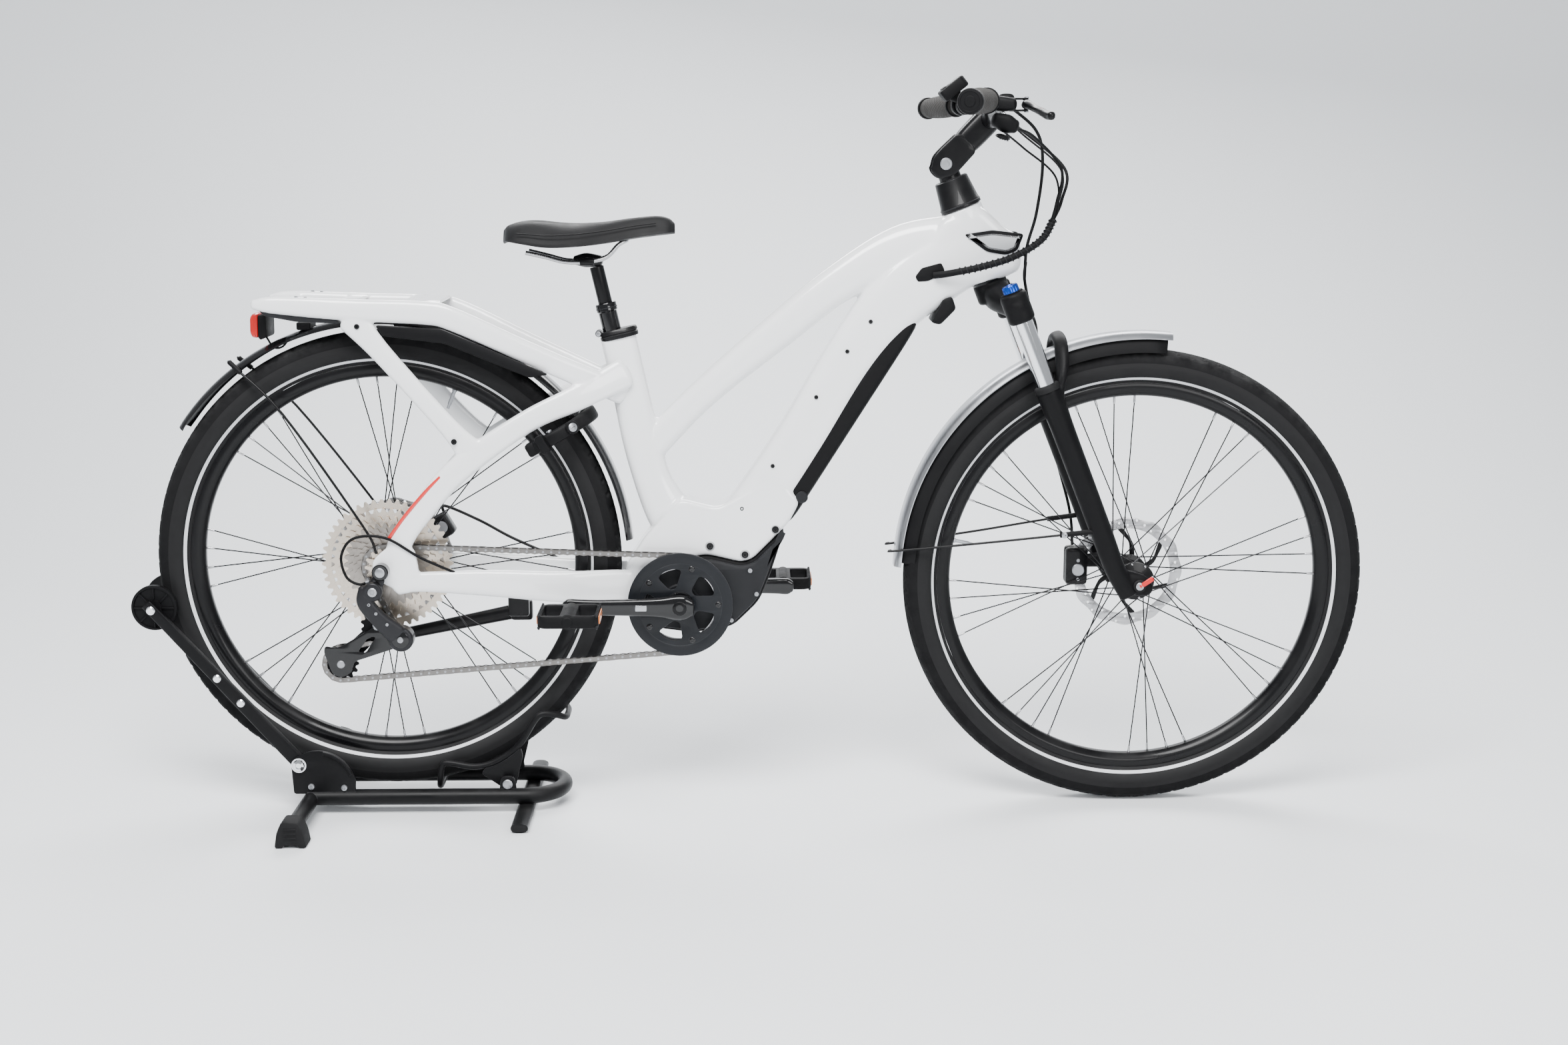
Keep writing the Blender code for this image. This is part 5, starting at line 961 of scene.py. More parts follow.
def guard(centre, start, end, half, inner, drop, wall=0.0014, steps=90):
    """Section points (radius, half width) carried from one angle to another, closed as a thin wall:
    radius = inner + wall at the crown, less drop times the fourth power of the share across."""
    u = np.linspace(-1, 1, 25)
    under = np.stack([inner - drop * np.abs(u) ** 4, half * u], axis=1)
    over = under + [wall, 0]
    section = np.concatenate([under, over[::-1]])
    a = np.radians(np.linspace(start, end, steps))[:, None]
    r, y = section[None, :, 0], section[None, :, 1]
    ends = 1 - 0.2 * np.clip(1 - np.minimum(a - a[0], a[-1] - a) / 0.05, 0, 1) ** 2
    points = centre + np.stack([r * np.cos(a), y * ends, r * np.sin(a)], axis=-1)
    n, k = steps, len(section)
    fan = np.array([[i, i + 1, k - 2 - i, k - 1 - i] for i in range(len(u) - 1)])
    return points.reshape(-1, 3), [quads(n, k), fan[:, ::-1], fan + (n - 1) * k]


def rear_guard():
    shape = Shape().add(guard(REAR, 5, 146, 0.03, 0.385, 0.009), 0)
    for s in (-1, 1):
        stay = [at(-0.008, 0.425, s * 0.079), at(-0.03, 0.47, s * 0.074), at(-0.15, 0.64, s * 0.05),
                at(-0.226, 0.712, s * 0.0335), at(-0.233, 0.718, s * 0.0285)]
        shape.add(tube(through(stay, 6), 0.0021, 12), 1)
        shape.add(rod(at(-0.214, 0.702, s * 0.036), at(-0.233, 0.719, s * 0.03), 0.004, 14), 2)
    for x, z in ((0.01, 0.792), (-0.118, 0.7725)):
        shape.add(block(at(x, z), (0.022, 0.044, 0.012), 0.002, up=(0, 1, 0)), 2)
    return piece("mudguard_rear", shape, "bike_frame", [GLOSS, BLACK, PLASTIC], "rear_mudguard")


def tail_light():
    """A silver bracket under the rail's tail, a black shell, a red lens and a lead."""
    shape = Shape()
    body = softened([(-0.173, 0.792), (-0.1735, 0.756), (-0.184, 0.752), (-0.187, 0.756), (-0.187, 0.79)],
                    0.004, 4)
    shape.add(slab(body + [REAR[0], 0], -0.029, 0.029, 0.003), 0)
    lens = softened([(-0.1855, 0.7925), (-0.1865, 0.755), (-0.196, 0.756), (-0.199, 0.764), (-0.1985, 0.786),
                     (-0.194, 0.793)], 0.004, 5)
    shape.add(slab(lens + [REAR[0], 0], -0.0305, 0.0305, 0.004), 1)
    shape.add(block(at(-0.1975, 0.774), (0.0042, 0.022, 0.026), 0.001), 3)
    strap = np.array([at(-0.15, 0.806), at(-0.163, 0.806), at(-0.172, 0.801), at(-0.1745, 0.79),
                      at(-0.175, 0.772)])
    shape.add(swept(through(strap, 5), squircle(0.036, 0.0022, 6, 24), hint=SIDE), 2)
    lead = [at(-0.178, 0.756, -0.012), at(-0.165, 0.74, -0.02), at(-0.15, 0.742, -0.024),
            at(-0.14, 0.756, -0.02)]
    shape.add(tube(through(lead, 8), 0.0016, 10), 0)
    return piece("tail_light", shape, "bike_frame", [PLASTIC, RED, ALUMINIUM, AMBER], "rear_light")


rear_guard()
tail_light()

# %% [markdown]
# The wheel lock is a broken ring of box section that holds a round shackle. Because it is leaned
# back, everything on it is stated in its own plane: away from the hub, and across.

# %% Wheel lock, seat collar, kickstand and rear brake
LOCK = pin("lock_shackle_turn")
LOCK_OUT = xyz(math.cos(math.radians(29)), 0.0, math.sin(math.radians(29)))
LOCK_AXIS = np.cross(LOCK_OUT, SIDE)


def around_lock(radius, degrees, lift=0.0):
    a = np.radians(np.asarray(degrees, float))
    return (LOCK + radius * (np.cos(a)[..., None] * LOCK_OUT - np.sin(a)[...,
            None] * SIDE) + lift * LOCK_AXIS)


def ring_lock():
    shape = Shape()
    path = around_lock(0.0632, np.linspace(-127, 127, 72))
    section = squircle(0.015, 0.0205, 3.6, 32)
    swell = 1 + 0.1 * np.exp(-((np.linspace(-127, 127, 72) / 40) ** 2))
    shape.add(swept(path, section[None] * swell[:, None, None]), 0)
    for end in (-127, 127):
        shape.add(block(around_lock(0.0632, end), (0.018, 0.024, 0.0215), 0.004, LOCK_OUT, SIDE), 0)
    keyhole = around_lock(0.0632, 62)
    out = around_lock(1.0, 62) - around_lock(0.0, 62)
    shape.add(plug([(0.0105, 0.004), (0.0105, 0.012), (0.0095, 0.0135)], keyhole, out, 36), 0)
    shape.add(plug([(0.0068, 0.01), (0.0068, 0.0142), (0.006, 0.0148)], keyhole, out, 32), 1)
    shape.add(block(keyhole + out * 0.0149, (0.001, 0.0065, 0.0006), 0.0002, LOCK_AXIS,
                    np.cross(out, LOCK_AXIS)), 2)
    knob = around_lock(0.0632, 104)
    out = around_lock(1.0, 100) - around_lock(0.0, 100)
    shape.add(block(knob + out * 0.01, (0.03, 0.015, 0.013), 0.003, LOCK_AXIS, np.cross(out, LOCK_AXIS)), 0)
    for y in (-0.0665, 0.0665):
        shape.add(fastener(LOCK + SIDE * y * 0.95 + LOCK_AXIS * 0.012, LOCK_AXIS, 0.0045, 0.002), 1)
    return piece("wheel_lock", shape, "bike_frame", [PLASTIC, ZINC, BLACK], "ring_lock_body")


def lock_shackle():
    path = around_lock(0.063, np.linspace(-28, 116, 40))
    shape = Shape().add(tube(path, 0.0037, 16))
    return piece("lock_bolt", shape, "lock_shackle", [STEEL], "lock_shackle")


def seat_collar():
    """A clamp of two bands and one screw through its ears."""
    low = post(-0.0085)
    shift = xyz(0.0095, 0.0, 0.0)
    stations = [(*(low + shift + POST_UP * k), tall, wide) for k, tall, wide in ((0.0, 0.059, 0.04), (0.0015,
            0.06, 0.041), (0.006, 0.06, 0.041), (0.0075, 0.057, 0.038), (0.009, 0.06, 0.041),
            (0.013, 0.059, 0.039), (0.0145, 0.056, 0.037))]
    shape = Shape().add(bar_through(stations, power=2.3, per_leg=1, ends=0, sides=56), 0)
    ear = post(-0.001) + xyz(-0.0215, 0.0, 0.0)
    shape.add(rod(ear - SIDE * 0.0125, ear + SIDE * 0.0125, 0.0052, 24), 0)
    shape.add(fastener(ear - SIDE * 0.0125, -SIDE, 0.0042, 0.0018), 1)
    return piece("post_collar", shape, "bike_frame", [BLACK, ZINC], "seat_collar")


def rear_brake():
    """Two cast halves over the rotor with their bolts, banjo and hose."""
    shape = Shape()
    mid = polar(REAR, 0.086, 30, 0.0585)
    along, out = xyz(math.cos(math.radians(120)), 0, math.sin(math.radians(120))), polar(REAR, 1.0, 30) - REAR
    for s in (-1, 1):
        centre = mid + SIDE * s * 0.0088
        shape.add(block(centre, (0.038, 0.027, 0.012), 0.0035, along, out), 0)
        shape.add(plug([(0.0098, 0.0), (0.0098, 0.002), (0.0088, 0.0032)], mid + SIDE * s * 0.0138, SIDE * s,
                       32), 1)
    shape.add(block(mid + out * 0.0105, (0.036, 0.01, 0.028), 0.003, along, out), 0)
    for k in (-0.0135, 0.0135):
        shape.add(fastener(mid + along * k + SIDE * 0.0148, SIDE, 0.0032, 0.0018), 1)
    hose = [mid + out * 0.012 + along * 0.014, mid + out * 0.02 + along * 0.026, at(0.132, 0.448, 0.0755),
            at(0.185, 0.42, 0.07), at(0.262, 0.388, 0.057)]
    shape.add(tube(through(hose, 8), 0.0024, 12), 0)
    return piece("rear_brake_caliper", shape, "bike_frame", [BLACK, ZINC], "rear_caliper")


def kickstand():
    hinge = pin("kickstand_swing")
    shape = Shape()
    shape.add(block(hinge + xyz(0.002, 0.004, -0.002), (0.036, 0.034, 0.014), 0.004), 0)
    foot = hinge + xyz(-0.262, 0.014, -0.058)
    start = hinge + xyz(-0.004, 0.006, -0.004)
    rows_ = [(*(start + (foot - start) * t), tall, wide) for t, tall, wide in ((0.0, 0.026, 0.015), (0.08,
            0.024, 0.014), (0.5, 0.021, 0.0135), (0.9, 0.0185, 0.013))]
    shape.add(bar_through(rows_, power=2.3, ends=0.3, sides=32), 0)
    shape.add(bar_through([(*(start + (foot - start) * t), 0.0215 - 0.003 * k, 0.019) for k,
                           t in enumerate((0.88, 0.93, 1.0))], power=2.3, ends=0.5, sides=32), 1)
    return piece("kickstand_leg", shape, "kick_leg", [BLACK, DARKRUB], "kick_leg")


ring_lock()
lock_shackle()
seat_collar()
rear_brake()
kickstand()

# %% [markdown]
# The motor is a cast shell hung in the bay under the frame. Its faces bulge a little, so two plates of different
# outline and thickness are stacked, then bosses, screws and a ring round the crank axle added.

# %% Motor


def motor():
    foot = [(x, z - 0.0012) for x, z in BAY_FOOT[:-1]]
    full = foot + [(0.166, 0.117), (0.141, 0.04), (0.124, -0.001), (0.082, -0.042), (0.02, -0.052),
                   (-0.04, -0.044), (-0.06, -0.02)]
    line = outline_at(BB, full, 0.014)
    shape = Shape().add(slab(line, -0.0325, 0.0325, 0.004), 0)
    shape.add(slab(inset(line, 0.0042), -0.0395, 0.0395, 0.005), 1)
    for s in (-1, 1):
        for x, z in ((0.11, 0.05), (0.12, 0.012), (0.08, -0.03), (0.02, -0.04), (-0.034, -0.034),
                     (-0.046, -0.006)):
            shape.add(plug([(0.0058, -0.004), (0.0058, 0.001)], near_bb(x, z, s * 0.039), SIDE * s, 24), 1)
            shape.add(fastener(near_bb(x, z, s * 0.0398), SIDE * s, 0.0036, 0.0014), 2)
        shape.add(turned([(0.0128, 0.036), (0.03, 0.036), (0.03, 0.0405), (0.0275, 0.0425), (0.0128, 0.0425)],
                         BB, SIDE * s, 72, loop=True), 1)
    return piece("motor_unit", shape, "bike_frame", [PLASTIC, GREYPLASTIC, ZINC], "drive_unit")


motor()

# %% [markdown]
# A chain is one link repeated along a path that wraps four toothed wheels. The belt round the
# wheels is found from their tangents, measured off in equal steps of one link, and every link's
# points are placed in one array step.

# %% Chain, cassette and jockey wheels
CHAIN_PITCH, LINK_ROUND = 0.0127, 0.0042
RING_TEETH, COG_TEETH, JOCKEY_TEETH = 38, 16, 13
RING_SIDE, COG_SIDE = 0.052, 0.058


def pitch_radius(teeth):
    """The radius on which a chain's pins lie: half the pitch over the sine of half a tooth's angle."""
    return CHAIN_PITCH / (2 * math.sin(math.pi / teeth))


RING_RADIUS, COG_RADIUS, JOCKEY_RADIUS = (pitch_radius(t) for t in (RING_TEETH, COG_TEETH, JOCKEY_TEETH))
GUIDE, TENSION = pin("guide_pulley_spin"), pin("tension_pulley_spin")


def belt(wheels):
    """The closed path round wheels of (centre, radius, sense), from the tangent between each pair."""
    legs = []
    for (a, ra, sa), (b, rb, sb) in zip(wheels, wheels[1:] + wheels[:1]):
        step = (b - a)[[0, 2]]
        reach = np.hypot(*step)
        normal = math.atan2(step[1], step[0]) + math.asin((sb * rb - sa * ra) / reach) + math.pi / 2
        out = xyz(math.cos(normal), 0, math.sin(normal))
        legs.append((a + out * ra * sa, b + out * rb * sb))
    path = []
    for i, (centre, radius, sense) in enumerate(wheels):
        start, end = legs[i - 1][1], legs[i][0]
        first = math.atan2(start[2] - centre[2], start[0] - centre[0])
        last = math.atan2(end[2] - centre[2], end[0] - centre[0])
        turn = ((first - last) if sense > 0 else (last - first)) % (2 * math.pi)
        angles = first - sense * np.linspace(0, turn, max(4, int(turn / 0.06)))
        path.append(centre + radius * np.stack([np.cos(angles), 0 * angles, np.sin(angles)], axis=1))
    return np.concatenate(path)


def chain():
    ring_at, cog_at = BB - SIDE * RING_SIDE, REAR - SIDE * COG_SIDE
    path = belt([(ring_at, RING_RADIUS, 1), (TENSION, JOCKEY_RADIUS, 1), (GUIDE, JOCKEY_RADIUS, -1),
                 (cog_at, COG_RADIUS, 1)])
    path = np.concatenate([path, path[:1]])
    gone = np.concatenate([[0], np.cumsum(np.linalg.norm(np.diff(path, axis=0), axis=1))])
    count = 2 * round(gone[-1] / (2 * CHAIN_PITCH))
    marks = np.arange(count + 1) / count * gone[-1]
    pins = np.stack([np.interp(marks, gone, path[:, k]) for k in range(3)], axis=1)
    a, b = pins[:-1], pins[1:]
    ahead = (b - a) / np.linalg.norm(b - a, axis=1)[:, None]
    up = np.cross(ahead, SIDE)
    t = np.linspace(0, np.pi, 6)
    half_length = np.linalg.norm(b - a, axis=1)[:, None] / 2
    u = np.concatenate([LINK_ROUND * np.sin(t), [0.0], -LINK_ROUND * np.sin(t), [0.0]])
    v = np.concatenate([LINK_ROUND * np.cos(t), [-0.003], -LINK_ROUND * np.cos(t), [0.003]])
    push = np.concatenate([np.ones(6), [0], -np.ones(6), [0]])
    shape = Shape()
    k = len(u)
    fan = np.array([[0, i, i + 1] for i in range(1, k - 1)])
    for near, far in ((0.0022, 0.0031), (0.0033, 0.0042)):
        some = np.arange(0 if near < 0.003 else 1, count, 2)
        for s in (-1, 1):
            layers = []
            for y in (s * near, s * far):
                middle = (a[some] + b[some]) / 2
                along = (u[None] + push[None] * half_length[some])[..., None] * ahead[some, None]
                layers.append(middle[:, None] + along + v[None, :, None] * up[some, None] + SIDE * y)
            points = np.stack(layers, axis=1)
            base = (np.arange(len(some)) * 2 * k)[:, None, None]
            faces = [(quads(2, k)[None] + base).reshape(-1, 4), (fan[None] + base).reshape(-1, 3),
                     (fan[None, :, ::-1] + k + base).reshape(-1, 3)]
            shape.add((points.reshape(-1, 3), faces), 0)
    for spot in pins[:-1]:
        shape.add(plug([(0.0038, -0.0021), (0.0038, 0.0021)], spot, SIDE, 10), 1)
        shape.add(plug([(0.0018, -0.0048), (0.0018, 0.0048)], spot, SIDE, 8), 1)
    print("links:", count)
    return piece("chain_links", shape, "bike_frame", [LINKSTEEL, ZINC], "chain", crease=50)


def cassette():
    """Twelve cogs, widest inboard; holes lighten the wide ones; a clear guard disc behind them."""
    shape = Shape()
    teeth = [50, 43, 37, 32, 28, 24, 21, 18, 16, 14, 12, 10]
    where = np.linspace(-0.0325, -0.0688, 12)
    for i, (t, y) in enumerate(zip(teeth, where)):
        pitch = pitch_radius(t)
        hole = max(pitch - (0.02 if i < 5 else 0.012), 0.0135) if i != 0 else pitch - 0.013
        # the middle six cogs and the spiders take the darker grey, partly painted shade between the cogs
        shape.add(toothed(REAR + SIDE * y, t, pitch - 0.0042, pitch + 0.0022, -0.0009, 0.0009, hole),
                  0 if i < 3 or i > 8 else 1)
        if i < 6:
            for k in range(6):
                arm = [polar(REAR, r, 60 * k + 10 * i + d)[[0, 2]] for r,
                       d in ((pitch - 0.01, -7), (pitch - 0.01, 7), (0.014, 22), (0.014, -8))]
                shape.add(slab(softened(arm, 0.003, 3), y - 0.0008, y + 0.0008), 1)
    shape.add(turned([(0.0072, -0.0325), (0.015, -0.0325), (0.015, -0.069), (0.0135, -0.0705),
                      (0.0072, -0.0705)], REAR, SIDE, 48, loop=True), 2)
    shape.add(turned([(0.031, -0.03), (0.09, -0.029), (0.0905, -0.0285), (0.09, -0.0278), (0.031, -0.0288)],
                     REAR, SIDE, 120, loop=True), 3)
    return piece("cassette_cogs", shape, "cassette", [CHAMPAGNE, SHADED_GREY_COG, GUNMETAL, CLEAR], "cassette",
                 crease=45)


def jockey(name, centre, body):
    shape = Shape()
    shape.add(toothed(centre, JOCKEY_TEETH, JOCKEY_RADIUS - 0.0042, JOCKEY_RADIUS + 0.0006, -0.0011, 0.0011,
                      0.0074), 0)
    shape.add(turned([(0.003, -0.0034), (0.0076, -0.0034), (0.0085, -0.0016), (0.0085, 0.0016),
                      (0.0076, 0.0034), (0.003, 0.0034)], centre, SIDE, 36, loop=True), 1)
    return piece(name + "_wheel", shape, body, [PLASTIC, ZINC], name, crease=45)


chain()
cassette()
jockey("guide_pulley", GUIDE, "guide_pulley")
jockey("tension_pulley", TENSION, "tension_pulley")

# %% [markdown]
# The derailleur hangs behind the cassette. Its knuckles are short cylinders, its links flattened
# bars, and its cage two plates with a window, so each is swept or cut out and then gathered.

# %% Derailleur


def derailleur_body():
    hinge = at(0.026, 0.291)
    surfaces = [rod(at(-0.012, 0.37, -0.108), at(-0.012, 0.37, -0.087), 0.0148, 40, 0.002),
                rod(hinge - SIDE * 0.0935, hinge - SIDE * 0.0675, 0.0196, 48, 0.003),
                bar_through([(*at(-0.022, 0.372, -0.1), 0.026, 0.014), (*at(-0.0245, 0.352, -0.099), 0.026,
            0.015), (*at(-0.006, 0.326, -0.096), 0.026, 0.016), (*at(0.018, 0.301, -0.089), 0.034, 0.018)],
                            power=3.0, ends=0.3, sides=40), bar_through([(*at(-0.004, 0.388, -0.093), 0.02,
            0.008), (*at(-0.012, 0.37, -0.093), 0.022, 0.008)], power=3.0, ends=0.3)]
    mesh = welded("derailleur_form", surfaces, 0.0013, 3)
    return piece("derailleur_links", mesh, "bike_frame", [GUNMETAL], "derailleur_body",
                 crease=55)


def derailleur_trim():
    shape = Shape()
    hinge = at(0.026, 0.291)
    shape.add(rod(at(0, 0.4, -0.104), at(0, 0.4, -0.086), 0.0128, 40, 0.0015), 1)
    shape.add(plug([(0.0075, 0.0), (0.0075, 0.0012), (0.0062, 0.002)], at(0, 0.4, -0.104), -SIDE, 36), 0)
    shape.add(fastener(at(-0.012, 0.37, -0.108), -SIDE, 0.007, 0.0018, 28), 0)
    shape.add(plug([(0.013, 0.0), (0.013, 0.0008), (0.0115, 0.0015)], hinge - SIDE * 0.0935, -SIDE, 40), 1)
    shape.add(fastener(hinge - SIDE * 0.0945, -SIDE, 0.0048, 0.0018), 0)
    for x, z in ((-0.0185, 0.35), (-0.008, 0.336), (0.008, 0.318)):
        shape.add(fastener(at(x, z, -0.1055 + 0.3 * max(x, 0)), -SIDE, 0.0026, 0.0014, 16), 0)
    inner = bar_through([(*at(-0.03, 0.352, -0.089), 0.014, 0.005), (*at(0.01, 0.306, -0.08), 0.014, 0.005)],
                        power=3.0)
    shape.add(inner, 1)
    housing = [at(-0.018, 0.385, -0.094), at(-0.034, 0.38, -0.094), at(-0.0535, 0.392, -0.0935),
               at(-0.06, 0.425, -0.093), at(-0.04, 0.452, -0.0915), at(0.008, 0.452, -0.09),
               at(0.06, 0.42, -0.085), at(0.115, 0.392, -0.074)]
    shape.add(tube(through(housing, 10), 0.0022, 12), 2)
    shape.add(rod(at(-0.018, 0.385, -0.094), at(-0.024, 0.383, -0.094), 0.003, 16), 0)
    return piece("derailleur_fixings", shape, "bike_frame", [ZINC, GLOSS, PLASTIC])


def cage():
    """Two plates over the jockey wheels: the outer one has a window and a tail."""
    shape = Shape()
    hinge = at(0.026, 0.291)
    g, t = GUIDE[[0, 2]], TENSION[[0, 2]]
    outer = [hinge[[0, 2]] + [0.017, 0.004], hinge[[0, 2]] + [0.008, 0.016], g + [0.004, 0.01],
             g + [-0.01, -0.004], t + [-0.004, 0.026], t + [-0.024, 0.03], t + [-0.026, 0.02],
             t + [-0.014, -0.016], t + [0.0, -0.022], t + [0.017, -0.013], t + [0.02, 0.004],
             hinge[[0, 2]] + [0.012, -0.012]]
    mid = (g + t) / 2 + [0.014, 0.0]
    window = softened([mid + [0.013, 0.014], mid + [0.001, 0.013], mid + [-0.016, -0.01],
                       mid + [-0.004, -0.012]], 0.004, 3)
    shape.add(slab(softened(outer, 0.008, 4), -0.0652, -0.0638, 0.0004, [window]), 0)
    inner = [g + [0.008, 0.006], g + [-0.008, 0.006], t + [-0.012, 0.01], t + [-0.01, -0.012],
             t + [0.008, -0.01], g + [0.01, -0.01]]
    shape.add(slab(softened(inner, 0.006, 4), -0.0525, -0.0511, 0.0004), 0)
    for c in (GUIDE, TENSION):
        shape.add(rod(c - SIDE * 0.007, c + SIDE * 0.0068, 0.0026, 16), 1)
        shape.add(plug([(0.0062, 0.0), (0.0062, 0.0008), (0.0052, 0.0018)], c - SIDE * 0.0072, -SIDE, 28), 1)
    return piece("derailleur_cage_plates", shape, "bike_frame", [GLOSS, ZINC], "derailleur_cage",
                 crease=30)


derailleur_body()
derailleur_trim()
cage()

# %% [markdown]
# The crank set: a toothed ring, a guard disc with openings, and two tapered arms. Pedals are a frame with two
# windows, a spindle barrel, studded cage plates and reflectors.

# %% Chainring, cranks and pedals
PEDALS = {side: pin(f"pedal_{side}_spin") for side, _ in both_sides()}


def chainring():
    shape = Shape()
    shape.add(toothed(BB - SIDE * RING_SIDE, RING_TEETH, RING_RADIUS - 0.0046, RING_RADIUS + 0.0018, -0.001,
                      0.001, 0.056), 1)
    line = disc_outline(BB, 0.0826, 120)
    wells = []
    for i in range(5):
        m = 72 * i + 36
        window = [polar(BB, r, m + d)[[0, 2]] for r, d in ((0.0555, -21), (0.0585, -8), (0.0585, 8),
                (0.0555, 21), (0.029, 17), (0.0265, -4))]
        wells.append(softened(window, 0.008, 4))
    shape.add(slab(line, -0.06, -0.0572, 0.0007, [*wells, disc_outline(BB, 0.0128, 40)]), 0)
    shape.add(turned([(0.0665, -0.056), (0.0825, -0.0572), (0.0825, -0.06), (0.08, -0.0606),
                      (0.0675, -0.0606), (0.066, -0.06)], BB, SIDE, 120, loop=True), 0)
    for i in range(5):
        arm = polar(BB, 0.06, 72 * i)
        shape.add(rod(arm - SIDE * 0.0605, arm - SIDE * 0.0505, 0.0052, 24), 2)
        shape.add(fastener(arm - SIDE * 0.0606, -SIDE, 0.0046, 0.0012), 2)
    shape.add(turned([(0.0124, -0.048), (0.018, -0.048), (0.0215, -0.056), (0.0215, -0.061),
                      (0.0195, -0.0635), (0.0124, -0.0635)], BB, SIDE, 64, loop=True), 2)
    return piece("chainring_and_guard", shape, "crank", [SLATE, STEEL, GLOSS], "chainring",
                 crease=35)


def crank(side, s):
    tip = PEDALS[side] * [1, 0, 1]
    along = (tip - BB) / np.linalg.norm(tip - BB)
    root = s * 0.078
    stations = [(*(BB - along * 0.019 + SIDE * root), 0.026, 0.015), (*(BB - along * 0.008 + SIDE * root),
            0.038, 0.018), (*(BB + along * 0.008 + SIDE * (root + s * 0.0005)), 0.038, 0.018),
                (*(BB + along * 0.03 + SIDE * s * 0.081), 0.031, 0.0165),
                (*(BB + along * 0.06 + SIDE * s * 0.085), 0.0275, 0.015),
                (*(BB + along * 0.12 + SIDE * s * 0.094), 0.0245, 0.013),
                (*(tip - along * 0.012 + SIDE * s * 0.0975), 0.0255, 0.013),
                (*(tip + along * 0.006 + SIDE * s * 0.098), 0.0265, 0.013),
                (*(tip + along * 0.014 + SIDE * s * 0.098), 0.018, 0.012)]
    arm = bar_through(stations, power=3.2, per_leg=6, ends=0.15, sides=40)
    shape = Shape().add(arm, 0)
    shape.add(plug([(0.011, 0.0), (0.011, 0.0014), (0.0096, 0.0022), (0.006, 0.0022), (0.006, 0.0004)],
                   BB + SIDE * s * 0.0866, SIDE * s, 48), 1)
    shape.add(rod(tip + SIDE * s * 0.095, tip + SIDE * s * 0.1955, 0.006, 28), 2)
    shape.add(plug([(0.0085, 0.0), (0.0085, 0.0024), (0.0075, 0.003)], tip + SIDE * s * 0.104, SIDE * s, 6),
              2)
    badge = bar_through([(*(BB + along * (0.052 + k * 0.016) + SIDE * s * (0.0922 + 0.0022 * k)), 0.009,
                          0.0012) for k in range(2)], power=4, per_leg=1, ends=0.1)
    shape.add(badge, 3)
    return piece(f"crank_{side}", shape, "crank", [GLOSS, BLACK, STEEL, ALUMINIUM], f"crank_arm_{side}")


def pedal(side, s):
    mid = PEDALS[side] * [1, 0, 1] + SIDE * s * 0.157
    shape = Shape()
    top = plane(mid, (1, 0, 0), (0, 1, 0))
    line = softened([(-0.046, -0.036), (-0.036, -0.045), (0.036, -0.045), (0.046, -0.036), (0.046, 0.036),
                     (0.036, 0.045), (-0.036, 0.045), (-0.046, 0.036)], 0.008, 3)
    windows = [softened([(k * 0.0125, -0.034), (k * 0.038, -0.034), (k * 0.04, -0.03), (k * 0.04, 0.03),
                         (k * 0.038, 0.034), (k * 0.0125, 0.034)][::k], 0.004, 3) for k in (-1, 1)]
    shape.add(slab(line, -0.0095, 0.0095, 0.0025, windows, top), 0)
    shape.add(rod(mid - SIDE * 0.043, mid + SIDE * 0.043, 0.0118, 32, 0.002), 0)
    for k in (-1, 1):
        for h in (-1, 1):
            shape.add(block(mid + xyz(k * 0.0435, 0, h * 0.0088), (0.004, 0.08, 0.004), 0.001, up=(0, 1, 0)),
                      1)
            for n in range(9):
                shape.add(plug([(0.0019, 0.0), (0.0017, 0.0016), (0.0008, 0.0022)],
                               mid + xyz(k * 0.0435, (n - 4) * 0.009, h * 0.0102), (0, 0, h), 10), 1)
        shape.add(block(mid + xyz(k * 0.0462, 0, 0), (0.052, 0.0125, 0.003), 0.0008, (0, 1, 0), (0, 0, 1)), 2)
    shape.add(plug([(0.0085, 0.0), (0.0085, 0.002), (0.007, 0.0032)], mid + SIDE * s * 0.0432, SIDE * s, 32),
              0)
    return piece(f"pedal_body_{side}", shape, f"pedal_{side}", [PLASTIC, GREYPLASTIC, AMBER], f"pedal_{side}")


chainring()
for side, s in both_sides():
    crank(side, s)
    pedal(side, s)

# %% [markdown]
# The suspension fork has a forged crown with two chrome tubes, and one casting that slides on
# them: two legs, an arch over the tyre and the axle lugs. Castings are welded from swept bars.

# %% Fork crown, chrome tubes and lower casting
LEG, AHEAD_OF = 0.066, 0.021


def crown():
    stations = [(*steer(-0.049, AHEAD_OF, -0.078), 0.03, 0.032), (*steer(-0.046, 0.018, -0.055), 0.035,
            0.036), (*steer(-0.03, 0.006, -0.024), 0.043, 0.046), (*steer(-0.026, 0.004, 0.0), 0.044, 0.05),
                (*steer(-0.03, 0.006, 0.024), 0.043, 0.046), (*steer(-0.046, 0.018, 0.055), 0.035, 0.036),
                (*steer(-0.049, AHEAD_OF, 0.078), 0.03, 0.032)]
    surfaces = [bar_through(stations, power=2.6, ends=0.35, across=UP), rod(steer(-0.034), steer(-0.0006),
            0.027, 48, 0.003)]
    for s in (-1, 1):
        surfaces.append(rod(steer(-0.0735, AHEAD_OF, s * LEG), steer(-0.0255, AHEAD_OF, s * LEG), 0.0213, 48,
                            0.004))
    return piece("crown_forging", welded("crown_form", surfaces, 0.0018, 5), "steering", [MATTE],
                 "fork_crown", crease=60)


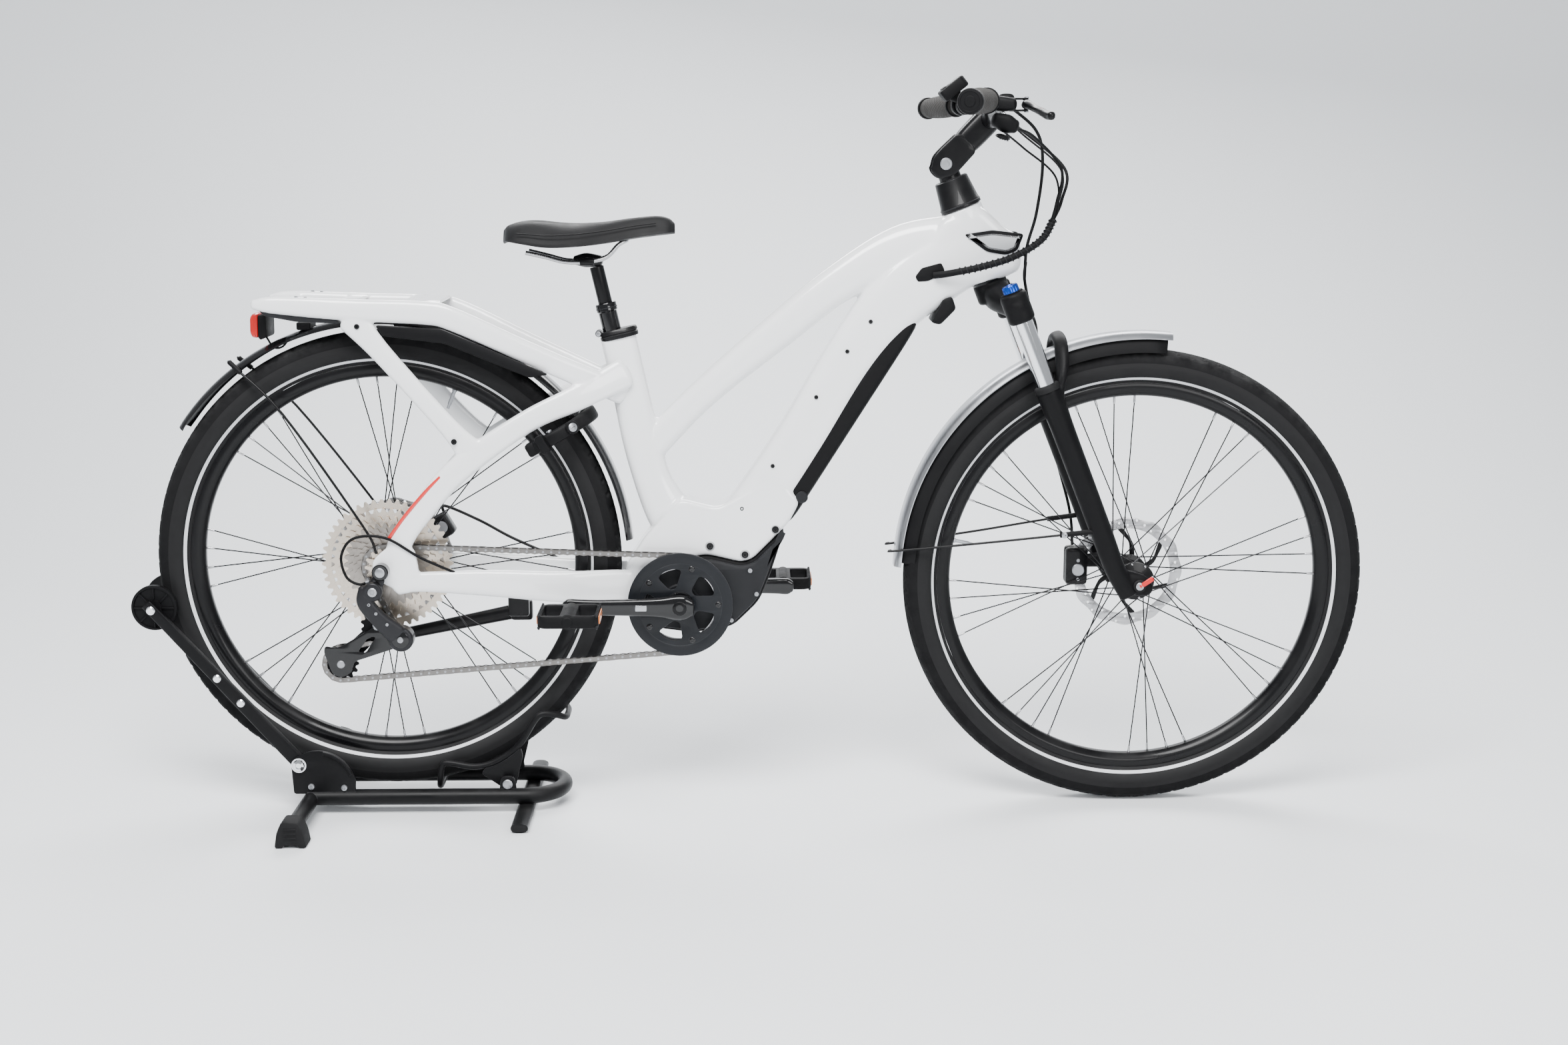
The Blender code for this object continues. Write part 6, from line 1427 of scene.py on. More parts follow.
def crown_trim():
    """The preload cap, dust seals under the crown's sockets, and the steerer's bottom plug."""
    shape = Shape()
    cap = steer(-0.0255, AHEAD_OF, LEG)
    shape.add(plug([(0.015, 0.0), (0.015, 0.006), (0.0135, 0.0085)], cap, UP, 40), 0)
    shape.add(plug([(0.017, 0.0), (0.017, 0.0006)], steer(-0.0252, AHEAD_OF, -LEG), UP, 40), 0)
    shape.add(turned([(0.015, -0.01), (0.0225, -0.01), (0.028, 0.0), (0.015, 0.0)], steer(0.0), UP, 56,
                     loop=True), 1)
    return piece("crown_caps", shape, "steering", [PLASTIC, BLACK])


def chrome_tube(side, s):
    profile = capped([(0.0143, 0.0), (0.015, 0.0007), (0.015, 0.334), (0.0143, 0.3348)])
    shape = Shape().add(turned(profile, steer(-0.365, AHEAD_OF, s * LEG), UP, 64))
    return piece(f"chrome_tube_{side}", shape, "steering", [CHROME], f"stanchion_{side}")


def lockout():
    """A round knob with finger flats, printed arrows left out."""
    a = np.linspace(0, 2 * np.pi, 96, endpoint=False)
    grip_radius = 0.0128 - 0.0006 * (np.cos(12 * a) > 0.4)
    shape = Shape()
    base = steer(-0.0245, AHEAD_OF, -LEG)
    u = np.cross(UP, SIDE)
    levels = np.array([[0.0, 0.95], [0.0004, 1.0], [0.0095, 0.98], [0.0112, 0.88], [0.0115, 0.6],
                       [0.0105, 0.55], [0.0105, 0.0]])
    levels = np.concatenate([[[0.0, 0.0]], levels])
    r = levels[:, 1][None] * np.where(levels[None, :, 1] > 0.9, grip_radius[:, None], 0.0128)
    points = base + levels[None, :, :1] * UP + r[..., None] * (np.cos(a)[:, None, None] * u + np.sin(a)[:,
            None, None] * SIDE)
    shape.add((points.reshape(-1, 3), [quads(96, len(levels), True, False)]), 0)
    return piece("lockout_dial", shape, "lockout_knob", [BLUE], "lockout_knob")


def lowers():
    surfaces = []
    for s in (-1, 1):
        leg = [(*steer(-0.186, AHEAD_OF, s * LEG), 0.0395, 0.0395), (*steer(-0.215, AHEAD_OF, s * LEG), 0.039,
                0.039), (*steer(-0.26, AHEAD_OF, s * LEG), 0.036, 0.036), (*steer(-0.42, AHEAD_OF, s * LEG),
                0.0345, 0.0345), (*steer(-0.49, AHEAD_OF, s * LEG), 0.0325, 0.031),
               (*steer(-0.538, AHEAD_OF + 0.006, s * 0.065), 0.03, 0.022)]
        surfaces.append(bar_through(leg, power=2.0, ends=0.06, sides=48))
        foot = [(*steer(-0.505, AHEAD_OF + 0.002, s * 0.065), 0.03, 0.016),
                (*(FRONT + SIDE * s * 0.064), 0.036, 0.0155), (*(FRONT + xyz(0.013, s * 0.064, -0.006)),
                0.024, 0.014)]
        surfaces.append(bar_through(foot, power=2.4, ends=0.4))
    arch = [(*steer(-0.205, 0.03, -LEG), 0.026, 0.016), (*steer(-0.165, 0.052, -0.06), 0.024, 0.015),
            (*steer(-0.132, 0.066, -0.038), 0.022, 0.015), (*steer(-0.122, 0.069, 0.0), 0.021, 0.015),
            (*steer(-0.132, 0.066, 0.038), 0.022, 0.015), (*steer(-0.165, 0.052, 0.06), 0.024, 0.015),
            (*steer(-0.205, 0.03, LEG), 0.026, 0.016)]
    surfaces.append(bar_through(arch, power=2.4, ends=0.1, across=UP))
    surfaces.append(block(FRONT + xyz(-0.046, 0.06, 0.012), (0.052, 0.016, 0.014), 0.003))
    return piece("fork_casting", welded("casting_form", surfaces, 0.002, 5), "fork_lowers", [MATTE],
                 "fork_lowers", crease=60)


def fork_trim():
    """Wiper seals, the axle's cap and its red lever, screws under the feet."""
    shape = Shape()
    for s in (-1, 1):
        shape.add(turned([(0.0152, 0.0), (0.0212, 0.0), (0.0212, 0.006), (0.0195, 0.009), (0.0165, 0.0105),
                          (0.0152, 0.0105)], steer(-0.187, AHEAD_OF, s * LEG), UP, 56, loop=True), 0)
        shape.add(plug([(0.01, 0.0), (0.01, 0.003), (0.0085, 0.0042)], FRONT + SIDE * s * 0.0722, SIDE * s,
                       40), 0)
        shape.add(fastener(FRONT + SIDE * s * 0.076, SIDE * s, 0.0062, 0.0014), 1)
    lever = [FRONT + xyz(0.0, -0.0745, 0.0), FRONT + xyz(0.008, -0.0765, 0.005),
             FRONT + xyz(0.018, -0.077, 0.012)]
    shape.add(bar_through([(*p, 0.0075, 0.004) for p in lever], power=3, ends=0.4), 2)
    return piece("fork_seals_and_caps", shape, "fork_lowers", [DARKRUB, ZINC, REDMETAL])


crown()
crown_trim()
for side, s in both_sides():
    chrome_tube(side, s)
lockout()
lowers()
fork_trim()

# %% [markdown]
# The front mudguard, its wire stays with rubber sleeves, and the brake caliper move with the
# lower casting.

# %% Front mudguard and brake


def front_guard():
    centre = FRONT + xyz(0.004, 0.0, 0.008)
    shape = Shape().add(guard(centre, 83, 178, 0.03, 0.385, 0.01, steps=64), 0)
    side_skirt = guard(centre, 84, 177, 0.0312, 0.3838, 0.03, 0.001, steps=62)
    shape.add(side_skirt, 1)
    for s in (-1, 1):
        tail = FRONT + xyz(-0.381, s * 0.032, 0.05)
        lower = [FRONT + xyz(-0.052, s * 0.074, 0.09), FRONT + xyz(-0.12, s * 0.07, 0.082),
                 FRONT + xyz(-0.25, s * 0.05, 0.065), tail, tail + xyz(-0.006, -s * 0.002, 0.001)]
        shape.add(tube(through(lower, 8), 0.0019, 12), 2)
        shape.add(rod(lower[1] * 0.06 + lower[0] * 0.94, lower[1] * 1.1 - lower[0] * 0.1, 0.0042, 16), 1)
        for k in (0.1, 1.0):
            shape.add(fastener(lower[0] + (lower[1] - lower[0]) * k + SIDE * s * 0.0036, SIDE * s, 0.0048,
                               0.002), 0)
    return piece("mudguard_front", shape, "fork_lowers", [ALUMINIUM, PLASTIC, BLACK], "front_mudguard")


def front_brake():
    shape = Shape()
    mid = FRONT + xyz(-0.081, 0.0425, 0.005)
    for s in (-1, 1):
        shape.add(block(mid + SIDE * s * 0.0082 + UP * 0.006, (0.036, 0.062, 0.012), 0.0045, corner=0.008), 0)
        shape.add(plug([(0.01, 0.0), (0.01, 0.002), (0.0088, 0.0032)], mid + SIDE * s * 0.0138, SIDE * s, 32),
                  1)
        for k in (-0.0155, 0.0155):
            shape.add(fastener(mid + xyz(0.0, s * 0.014, k), SIDE * s, 0.003, 0.0016), 1)
    shape.add(block(mid + xyz(-0.013, 0, 0), (0.01, 0.04, 0.026), 0.003), 0)
    return piece("front_brake_caliper", shape, "fork_lowers", [BLACK, ZINC], "front_caliper")


front_guard()
front_brake()

# %% [markdown]
# The stem stands on a cone over the head tube, tips about one bolt and holds the bar in a clamp.
# The bar, its levers and the cables come next. A cable is a smooth curve through a few points.

# %% Stem, bar and grips


def bar_at(x, z, y=0.0):
    return BAR + xyz(x, y, z)


def stem_base():
    cone = [(0.0148, 0.1195), (0.0322, 0.1195), (0.0325, 0.121), (0.0312, 0.1275), (0.0308, 0.128),
            (0.0262, 0.164), (0.0258, 0.1652), (0.024, 0.1662), (0.0148, 0.1662)]
    shape = Shape().add(turned(cone, HEAD, UP, 72, loop=True), 0)
    shape.add(rod(steer(0.16), steer(0.182), 0.0172, 48, 0.001), 0)
    shape.add(bar_through([(*steer(0.172), 0.033, 0.031), (*STEM, 0.035, 0.0325)], power=2.8, ends=0.45), 0)
    shape.add(turned([(0.0322, 0.1232), (0.033, 0.124), (0.0322, 0.1248), (0.031, 0.124)], HEAD, UP, 72,
                     loop=True), 1)
    return piece("stem_foot", shape, "steering", [BLACK, GREYPLASTIC], "stem_base")


def stem_arm():
    """Two cheeks that fork over the foot, then one body round the bar, with a four-bolt face plate."""
    shape = Shape()
    along = (BAR - STEM) / np.linalg.norm(BAR - STEM)
    across = np.cross(along, SIDE)
    for s in (-1, 1):
        cheek = [(*(STEM - along * 0.018 + SIDE * s * 0.0192), 0.026, 0.004),
                 (*(STEM + SIDE * s * 0.0192), 0.042, 0.0042), (*(STEM + along * 0.04 + SIDE * s * 0.019),
                0.041, 0.0044)]
        shape.add(bar_through(cheek, power=3.0, ends=0.25), 0)
        shape.add(plug([(0.0092, 0.0), (0.0092, 0.0016), (0.008, 0.0026), (0.005, 0.0026), (0.005, 0.0006)],
                       STEM + SIDE * s * 0.0213, SIDE * s, 40), 1)
    body = [(*(STEM + along * 0.037), 0.036, 0.04), (*(STEM + along * 0.055), 0.041, 0.0415),
            (*(BAR - along * 0.004), 0.041, 0.042), (*(BAR + along * 0.0145), 0.036, 0.0415)]
    shape.add(bar_through(body, power=3.4, ends=0.1), 0)
    for s in (-1, 1):
        for k in (-1, 1):
            spot = BAR + along * 0.0185 + SIDE * s * 0.015 + across * k * 0.0115
            shape.add(fastener(spot, along, 0.0034, 0.002), 1)
    shape.add(rod(STEM - SIDE * 0.0212, STEM + SIDE * 0.0212, 0.0042, 24), 1)
    return piece("stem_arm_body", shape, "stem", [BLACK, ZINC], "stem_arm")


BAR_ROUTE = [bar_at(0, 0, 0), bar_at(0, 0, 0.035), bar_at(-0.006, 0.008, 0.075), bar_at(-0.014, 0.018, 0.115),
             bar_at(-0.026, 0.022, 0.197), bar_at(-0.029, 0.022, 0.217), bar_at(-0.066, 0.019, 0.34)]


def handlebar():
    left = np.array(BAR_ROUTE)
    path = np.concatenate([(left * [1, -1, 1])[:0:-1], left])
    fine = through(path, 10)
    swell = 0.0111 + 0.0045 * np.exp(-(fine[:, 1] / 0.038) ** 6)
    shape = Shape().add(tube(fine, swell, 32), 0)
    for s in (-1, 1):
        clamp = np.array([bar_at(-0.0245, 0.0218, s * 0.176), bar_at(-0.027, 0.0218, s * 0.19)])
        shape.add(rod(clamp[0], clamp[1], 0.0162, 36, 0.002), 1)
        housing = [(*bar_at(-0.016, 0.02, s * 0.17), 0.022, 0.024), (*bar_at(0.002, 0.018, s * 0.174), 0.021,
                0.024), (*bar_at(0.014, 0.0175, s * 0.176), 0.018, 0.022)]
        shape.add(bar_through(housing, power=3.2, ends=0.3), 1)
        tank = [(*bar_at(0.006, 0.024, s * 0.158), 0.019, 0.024), (*bar_at(0.006, 0.023, s * 0.13), 0.018,
                0.022)]
        shape.add(bar_through(tank, power=3.0, ends=0.25, across=(1, 0, 0)), 1)
        shape.add(fastener(bar_at(-0.0255, 0.04, s * 0.183), (0, 0, 1), 0.0034, 0.002), 2)
        shape.add(rod(bar_at(0.0335, 0.006, s * 0.172), bar_at(0.0335, 0.0285, s * 0.172), 0.0034, 24), 2)
        for k in (0.009, 0.0255):
            nose = [(*bar_at(0.01, k, s * 0.1715), 0.0032, 0.013), (*bar_at(0.0335, k, s * 0.172), 0.0032,
                    0.011)]
            shape.add(bar_through(nose, power=2.6, ends=0.9), 1)
    pod = [(*bar_at(-0.012, -0.004, -0.18), 0.02, 0.026), (*bar_at(0.004, -0.01, -0.18), 0.027, 0.029),
           (*bar_at(0.016, -0.014, -0.18), 0.02, 0.026)]
    shape.add(bar_through(pod, power=3.0, ends=0.3), 1)
    return piece("bar_and_clamps", shape, "stem", [BLACK, PLASTIC, ZINC], "handlebar")


def grip(side, s):
    """The radius carries two rings and rows of small hexagon dots: a bump of 0.5 mm where a
    triangular lattice in (along, round) passes close to one of its points."""
    inner, end = (np.array(BAR_ROUTE[k]) * [1, s, 1] for k in (-2, -1))
    axis = (end - inner) / np.linalg.norm(end - inner)
    length = np.linalg.norm(end - inner) + 0.004
    v = np.linspace(0.001, length - 0.01, 150)
    a = np.linspace(0, 2 * np.pi, 144, endpoint=False)
    body = 0.0168 + 0.0012 * np.cos((v / length - 0.45) * 5) + 0.0008 * (np.abs(v - 0.004) < 0.0025)
    pitch = 0.0062
    row = np.round(v / (pitch * 0.866))
    from_row = np.abs(v - row * pitch * 0.866)[None, :]
    around = a[:, None] * 0.0175 / pitch + 0.5 * (row % 2)[None, :]
    from_dot = np.abs(around - np.round(around)) * pitch
    near = np.sqrt(from_row ** 2 + from_dot ** 2) < 0.0019
    in_field = ((v > 0.016) & (v < length - 0.03))[None, :]
    radius = body[None] + 0.00055 * (near & in_field)
    u0 = np.cross(axis, [0, 0, 1.0])
    u0 /= np.linalg.norm(u0)
    w = np.cross(axis, u0)
    points = inner + v[None, :, None] * axis + radius[...,
            None] * (np.cos(a)[:, None, None] * u0 + np.sin(a)[:, None, None] * w)
    shape = Shape().add((points.reshape(-1, 3), [quads(144, 150, True, False)]), 0)
    shape.add(turned([(0, 0.0015), (0.0165, 0.0015), (0.0165, 0.0)], inner, axis, 48), 0)
    cap = length - 0.0105
    shape.add(turned([(0, cap), (0.0176, cap), (0.0182, cap + 0.0012), (0.0182, cap + 0.007),
                      (0.0172, cap + 0.0092), (0.014, cap + 0.0096), (0.0132, cap + 0.0088),
                      (0.008, cap + 0.0088), (0.007, cap + 0.0098), (0, cap + 0.0098)], inner, axis, 64), 1)
    shape.add(turned([(0.016, 0.0), (0.0188, 0.0004), (0.0188, 0.0046), (0.016, 0.005)], inner, axis, 64,
                     loop=True), 1)
    return piece(f"grip_sleeve_{side}", shape, "stem", [GRIP, PLASTIC], f"grip_{side}")


stem_base()
stem_arm()
handlebar()
for side, s in both_sides():
    grip(side, s)

# %% [markdown]
# Levers, the shift paddle and the display sit on the bar; the cables leave them forwards, meet
# in a spiral-wrapped bundle at the head's right side and go into the frame.

# %% Levers, display and cables


def brake_lever(side, s):
    root = np.array(JOINTS[f"brake_lever_{side}_pull"]["pos_m"])
    blade = [(*(root - SIDE * s * 0.007), 0.009, 0.013), (*(root + SIDE * s * 0.004), 0.013, 0.0145),
             (*(root + SIDE * s * 0.016), 0.0115, 0.012), (*bar_at(0.042, 0.01, s * 0.215), 0.0105, 0.0095),
             (*bar_at(0.0455, 0.005, s * 0.255), 0.012, 0.009), (*bar_at(0.048, 0.001, s * 0.285), 0.0125,
            0.0095), (*bar_at(0.0515, 0.0, s * 0.3), 0.012, 0.011)]
    shape = Shape().add(bar_through(blade, power=2.5, ends=0.4, across=(1, 0, 0)), 0)
    shape.add(plug([(0.0052, 0.0), (0.0052, 0.001), (0.0042, 0.0016)], root + xyz(0, 0, 0.006), (0, 0, 1),
                   28), 1)
    shape.add(plug([(0.0026, 0.0), (0.0026, 0.0006)], bar_at(0.0452, 0.0108, s * 0.25), (0, 0, 1), 18), 2)
    return piece(f"lever_blade_{side}", shape, f"brake_lever_{side}", [BLACK, ZINC, REDMETAL],
                 f"brake_lever_{side}")


def shift_paddle():
    spot = bar_at(-0.003, -0.029, -0.196)
    shape = Shape()
    shape.add(bar_through([(*(spot + xyz(0.002, 0.014, 0.002)), 0.0045, 0.016), (*spot, 0.005, 0.022),
                           (*(spot + xyz(-0.002, -0.014, -0.001)), 0.0046, 0.017)], power=2.6, ends=0.5,
                          across=(1, 0, -0.27)), 0)
    for k in range(4):
        shape.add(block(spot + xyz(-0.004 + 0.0035 * k, -0.004, -0.0024 - 0.0009 * k),
                        (0.0012, 0.016, 0.0016), 0.0004, up=(0, 1, 0)), 1)
    return piece("shift_paddle", shape, "shift_lever", [PLASTIC, GREYPLASTIC], "shift_lever")


def display():
    """An angular control unit inboard of the left grip: a tilted case, a glass face and three keys."""
    mid = bar_at(-0.04, 0.048, 0.165)
    a = math.radians(38)
    face_up, face_out = xyz(math.cos(a), 0, math.sin(a)), xyz(-math.sin(a), 0, math.cos(a))
    shape = Shape()
    line = softened([(-0.023, -0.027), (0.017, -0.027), (0.023, -0.02), (0.023, 0.02), (0.017, 0.027),
                     (-0.023, 0.027)], 0.005, 4)
    where = plane(mid, face_up, SIDE)
    flip = 1 if np.cross(face_up, SIDE) @ face_out > 0 else -1
    shape.add(slab(line, -0.0095, 0.0095, 0.0028, where=where), 0)
    glass = softened([(-0.002, -0.022), (0.019, -0.022), (0.019, 0.022), (-0.002, 0.022)], 0.004, 4)
    low, high = sorted((flip * 0.009, flip * 0.0102))
    shape.add(slab(glass, low, high, 0.0005, where=where), 1)
    for k in (-1, 0, 1):
        shape.add(block(mid - face_up * 0.0125 + SIDE * k * 0.0145 + face_out * 0.01, (0.01, 0.008, 0.0026),
                        0.0009, SIDE, face_up), 2)
    foot = [(*(mid - face_out * 0.008 - face_up * 0.006), 0.02, 0.022), (*bar_at(-0.021, 0.03, 0.16), 0.018,
            0.018)]
    shape.add(bar_through(foot, power=3, ends=0.2), 0)
    shape.add(rod(bar_at(-0.0195, 0.0212, 0.15), bar_at(-0.0215, 0.0214, 0.168), 0.015, 36, 0.0015), 0)
    return piece("display_unit", shape, "stem", [PLASTIC, GLOSS, GREYPLASTIC], "display")


def cable_sleeve():
    """The woven sleeve from the bars' bundle to the port, fixed in place."""
    shape = Shape()
    bundle = through([near_head(0.094, 0.094, -0.04), near_head(0.074, 0.063, -0.05),
                      near_head(0.03, 0.037, -0.052), near_head(-0.02, 0.022, -0.052),
                      near_head(-0.068, 0.012, -0.046), near_head(-0.088, 0.009, -0.038)], 16)
    shape.add(tube(bundle, 0.0052, 20), 0)
    side, up = carried(bundle)
    turns = np.linspace(0, 2 * np.pi * 22, 420)
    share = np.linspace(0, (len(bundle) - 1) * 0.72, 420)
    mid, s_dir, u_dir = (np.stack([np.interp(share, np.arange(len(bundle)), m[:, k]) for k in range(3)],
                                  axis=1) for m in (bundle, side, up))
    spiral = mid + 0.0058 * (np.cos(turns)[:, None] * s_dir + np.sin(turns)[:, None] * u_dir)
    shape.add(tube(spiral, 0.001, 8), 1)
    bend = ("steering", "bike_frame", near_head(0.094, 0.094, -0.04), near_head(-0.06, 0.012, -0.046))
    return piece("cable_sleeve", shape, bend, [PLASTIC, GREYPLASTIC])


def cables():
    shape = Shape()
    routes = {"shift": ([bar_at(0.018, -0.016, -0.182), bar_at(0.052, -0.03, -0.135),
                         near_head(0.098, 0.17, -0.08), near_head(0.096, 0.12, -0.052),
                         near_head(0.088, 0.084, -0.043)], 0.0022), "rear_brake": ([bar_at(0.01, 0.02, 0.122),
            bar_at(0.06, -0.02, 0.06), near_head(0.112, 0.17, -0.02), near_head(0.106, 0.122, -0.036),
            near_head(0.092, 0.09, -0.04)], 0.0024), "display": ([bar_at(-0.03, 0.036, 0.135),
            bar_at(0.02, 0.02, 0.085), bar_at(0.05, -0.02, 0.03), near_head(0.104, 0.17, -0.03),
            near_head(0.1, 0.118, -0.042), near_head(0.088, 0.086, -0.044)], 0.0016),
              "motor": ([bar_at(0.0, -0.018, -0.15), bar_at(0.04, -0.045, -0.1), near_head(0.09, 0.16, -0.07),
                         near_head(0.099, 0.11, -0.046), near_head(0.09, 0.088, -0.038)], 0.0016),
              "front_brake": ([bar_at(0.01, 0.02, -0.122), bar_at(0.06, -0.02, -0.09),
                               near_head(0.073, 0.178, -0.055), near_head(0.066, 0.105, -0.05),
                               near_head(0.052, 0.052, -0.052), near_head(0.05, 0.004, -0.048)], 0.0024)}
    for route, radius in routes.values():
        shape.add(tube(through(route, 14), radius, 14), 0)
    bend = ("stem", "steering", near_head(0.07, 0.24, 0.0), near_head(0.09, 0.1, 0.0))
    return piece("cables_and_hoses", shape, bend, [PLASTIC], "control_cables")


def front_hose():
    """From the crown down the left leg to the caliper, fixed in place."""
    route = [near_head(0.051, 0.03, -0.0505), near_head(0.05, 0.004, -0.048), near_head(0.066, -0.045, 0.0),
             near_head(0.082, -0.075, 0.048), near_head(0.094, -0.12, 0.095), near_head(0.118, -0.26, 0.097),
             near_head(0.15, -0.38, 0.094), near_head(0.152, -0.44, 0.064)]
    bend = ("steering", "fork_lowers", near_head(0.066, -0.045, 0.0), near_head(0.118, -0.26, 0.0))
    shape = Shape().add(tube(through(route, 12), 0.0024, 14), 0)
    return piece("front_brake_hose", shape, bend, [PLASTIC])


for side, s in both_sides():
    brake_lever(side, s)
shift_paddle()
display()
cable_sleeve()
cables()
front_hose()

# %% [markdown]
# A sprung post carries the saddle. The saddle's top is one surface over two numbers, along and
# across: a half width and a height that change along it, and a crown that falls off towards the
# edge, with the middle pressed in. Such a cover is firm foam, moulded to shape, so a worked-out
# surface suits it better than simulated cloth.

# %% Seat post and saddle


def outer_post():
    shape = Shape()
    shape.add(turned([(0.0, -0.17), (0.0138, -0.17), (0.0145, -0.169), (0.0145, 0.0335), (0.0163, 0.035),
                      (0.0163, 0.0455), (0.0155, 0.047), (0.0114, 0.047), (0.0114, -0.1), (0.0, -0.1)],
                     post(0.0), POST_UP, 64), 0)
    shape.add(turned([(0.0158, 0.0385), (0.0168, 0.039), (0.0168, 0.0402), (0.0158, 0.0407)], post(0.0),
                     POST_UP, 64, loop=True), 1)
    return piece("post_tube", shape, "seatpost_outer", [GLOSS, GREYPLASTIC], "seatpost_outer")


def inner_post():
    """The sprung tube and the clamp with its two bolts."""
    shape = Shape()
    shape.add(plug([(0.0102, -0.055), (0.0109, -0.054), (0.0109, 0.104), (0.01, 0.105)], post(0.0), POST_UP,
                   56), 0)
    head = [(*(SEAT + xyz(-0.031, 0, 0.003)), 0.014, 0.028), (*(SEAT + xyz(-0.014, 0, 0.003)), 0.022, 0.032),
            (*(SEAT + xyz(0.008, 0, 0.002)), 0.016, 0.028)]
    shape.add(bar_through(head, power=3, ends=0.25), 0)
    for s in (-1, 1):
        shape.add(rod(SEAT + xyz(-0.022, s * 0.0235, 0.0015), SEAT + xyz(0.0, s * 0.0235, 0.0015), 0.0062,
                      24), 0)
    shape.add(fastener(SEAT + xyz(-0.012, -0.016, 0.003), -SIDE, 0.005, 0.0024), 1)
    shape.add(fastener(SEAT + xyz(-0.012, 0.016, 0.003), SIDE, 0.005, 0.0024), 1)
    return piece("sprung_post", shape, "seatpost_inner", [BLACK, ZINC], "seatpost_inner")


def rails():
    half = [(-0.105, 0.016, 0.028), (-0.075, 0.009, 0.0235), (-0.045, 0.0015, 0.0235),
            (-0.01, 0.0015, 0.0235), (0.018, 0.008, 0.02), (0.036, 0.026, 0.014), (0.048, 0.033, 0.008)]
    right = [SEAT + xyz(x, -y, z) for x, z, y in half]
    left = [SEAT + xyz(x, y, z) for x, z, y in half]
    shape = Shape().add(tube(through(np.array(right + left[::-1]), 8), 0.0034, 16))
    return piece("saddle_wires", shape, "saddle", [STEEL], "saddle_rails")


def saddle_shell():
    """Half width w(x) and middle height h(x) by smooth curves through stations; the section is
    z = h - drop |u|^3 with a groove, closed underneath by a shallow belly."""
    rows_ = np.array([(-0.1395, 0.05, 0.02, 0.02), (-0.13, 0.058, 0.055, 0.026),
                      (-0.108, 0.0625, 0.074, 0.034), (-0.07, 0.061, 0.0805, 0.038),
                      (-0.028, 0.06, 0.07, 0.036), (0.015, 0.0625, 0.047, 0.034),
                      (0.058, 0.0675, 0.0305, 0.032), (0.095, 0.0705, 0.0235, 0.03),
                      (0.114, 0.067, 0.019, 0.024), (0.1235, 0.059, 0.009, 0.014)])
    line = through(rows_, 12)
    x, h, w, drop = line.T[:, :, None]
    u = np.linspace(-1, 1, 49)[None]
    groove = 0.0042 * np.exp(-((x + 0.045) / 0.055) ** 2) * np.exp(-(u * w / 0.011) ** 2)
    rise = 0.0045 * np.exp(-((x + 0.085) / 0.035) ** 2) * np.exp(-((np.abs(u) - 0.52) / 0.24) ** 2)
    z_top = h - drop * np.abs(u) ** 3.0 - groove + rise
    z_low = h - drop * 0.92 - 0.003 * (1 - u ** 2)
    over = np.stack([x + 0 * u, w * u, np.maximum(z_top, z_low + 0.0002)], axis=-1)
    under = np.stack([x + 0 * u, w * u * 0.96, z_low], axis=-1)[:, ::-1]
    ring = np.concatenate([over, under], axis=1) + SEAT
    n, k = ring.shape[:2]
    middle = ring.mean(axis=1)
    points = np.concatenate([ring.reshape(-1, 3), middle[:1], middle[-1:]])
    i = np.arange(k)
    first = np.stack([(i + 1) % k, i, np.full(k, n * k)], axis=1)
    last = np.stack([i + (n - 1) * k, (i + 1) % k + (n - 1) * k, np.full(k, n * k + 1)], axis=1)
    return Shape().add((points, [quads(n, k), first, last]), 0)


def saddle():
    shape = saddle_shell()
    seam = []
    for s in (-1, 1):
        route = [(-0.115, 0.047, 0.0665), (-0.07, 0.044, 0.0735), (-0.028, 0.045, 0.064),
                 (0.015, 0.049, 0.043), (0.058, 0.0555, 0.0283), (0.095, 0.06, 0.0218)]
        seam.append(tube(through([SEAT + xyz(x, s * y, z) for x, z, y in route], 10), 0.0008, 8))
    for line in seam:
        shape.add(line, 1)
    return piece("saddle_cover", shape, "saddle", [SADDLESKIN, PLASTIC], "saddle", crease=50)


outer_post()
inner_post()
rails()
cover = saddle()

# %% [markdown]
# The stand is bent tube and flat bar, powder coated. The bent tube is one path with straight
# legs and a half-round nose; bars and plates are cut outlines; bolts are turned.

# %% Stand base
ARM, ROLLER, CRADLE = pin("stand_arm_pivot"), pin("stand_roller_spin"), pin("stand_cradle_rock")


def under_tyre(x, below, y=0.0):
    """The point under the rear tyre, x from its axle and below its tread."""
    return at(x, REAR[2] - math.sqrt((TYRE_TOP + below) ** 2 - x * x), y)


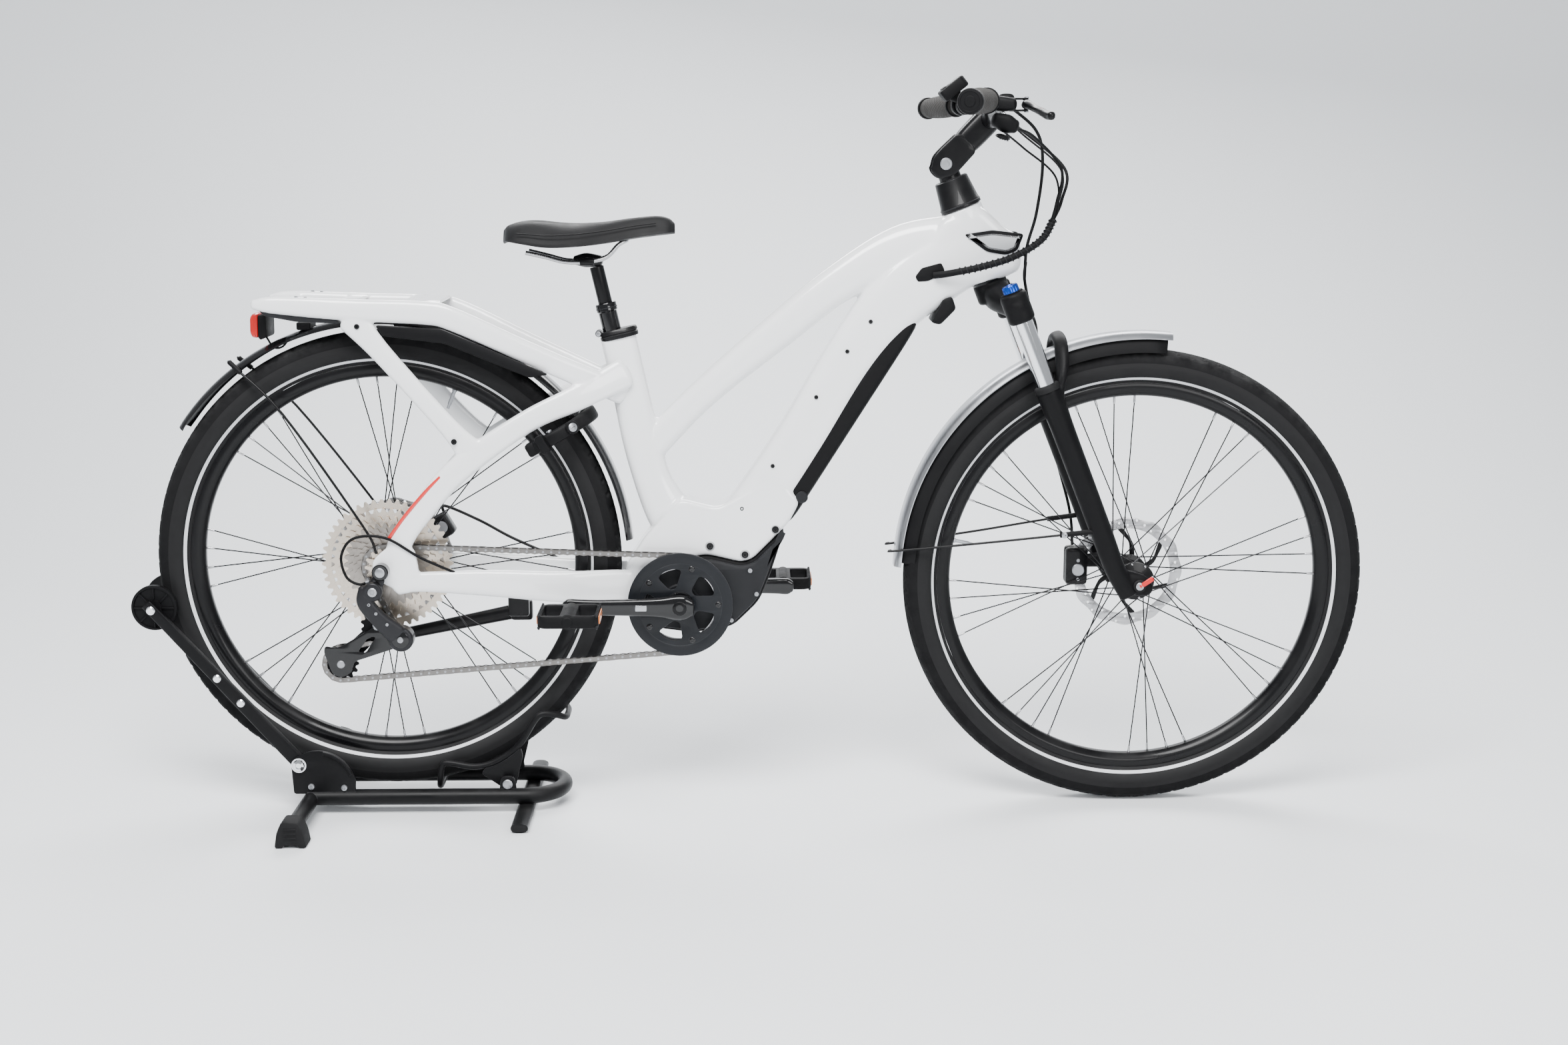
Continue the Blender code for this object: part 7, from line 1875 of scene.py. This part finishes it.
def base():
    shape = Shape()
    bend = [at(0.206 + 0.061 * math.sin(math.radians(a)), 0.026,
               -0.061 * math.cos(math.radians(a))) for a in range(0, 181, 6)]
    legs = np.array([at(x, 0.026, -0.061) for x in np.linspace(-0.135, 0.2, 12)])
    path = np.concatenate([legs, bend, (legs * [1, -1, 1])[::-1]])
    shape.add(tube(path, 0.0128, 32), 0)
    shape.add(rod(at(-0.13, 0.024, -0.205), at(-0.13, 0.024, 0.205), 0.0124, 40, 0.001), 0)
    shape.add(swept([at(0.211, 0.0078, y) for y in np.linspace(-0.166, 0.166, 12)],
                    squircle(0.027, 0.0145, 2.4, 40), hint=(1, 0, 0)), 0)
    for s in (-1, 1):
        shape.add(slab(softened(np.array([(-0.012, -0.0055), (0.012, -0.0055), (0.012, 0.0055),
                (-0.012, 0.0055)]) + [at(0.211, 0)[0], 0.0078], 0.004, 4), *span(s, 0.1655, 0.1664), 0.0002),
                  2)
        outline = [(-0.159, 0.088), (-0.156, 0.034), (-0.0585, 0.034), (-0.0575, 0.058)]
        outline += [(-0.1165 + 0.058 * math.cos(math.radians(a)),
                     0.047 + 0.058 * math.sin(math.radians(a))) for a in range(25, 126, 10)]
        line = softened(np.array(outline) + [REAR[0], 0], 0.004, 3)
        shape.add(slab(line, *span(s, 0.064, 0.068), 0.0006, [disc_outline(ARM, 0.0066, 24)]), 0)
        lug = softened(np.array([(0.168, 0.03), (0.197, 0.03), (0.193, 0.059), (0.172, 0.059)]) + [REAR[0],
                0], 0.007, 4)
        shape.add(slab(lug, *span(s, 0.0568, 0.0632), 0.0008, [disc_outline(CRADLE, 0.0055, 20)]), 0)
        band = [polar(at(-0.1165, 0.047), 0.0555, a, s * 0.0705) for a in np.linspace(20, 80, 24)]
        shape.add(swept(band, squircle(0.006, 0.0055, 5, 20), hint=SIDE), 0)
        shape.add(fastener(at(-0.128, 0.046, s * 0.0684), SIDE * s, 0.0052, 0.0026), 1)
        shape.add(fastener(at(-0.076, 0.044, s * 0.0684), SIDE * s, 0.0052, 0.0026), 1)
    for x, gap in ((-0.1165, 0.006), (-0.1475, 0.016)):
        shape.add(rod(under_tyre(x, gap, -0.066), under_tyre(x, gap, 0.066), 0.0049, 24), 0)
    return piece("stand_frame", shape, "stand", [POWDER, ZINC, DARKRUB], "stand_base")


def stand_foot(side, s):
    """A rubber shoe with an arch cut from below, pushed on the end of the cross tube."""
    mid = at(-0.1285, 0.0, s * 0.209)
    line = np.array([(-0.0245, 0.0), (-0.013, 0.0), (-0.009, 0.0042), (0.009, 0.0042), (0.013, 0.0),
                     (0.0245, 0.0), (0.0205, 0.022), (0.0125, 0.0405), (-0.0125, 0.042),
                     (-0.0205, 0.024)]) + [mid[0], 0]
    shape = Shape().add(slab(softened(line, 0.005, 4), mid[1] - 0.0198, mid[1] + 0.0198, 0.003), 0)
    for k in range(3):
        shape.add(block(at(-0.1285, 0.0235, s * (0.23 - 0.0005)) + xyz(0, 0, 0.007 * (k - 1)),
                        (0.02, 0.0022, 0.0016), 0.0005), 0)
    return piece(f"stand_shoe_{side}", shape, "stand", [DARKRUB], f"stand_foot_{side}")


base()
for side, s in both_sides():
    stand_foot(side, s)

# %% [markdown]
# Two flat arms rise behind the wheel and carry a waisted roller. The cradle is a wire loop that
# rocks on pins: its back wire is pressed by the tyre and its front wire swings up to hold it.

# %% Arms, roller and cradle


def arms():
    shape = Shape()
    along = (ROLLER - ARM) / np.linalg.norm(ROLLER - ARM)
    for s in (-1, 1):
        y = SIDE * s * 0.0565
        bar = [(*(ARM - along * 0.012 + y), 0.018, 0.0105), (*(ARM + along * 0.004 + y), 0.0235, 0.0108),
               (*(ARM + (ROLLER - ARM) * 0.5 + y), 0.0205, 0.0108), (*(ROLLER - along * 0.004 + y), 0.018,
                0.0108), (*(ROLLER + along * 0.01 + y), 0.015, 0.0108)]
        shape.add(bar_through(bar, power=4.5, ends=0.15), 0)
        shape.add(rod(ARM + SIDE * s * 0.0555, ARM + SIDE * s * 0.0715, 0.0058, 24), 1)
        shape.add(turned([(0.006, 0.0682), (0.0118, 0.0682), (0.0118, 0.0694), (0.006, 0.0694)], ARM,
                         SIDE * s, 48, loop=True), 1)
        shape.add(fastener(ARM + SIDE * s * 0.0694, SIDE * s, 0.0098, 0.0042, 40), 1)
        for share in (0.4, 0.56):
            spot = ARM + (ROLLER - ARM) * share + SIDE * s * 0.0619
            shape.add(plug([(0.0062, -0.002), (0.0062, 0.0008), (0.0045, 0.0022)], spot, SIDE * s, 32), 1)
        shape.add(plug([(0.0068, 0.0), (0.0068, 0.0028), (0.005, 0.0044)], ROLLER + SIDE * s * 0.062,
                       SIDE * s, 32), 1)
    shape.add(rod(ROLLER - SIDE * 0.0565, ROLLER + SIDE * 0.0565, 0.0037, 24), 1)
    return piece("stand_arms_pair", shape, "stand_arms", [POWDER, CHROME], "stand_arms")


def roller():
    """A spool turned in plastic, with eight ribs moulded on each outer face."""
    profile = [(0.0041, 0.046), (0.012, 0.046), (0.013, 0.0435), (0.031, 0.0435), (0.032, 0.0462),
               (0.035, 0.0464), (0.0358, 0.0452), (0.0358, 0.037), (0.034, 0.0345), (0.028, 0.0303),
               (0.0215, 0.0262), (0.0155, 0.0222), (0.0105, 0.0165), (0.0076, 0.0115), (0.0057, 0.0)]
    full = profile + [(r, -y) for r, y in profile[-2::-1]]
    shape = Shape().add(turned(full, ROLLER, SIDE, 96, loop=True), 0)
    for s in (-1, 1):
        for i in range(8):
            inner, outer = polar(ROLLER, 0.0125, 45 * i, s * 0.0448), polar(ROLLER, 0.0315, 45 * i,
                    s * 0.0448)
            out = (outer - inner) / np.linalg.norm(outer - inner)
            shape.add(block((inner + outer) / 2, (np.linalg.norm(outer - inner), 0.0026, 0.003), 0.0006, out,
                            np.cross(out, SIDE)), 0)
    return piece("spool_roller", shape, "stand_roller", [PLASTIC], "stand_roller",
                 crease=30)


def cradle():
    tip = polar(REAR, 0.3745, -42.8)
    low = under_tyre(0.0705, 0.0075)
    half = 0.04
    side = [low + SIDE * 0.03, xyz(low[0] + 0.001, half, low[2] + 0.008), at(0.0745, 0.072, half),
            at(0.083, 0.077, half), at(0.14, 0.066, 0.046), at(0.198, 0.098, 0.046), at(0.228, 0.152, 0.046),
            at(0.24, 0.158, 0.044), tip + xyz(-0.012, 0.04, 0.008), tip + SIDE * 0.028]
    side = np.array(side)
    loop = np.concatenate([[low], side, [tip], (side * [1, -1, 1])[::-1]])
    before, after = (loop + np.roll(loop, 1, 0)) / 2, (loop + np.roll(loop, -1, 0)) / 2
    soft = np.stack([(1 - t) ** 2 * before + 2 * t * (1 - t) * loop + t ** 2 * after for t in np.linspace(0,
            1, 7)[:-1]], axis=1)
    shape = Shape().add(tube(soft.reshape(-1, 3), 0.005, 20, closed=True), 0)
    outline = softened(np.array([(0.138, 0.06), (0.172, 0.036), (0.193, 0.036), (0.206, 0.088),
                                 (0.203, 0.103), (0.16, 0.082)]) + [REAR[0], 0], 0.007, 4)
    for s in (-1, 1):
        shape.add(slab(outline, *span(s, 0.0445, 0.0485), 0.0008, [disc_outline(CRADLE, 0.005, 20)]), 0)
        shape.add(rod(CRADLE + SIDE * s * 0.046, CRADLE + SIDE * s * 0.066, 0.0049, 24), 1)
        shape.add(plug([(0.0078, 0.0), (0.0078, 0.0018), (0.0065, 0.0028)], CRADLE + SIDE * s * 0.064,
                       SIDE * s, 32), 1)
    return piece("tyre_cradle", shape, "stand_cradle", [POWDER, ZINC], "stand_cradle")


arms()
roller()
cradle()

# %% [markdown]
# The axles and the crank's spindle are simple enough to keep as the CAD has them. They get a
# finish of their own. Then the pale floor, the light and the camera are set.

# %% Inner rods, floor, light and camera
for label in ("rear_axle", "front_axle", "crank_spindle"):
    rod_object = frame["nodes"][label]
    rod_object.data.materials.clear()
    rod_object.data.materials.append(STEEL)


def floor_finish():
    made = bpy.data.materials.new("studio_floor")
    made.use_nodes = True
    shader = made.node_tree.nodes["Principled BSDF"]
    shader.inputs["Base Color"].default_value = (0.9, 0.92, 0.94, 1)
    shader.inputs["Roughness"].default_value = 0.55
    behind = node(made.node_tree, "NewGeometry").outputs["Backfacing"]
    open_side = node(made.node_tree, "BsdfTransparent").outputs["BSDF"]
    both = node(made.node_tree, "MixShader", {0: behind, 1: shader.outputs["BSDF"], 2: open_side})
    made.node_tree.links.new(both.outputs["Shader"],
                             made.node_tree.nodes["Material Output"].inputs["Surface"])
    return made


def studio():
    """A floor that curves up into a wall: one profile over depth, drawn wide. Its back is clear, so
    that the bicycle can be looked at from behind the wall too."""
    a = np.linspace(0, np.pi / 2, 24)
    depth = np.concatenate([[-9.0, 1.5], 1.5 + 2.5 * np.sin(a[1:]), [4.0]])
    height = np.concatenate([[0.0, 0.0], 2.5 - 2.5 * np.cos(a[1:]), [7.0]])
    width = np.array([-12.0, 12.0])
    points = np.stack(np.broadcast_arrays(width[None, :], depth[:, None], height[:, None]), axis=-1)
    shape = Shape().add((points.reshape(-1, 3), [quads(len(depth), 2, False, False)]))
    mesh = mesh_of("studio_floor", shape)
    if mesh.polygons[0].normal.z < 0:
        mesh.flip_normals()
    floor = bpy.data.objects.new("studio_floor", mesh)
    bpy.context.scene.collection.objects.link(floor)
    mesh.shade_smooth()
    mesh.materials.append(floor_finish())


def lamp(name, spot, aim, size, watts):
    light = bpy.data.lights.new(name, "AREA")
    light.shape = "RECTANGLE"
    light.size, light.size_y, light.energy = size[0], size[1], watts
    made = bpy.data.objects.new(name, light)
    made.location = spot
    made.rotation_euler = (Vector(aim) - Vector(spot)).to_track_quat("-Z", "Y").to_euler()
    bpy.context.scene.collection.objects.link(made)


EYE, YAW_PITCH_ROLL, LENS_MM, PICTURE_MM = (0.0007, -3.173, 1.0571), (-0.932, 10.717, -0.1), 46.67, 36.0


def camera():
    """Turned by its own yaw, pitch and roll; the lens is for a 36 mm wide picture."""
    yaw, pitch, roll = (math.radians(a) for a in YAW_PITCH_ROLL)
    right = xyz(math.cos(yaw), math.sin(yaw), 0.0)
    forward = xyz(-math.sin(yaw) * math.cos(pitch), math.cos(yaw) * math.cos(pitch), -math.sin(pitch))
    up = np.cross(right, forward)
    x = math.cos(roll) * right + math.sin(roll) * up
    y = -math.sin(roll) * right + math.cos(roll) * up
    data = bpy.data.cameras.new("main_view")
    data.lens, data.sensor_width = LENS_MM, PICTURE_MM
    made = bpy.data.objects.new("main_view", data)
    turn = Matrix((x, y, -forward)).transposed().to_4x4()
    made.matrix_world = Matrix.Translation(EYE) @ turn
    bpy.context.scene.collection.objects.link(made)
    bpy.context.scene.camera = made


studio()
lamp("key_above", (-0.6, -2.2, 3.4), (0.0, 0.0, 0.5), (2.6, 1.4), 300)
lamp("fill_front", (1.8, -3.4, 1.7), (0.1, 0.0, 0.5), (1.8, 1.2), 60)
lamp("rim_behind", (0.4, 2.6, 2.8), (0.0, 0.0, 0.6), (3.6, 1.2), 150)
world = bpy.data.worlds.new("studio_air")
bpy.context.scene.world = world
world.use_nodes = True
world.node_tree.nodes["Background"].inputs["Color"].default_value = (0.93, 0.96, 1.0, 1)
world.node_tree.nodes["Background"].inputs["Strength"].default_value = 0.55
camera()
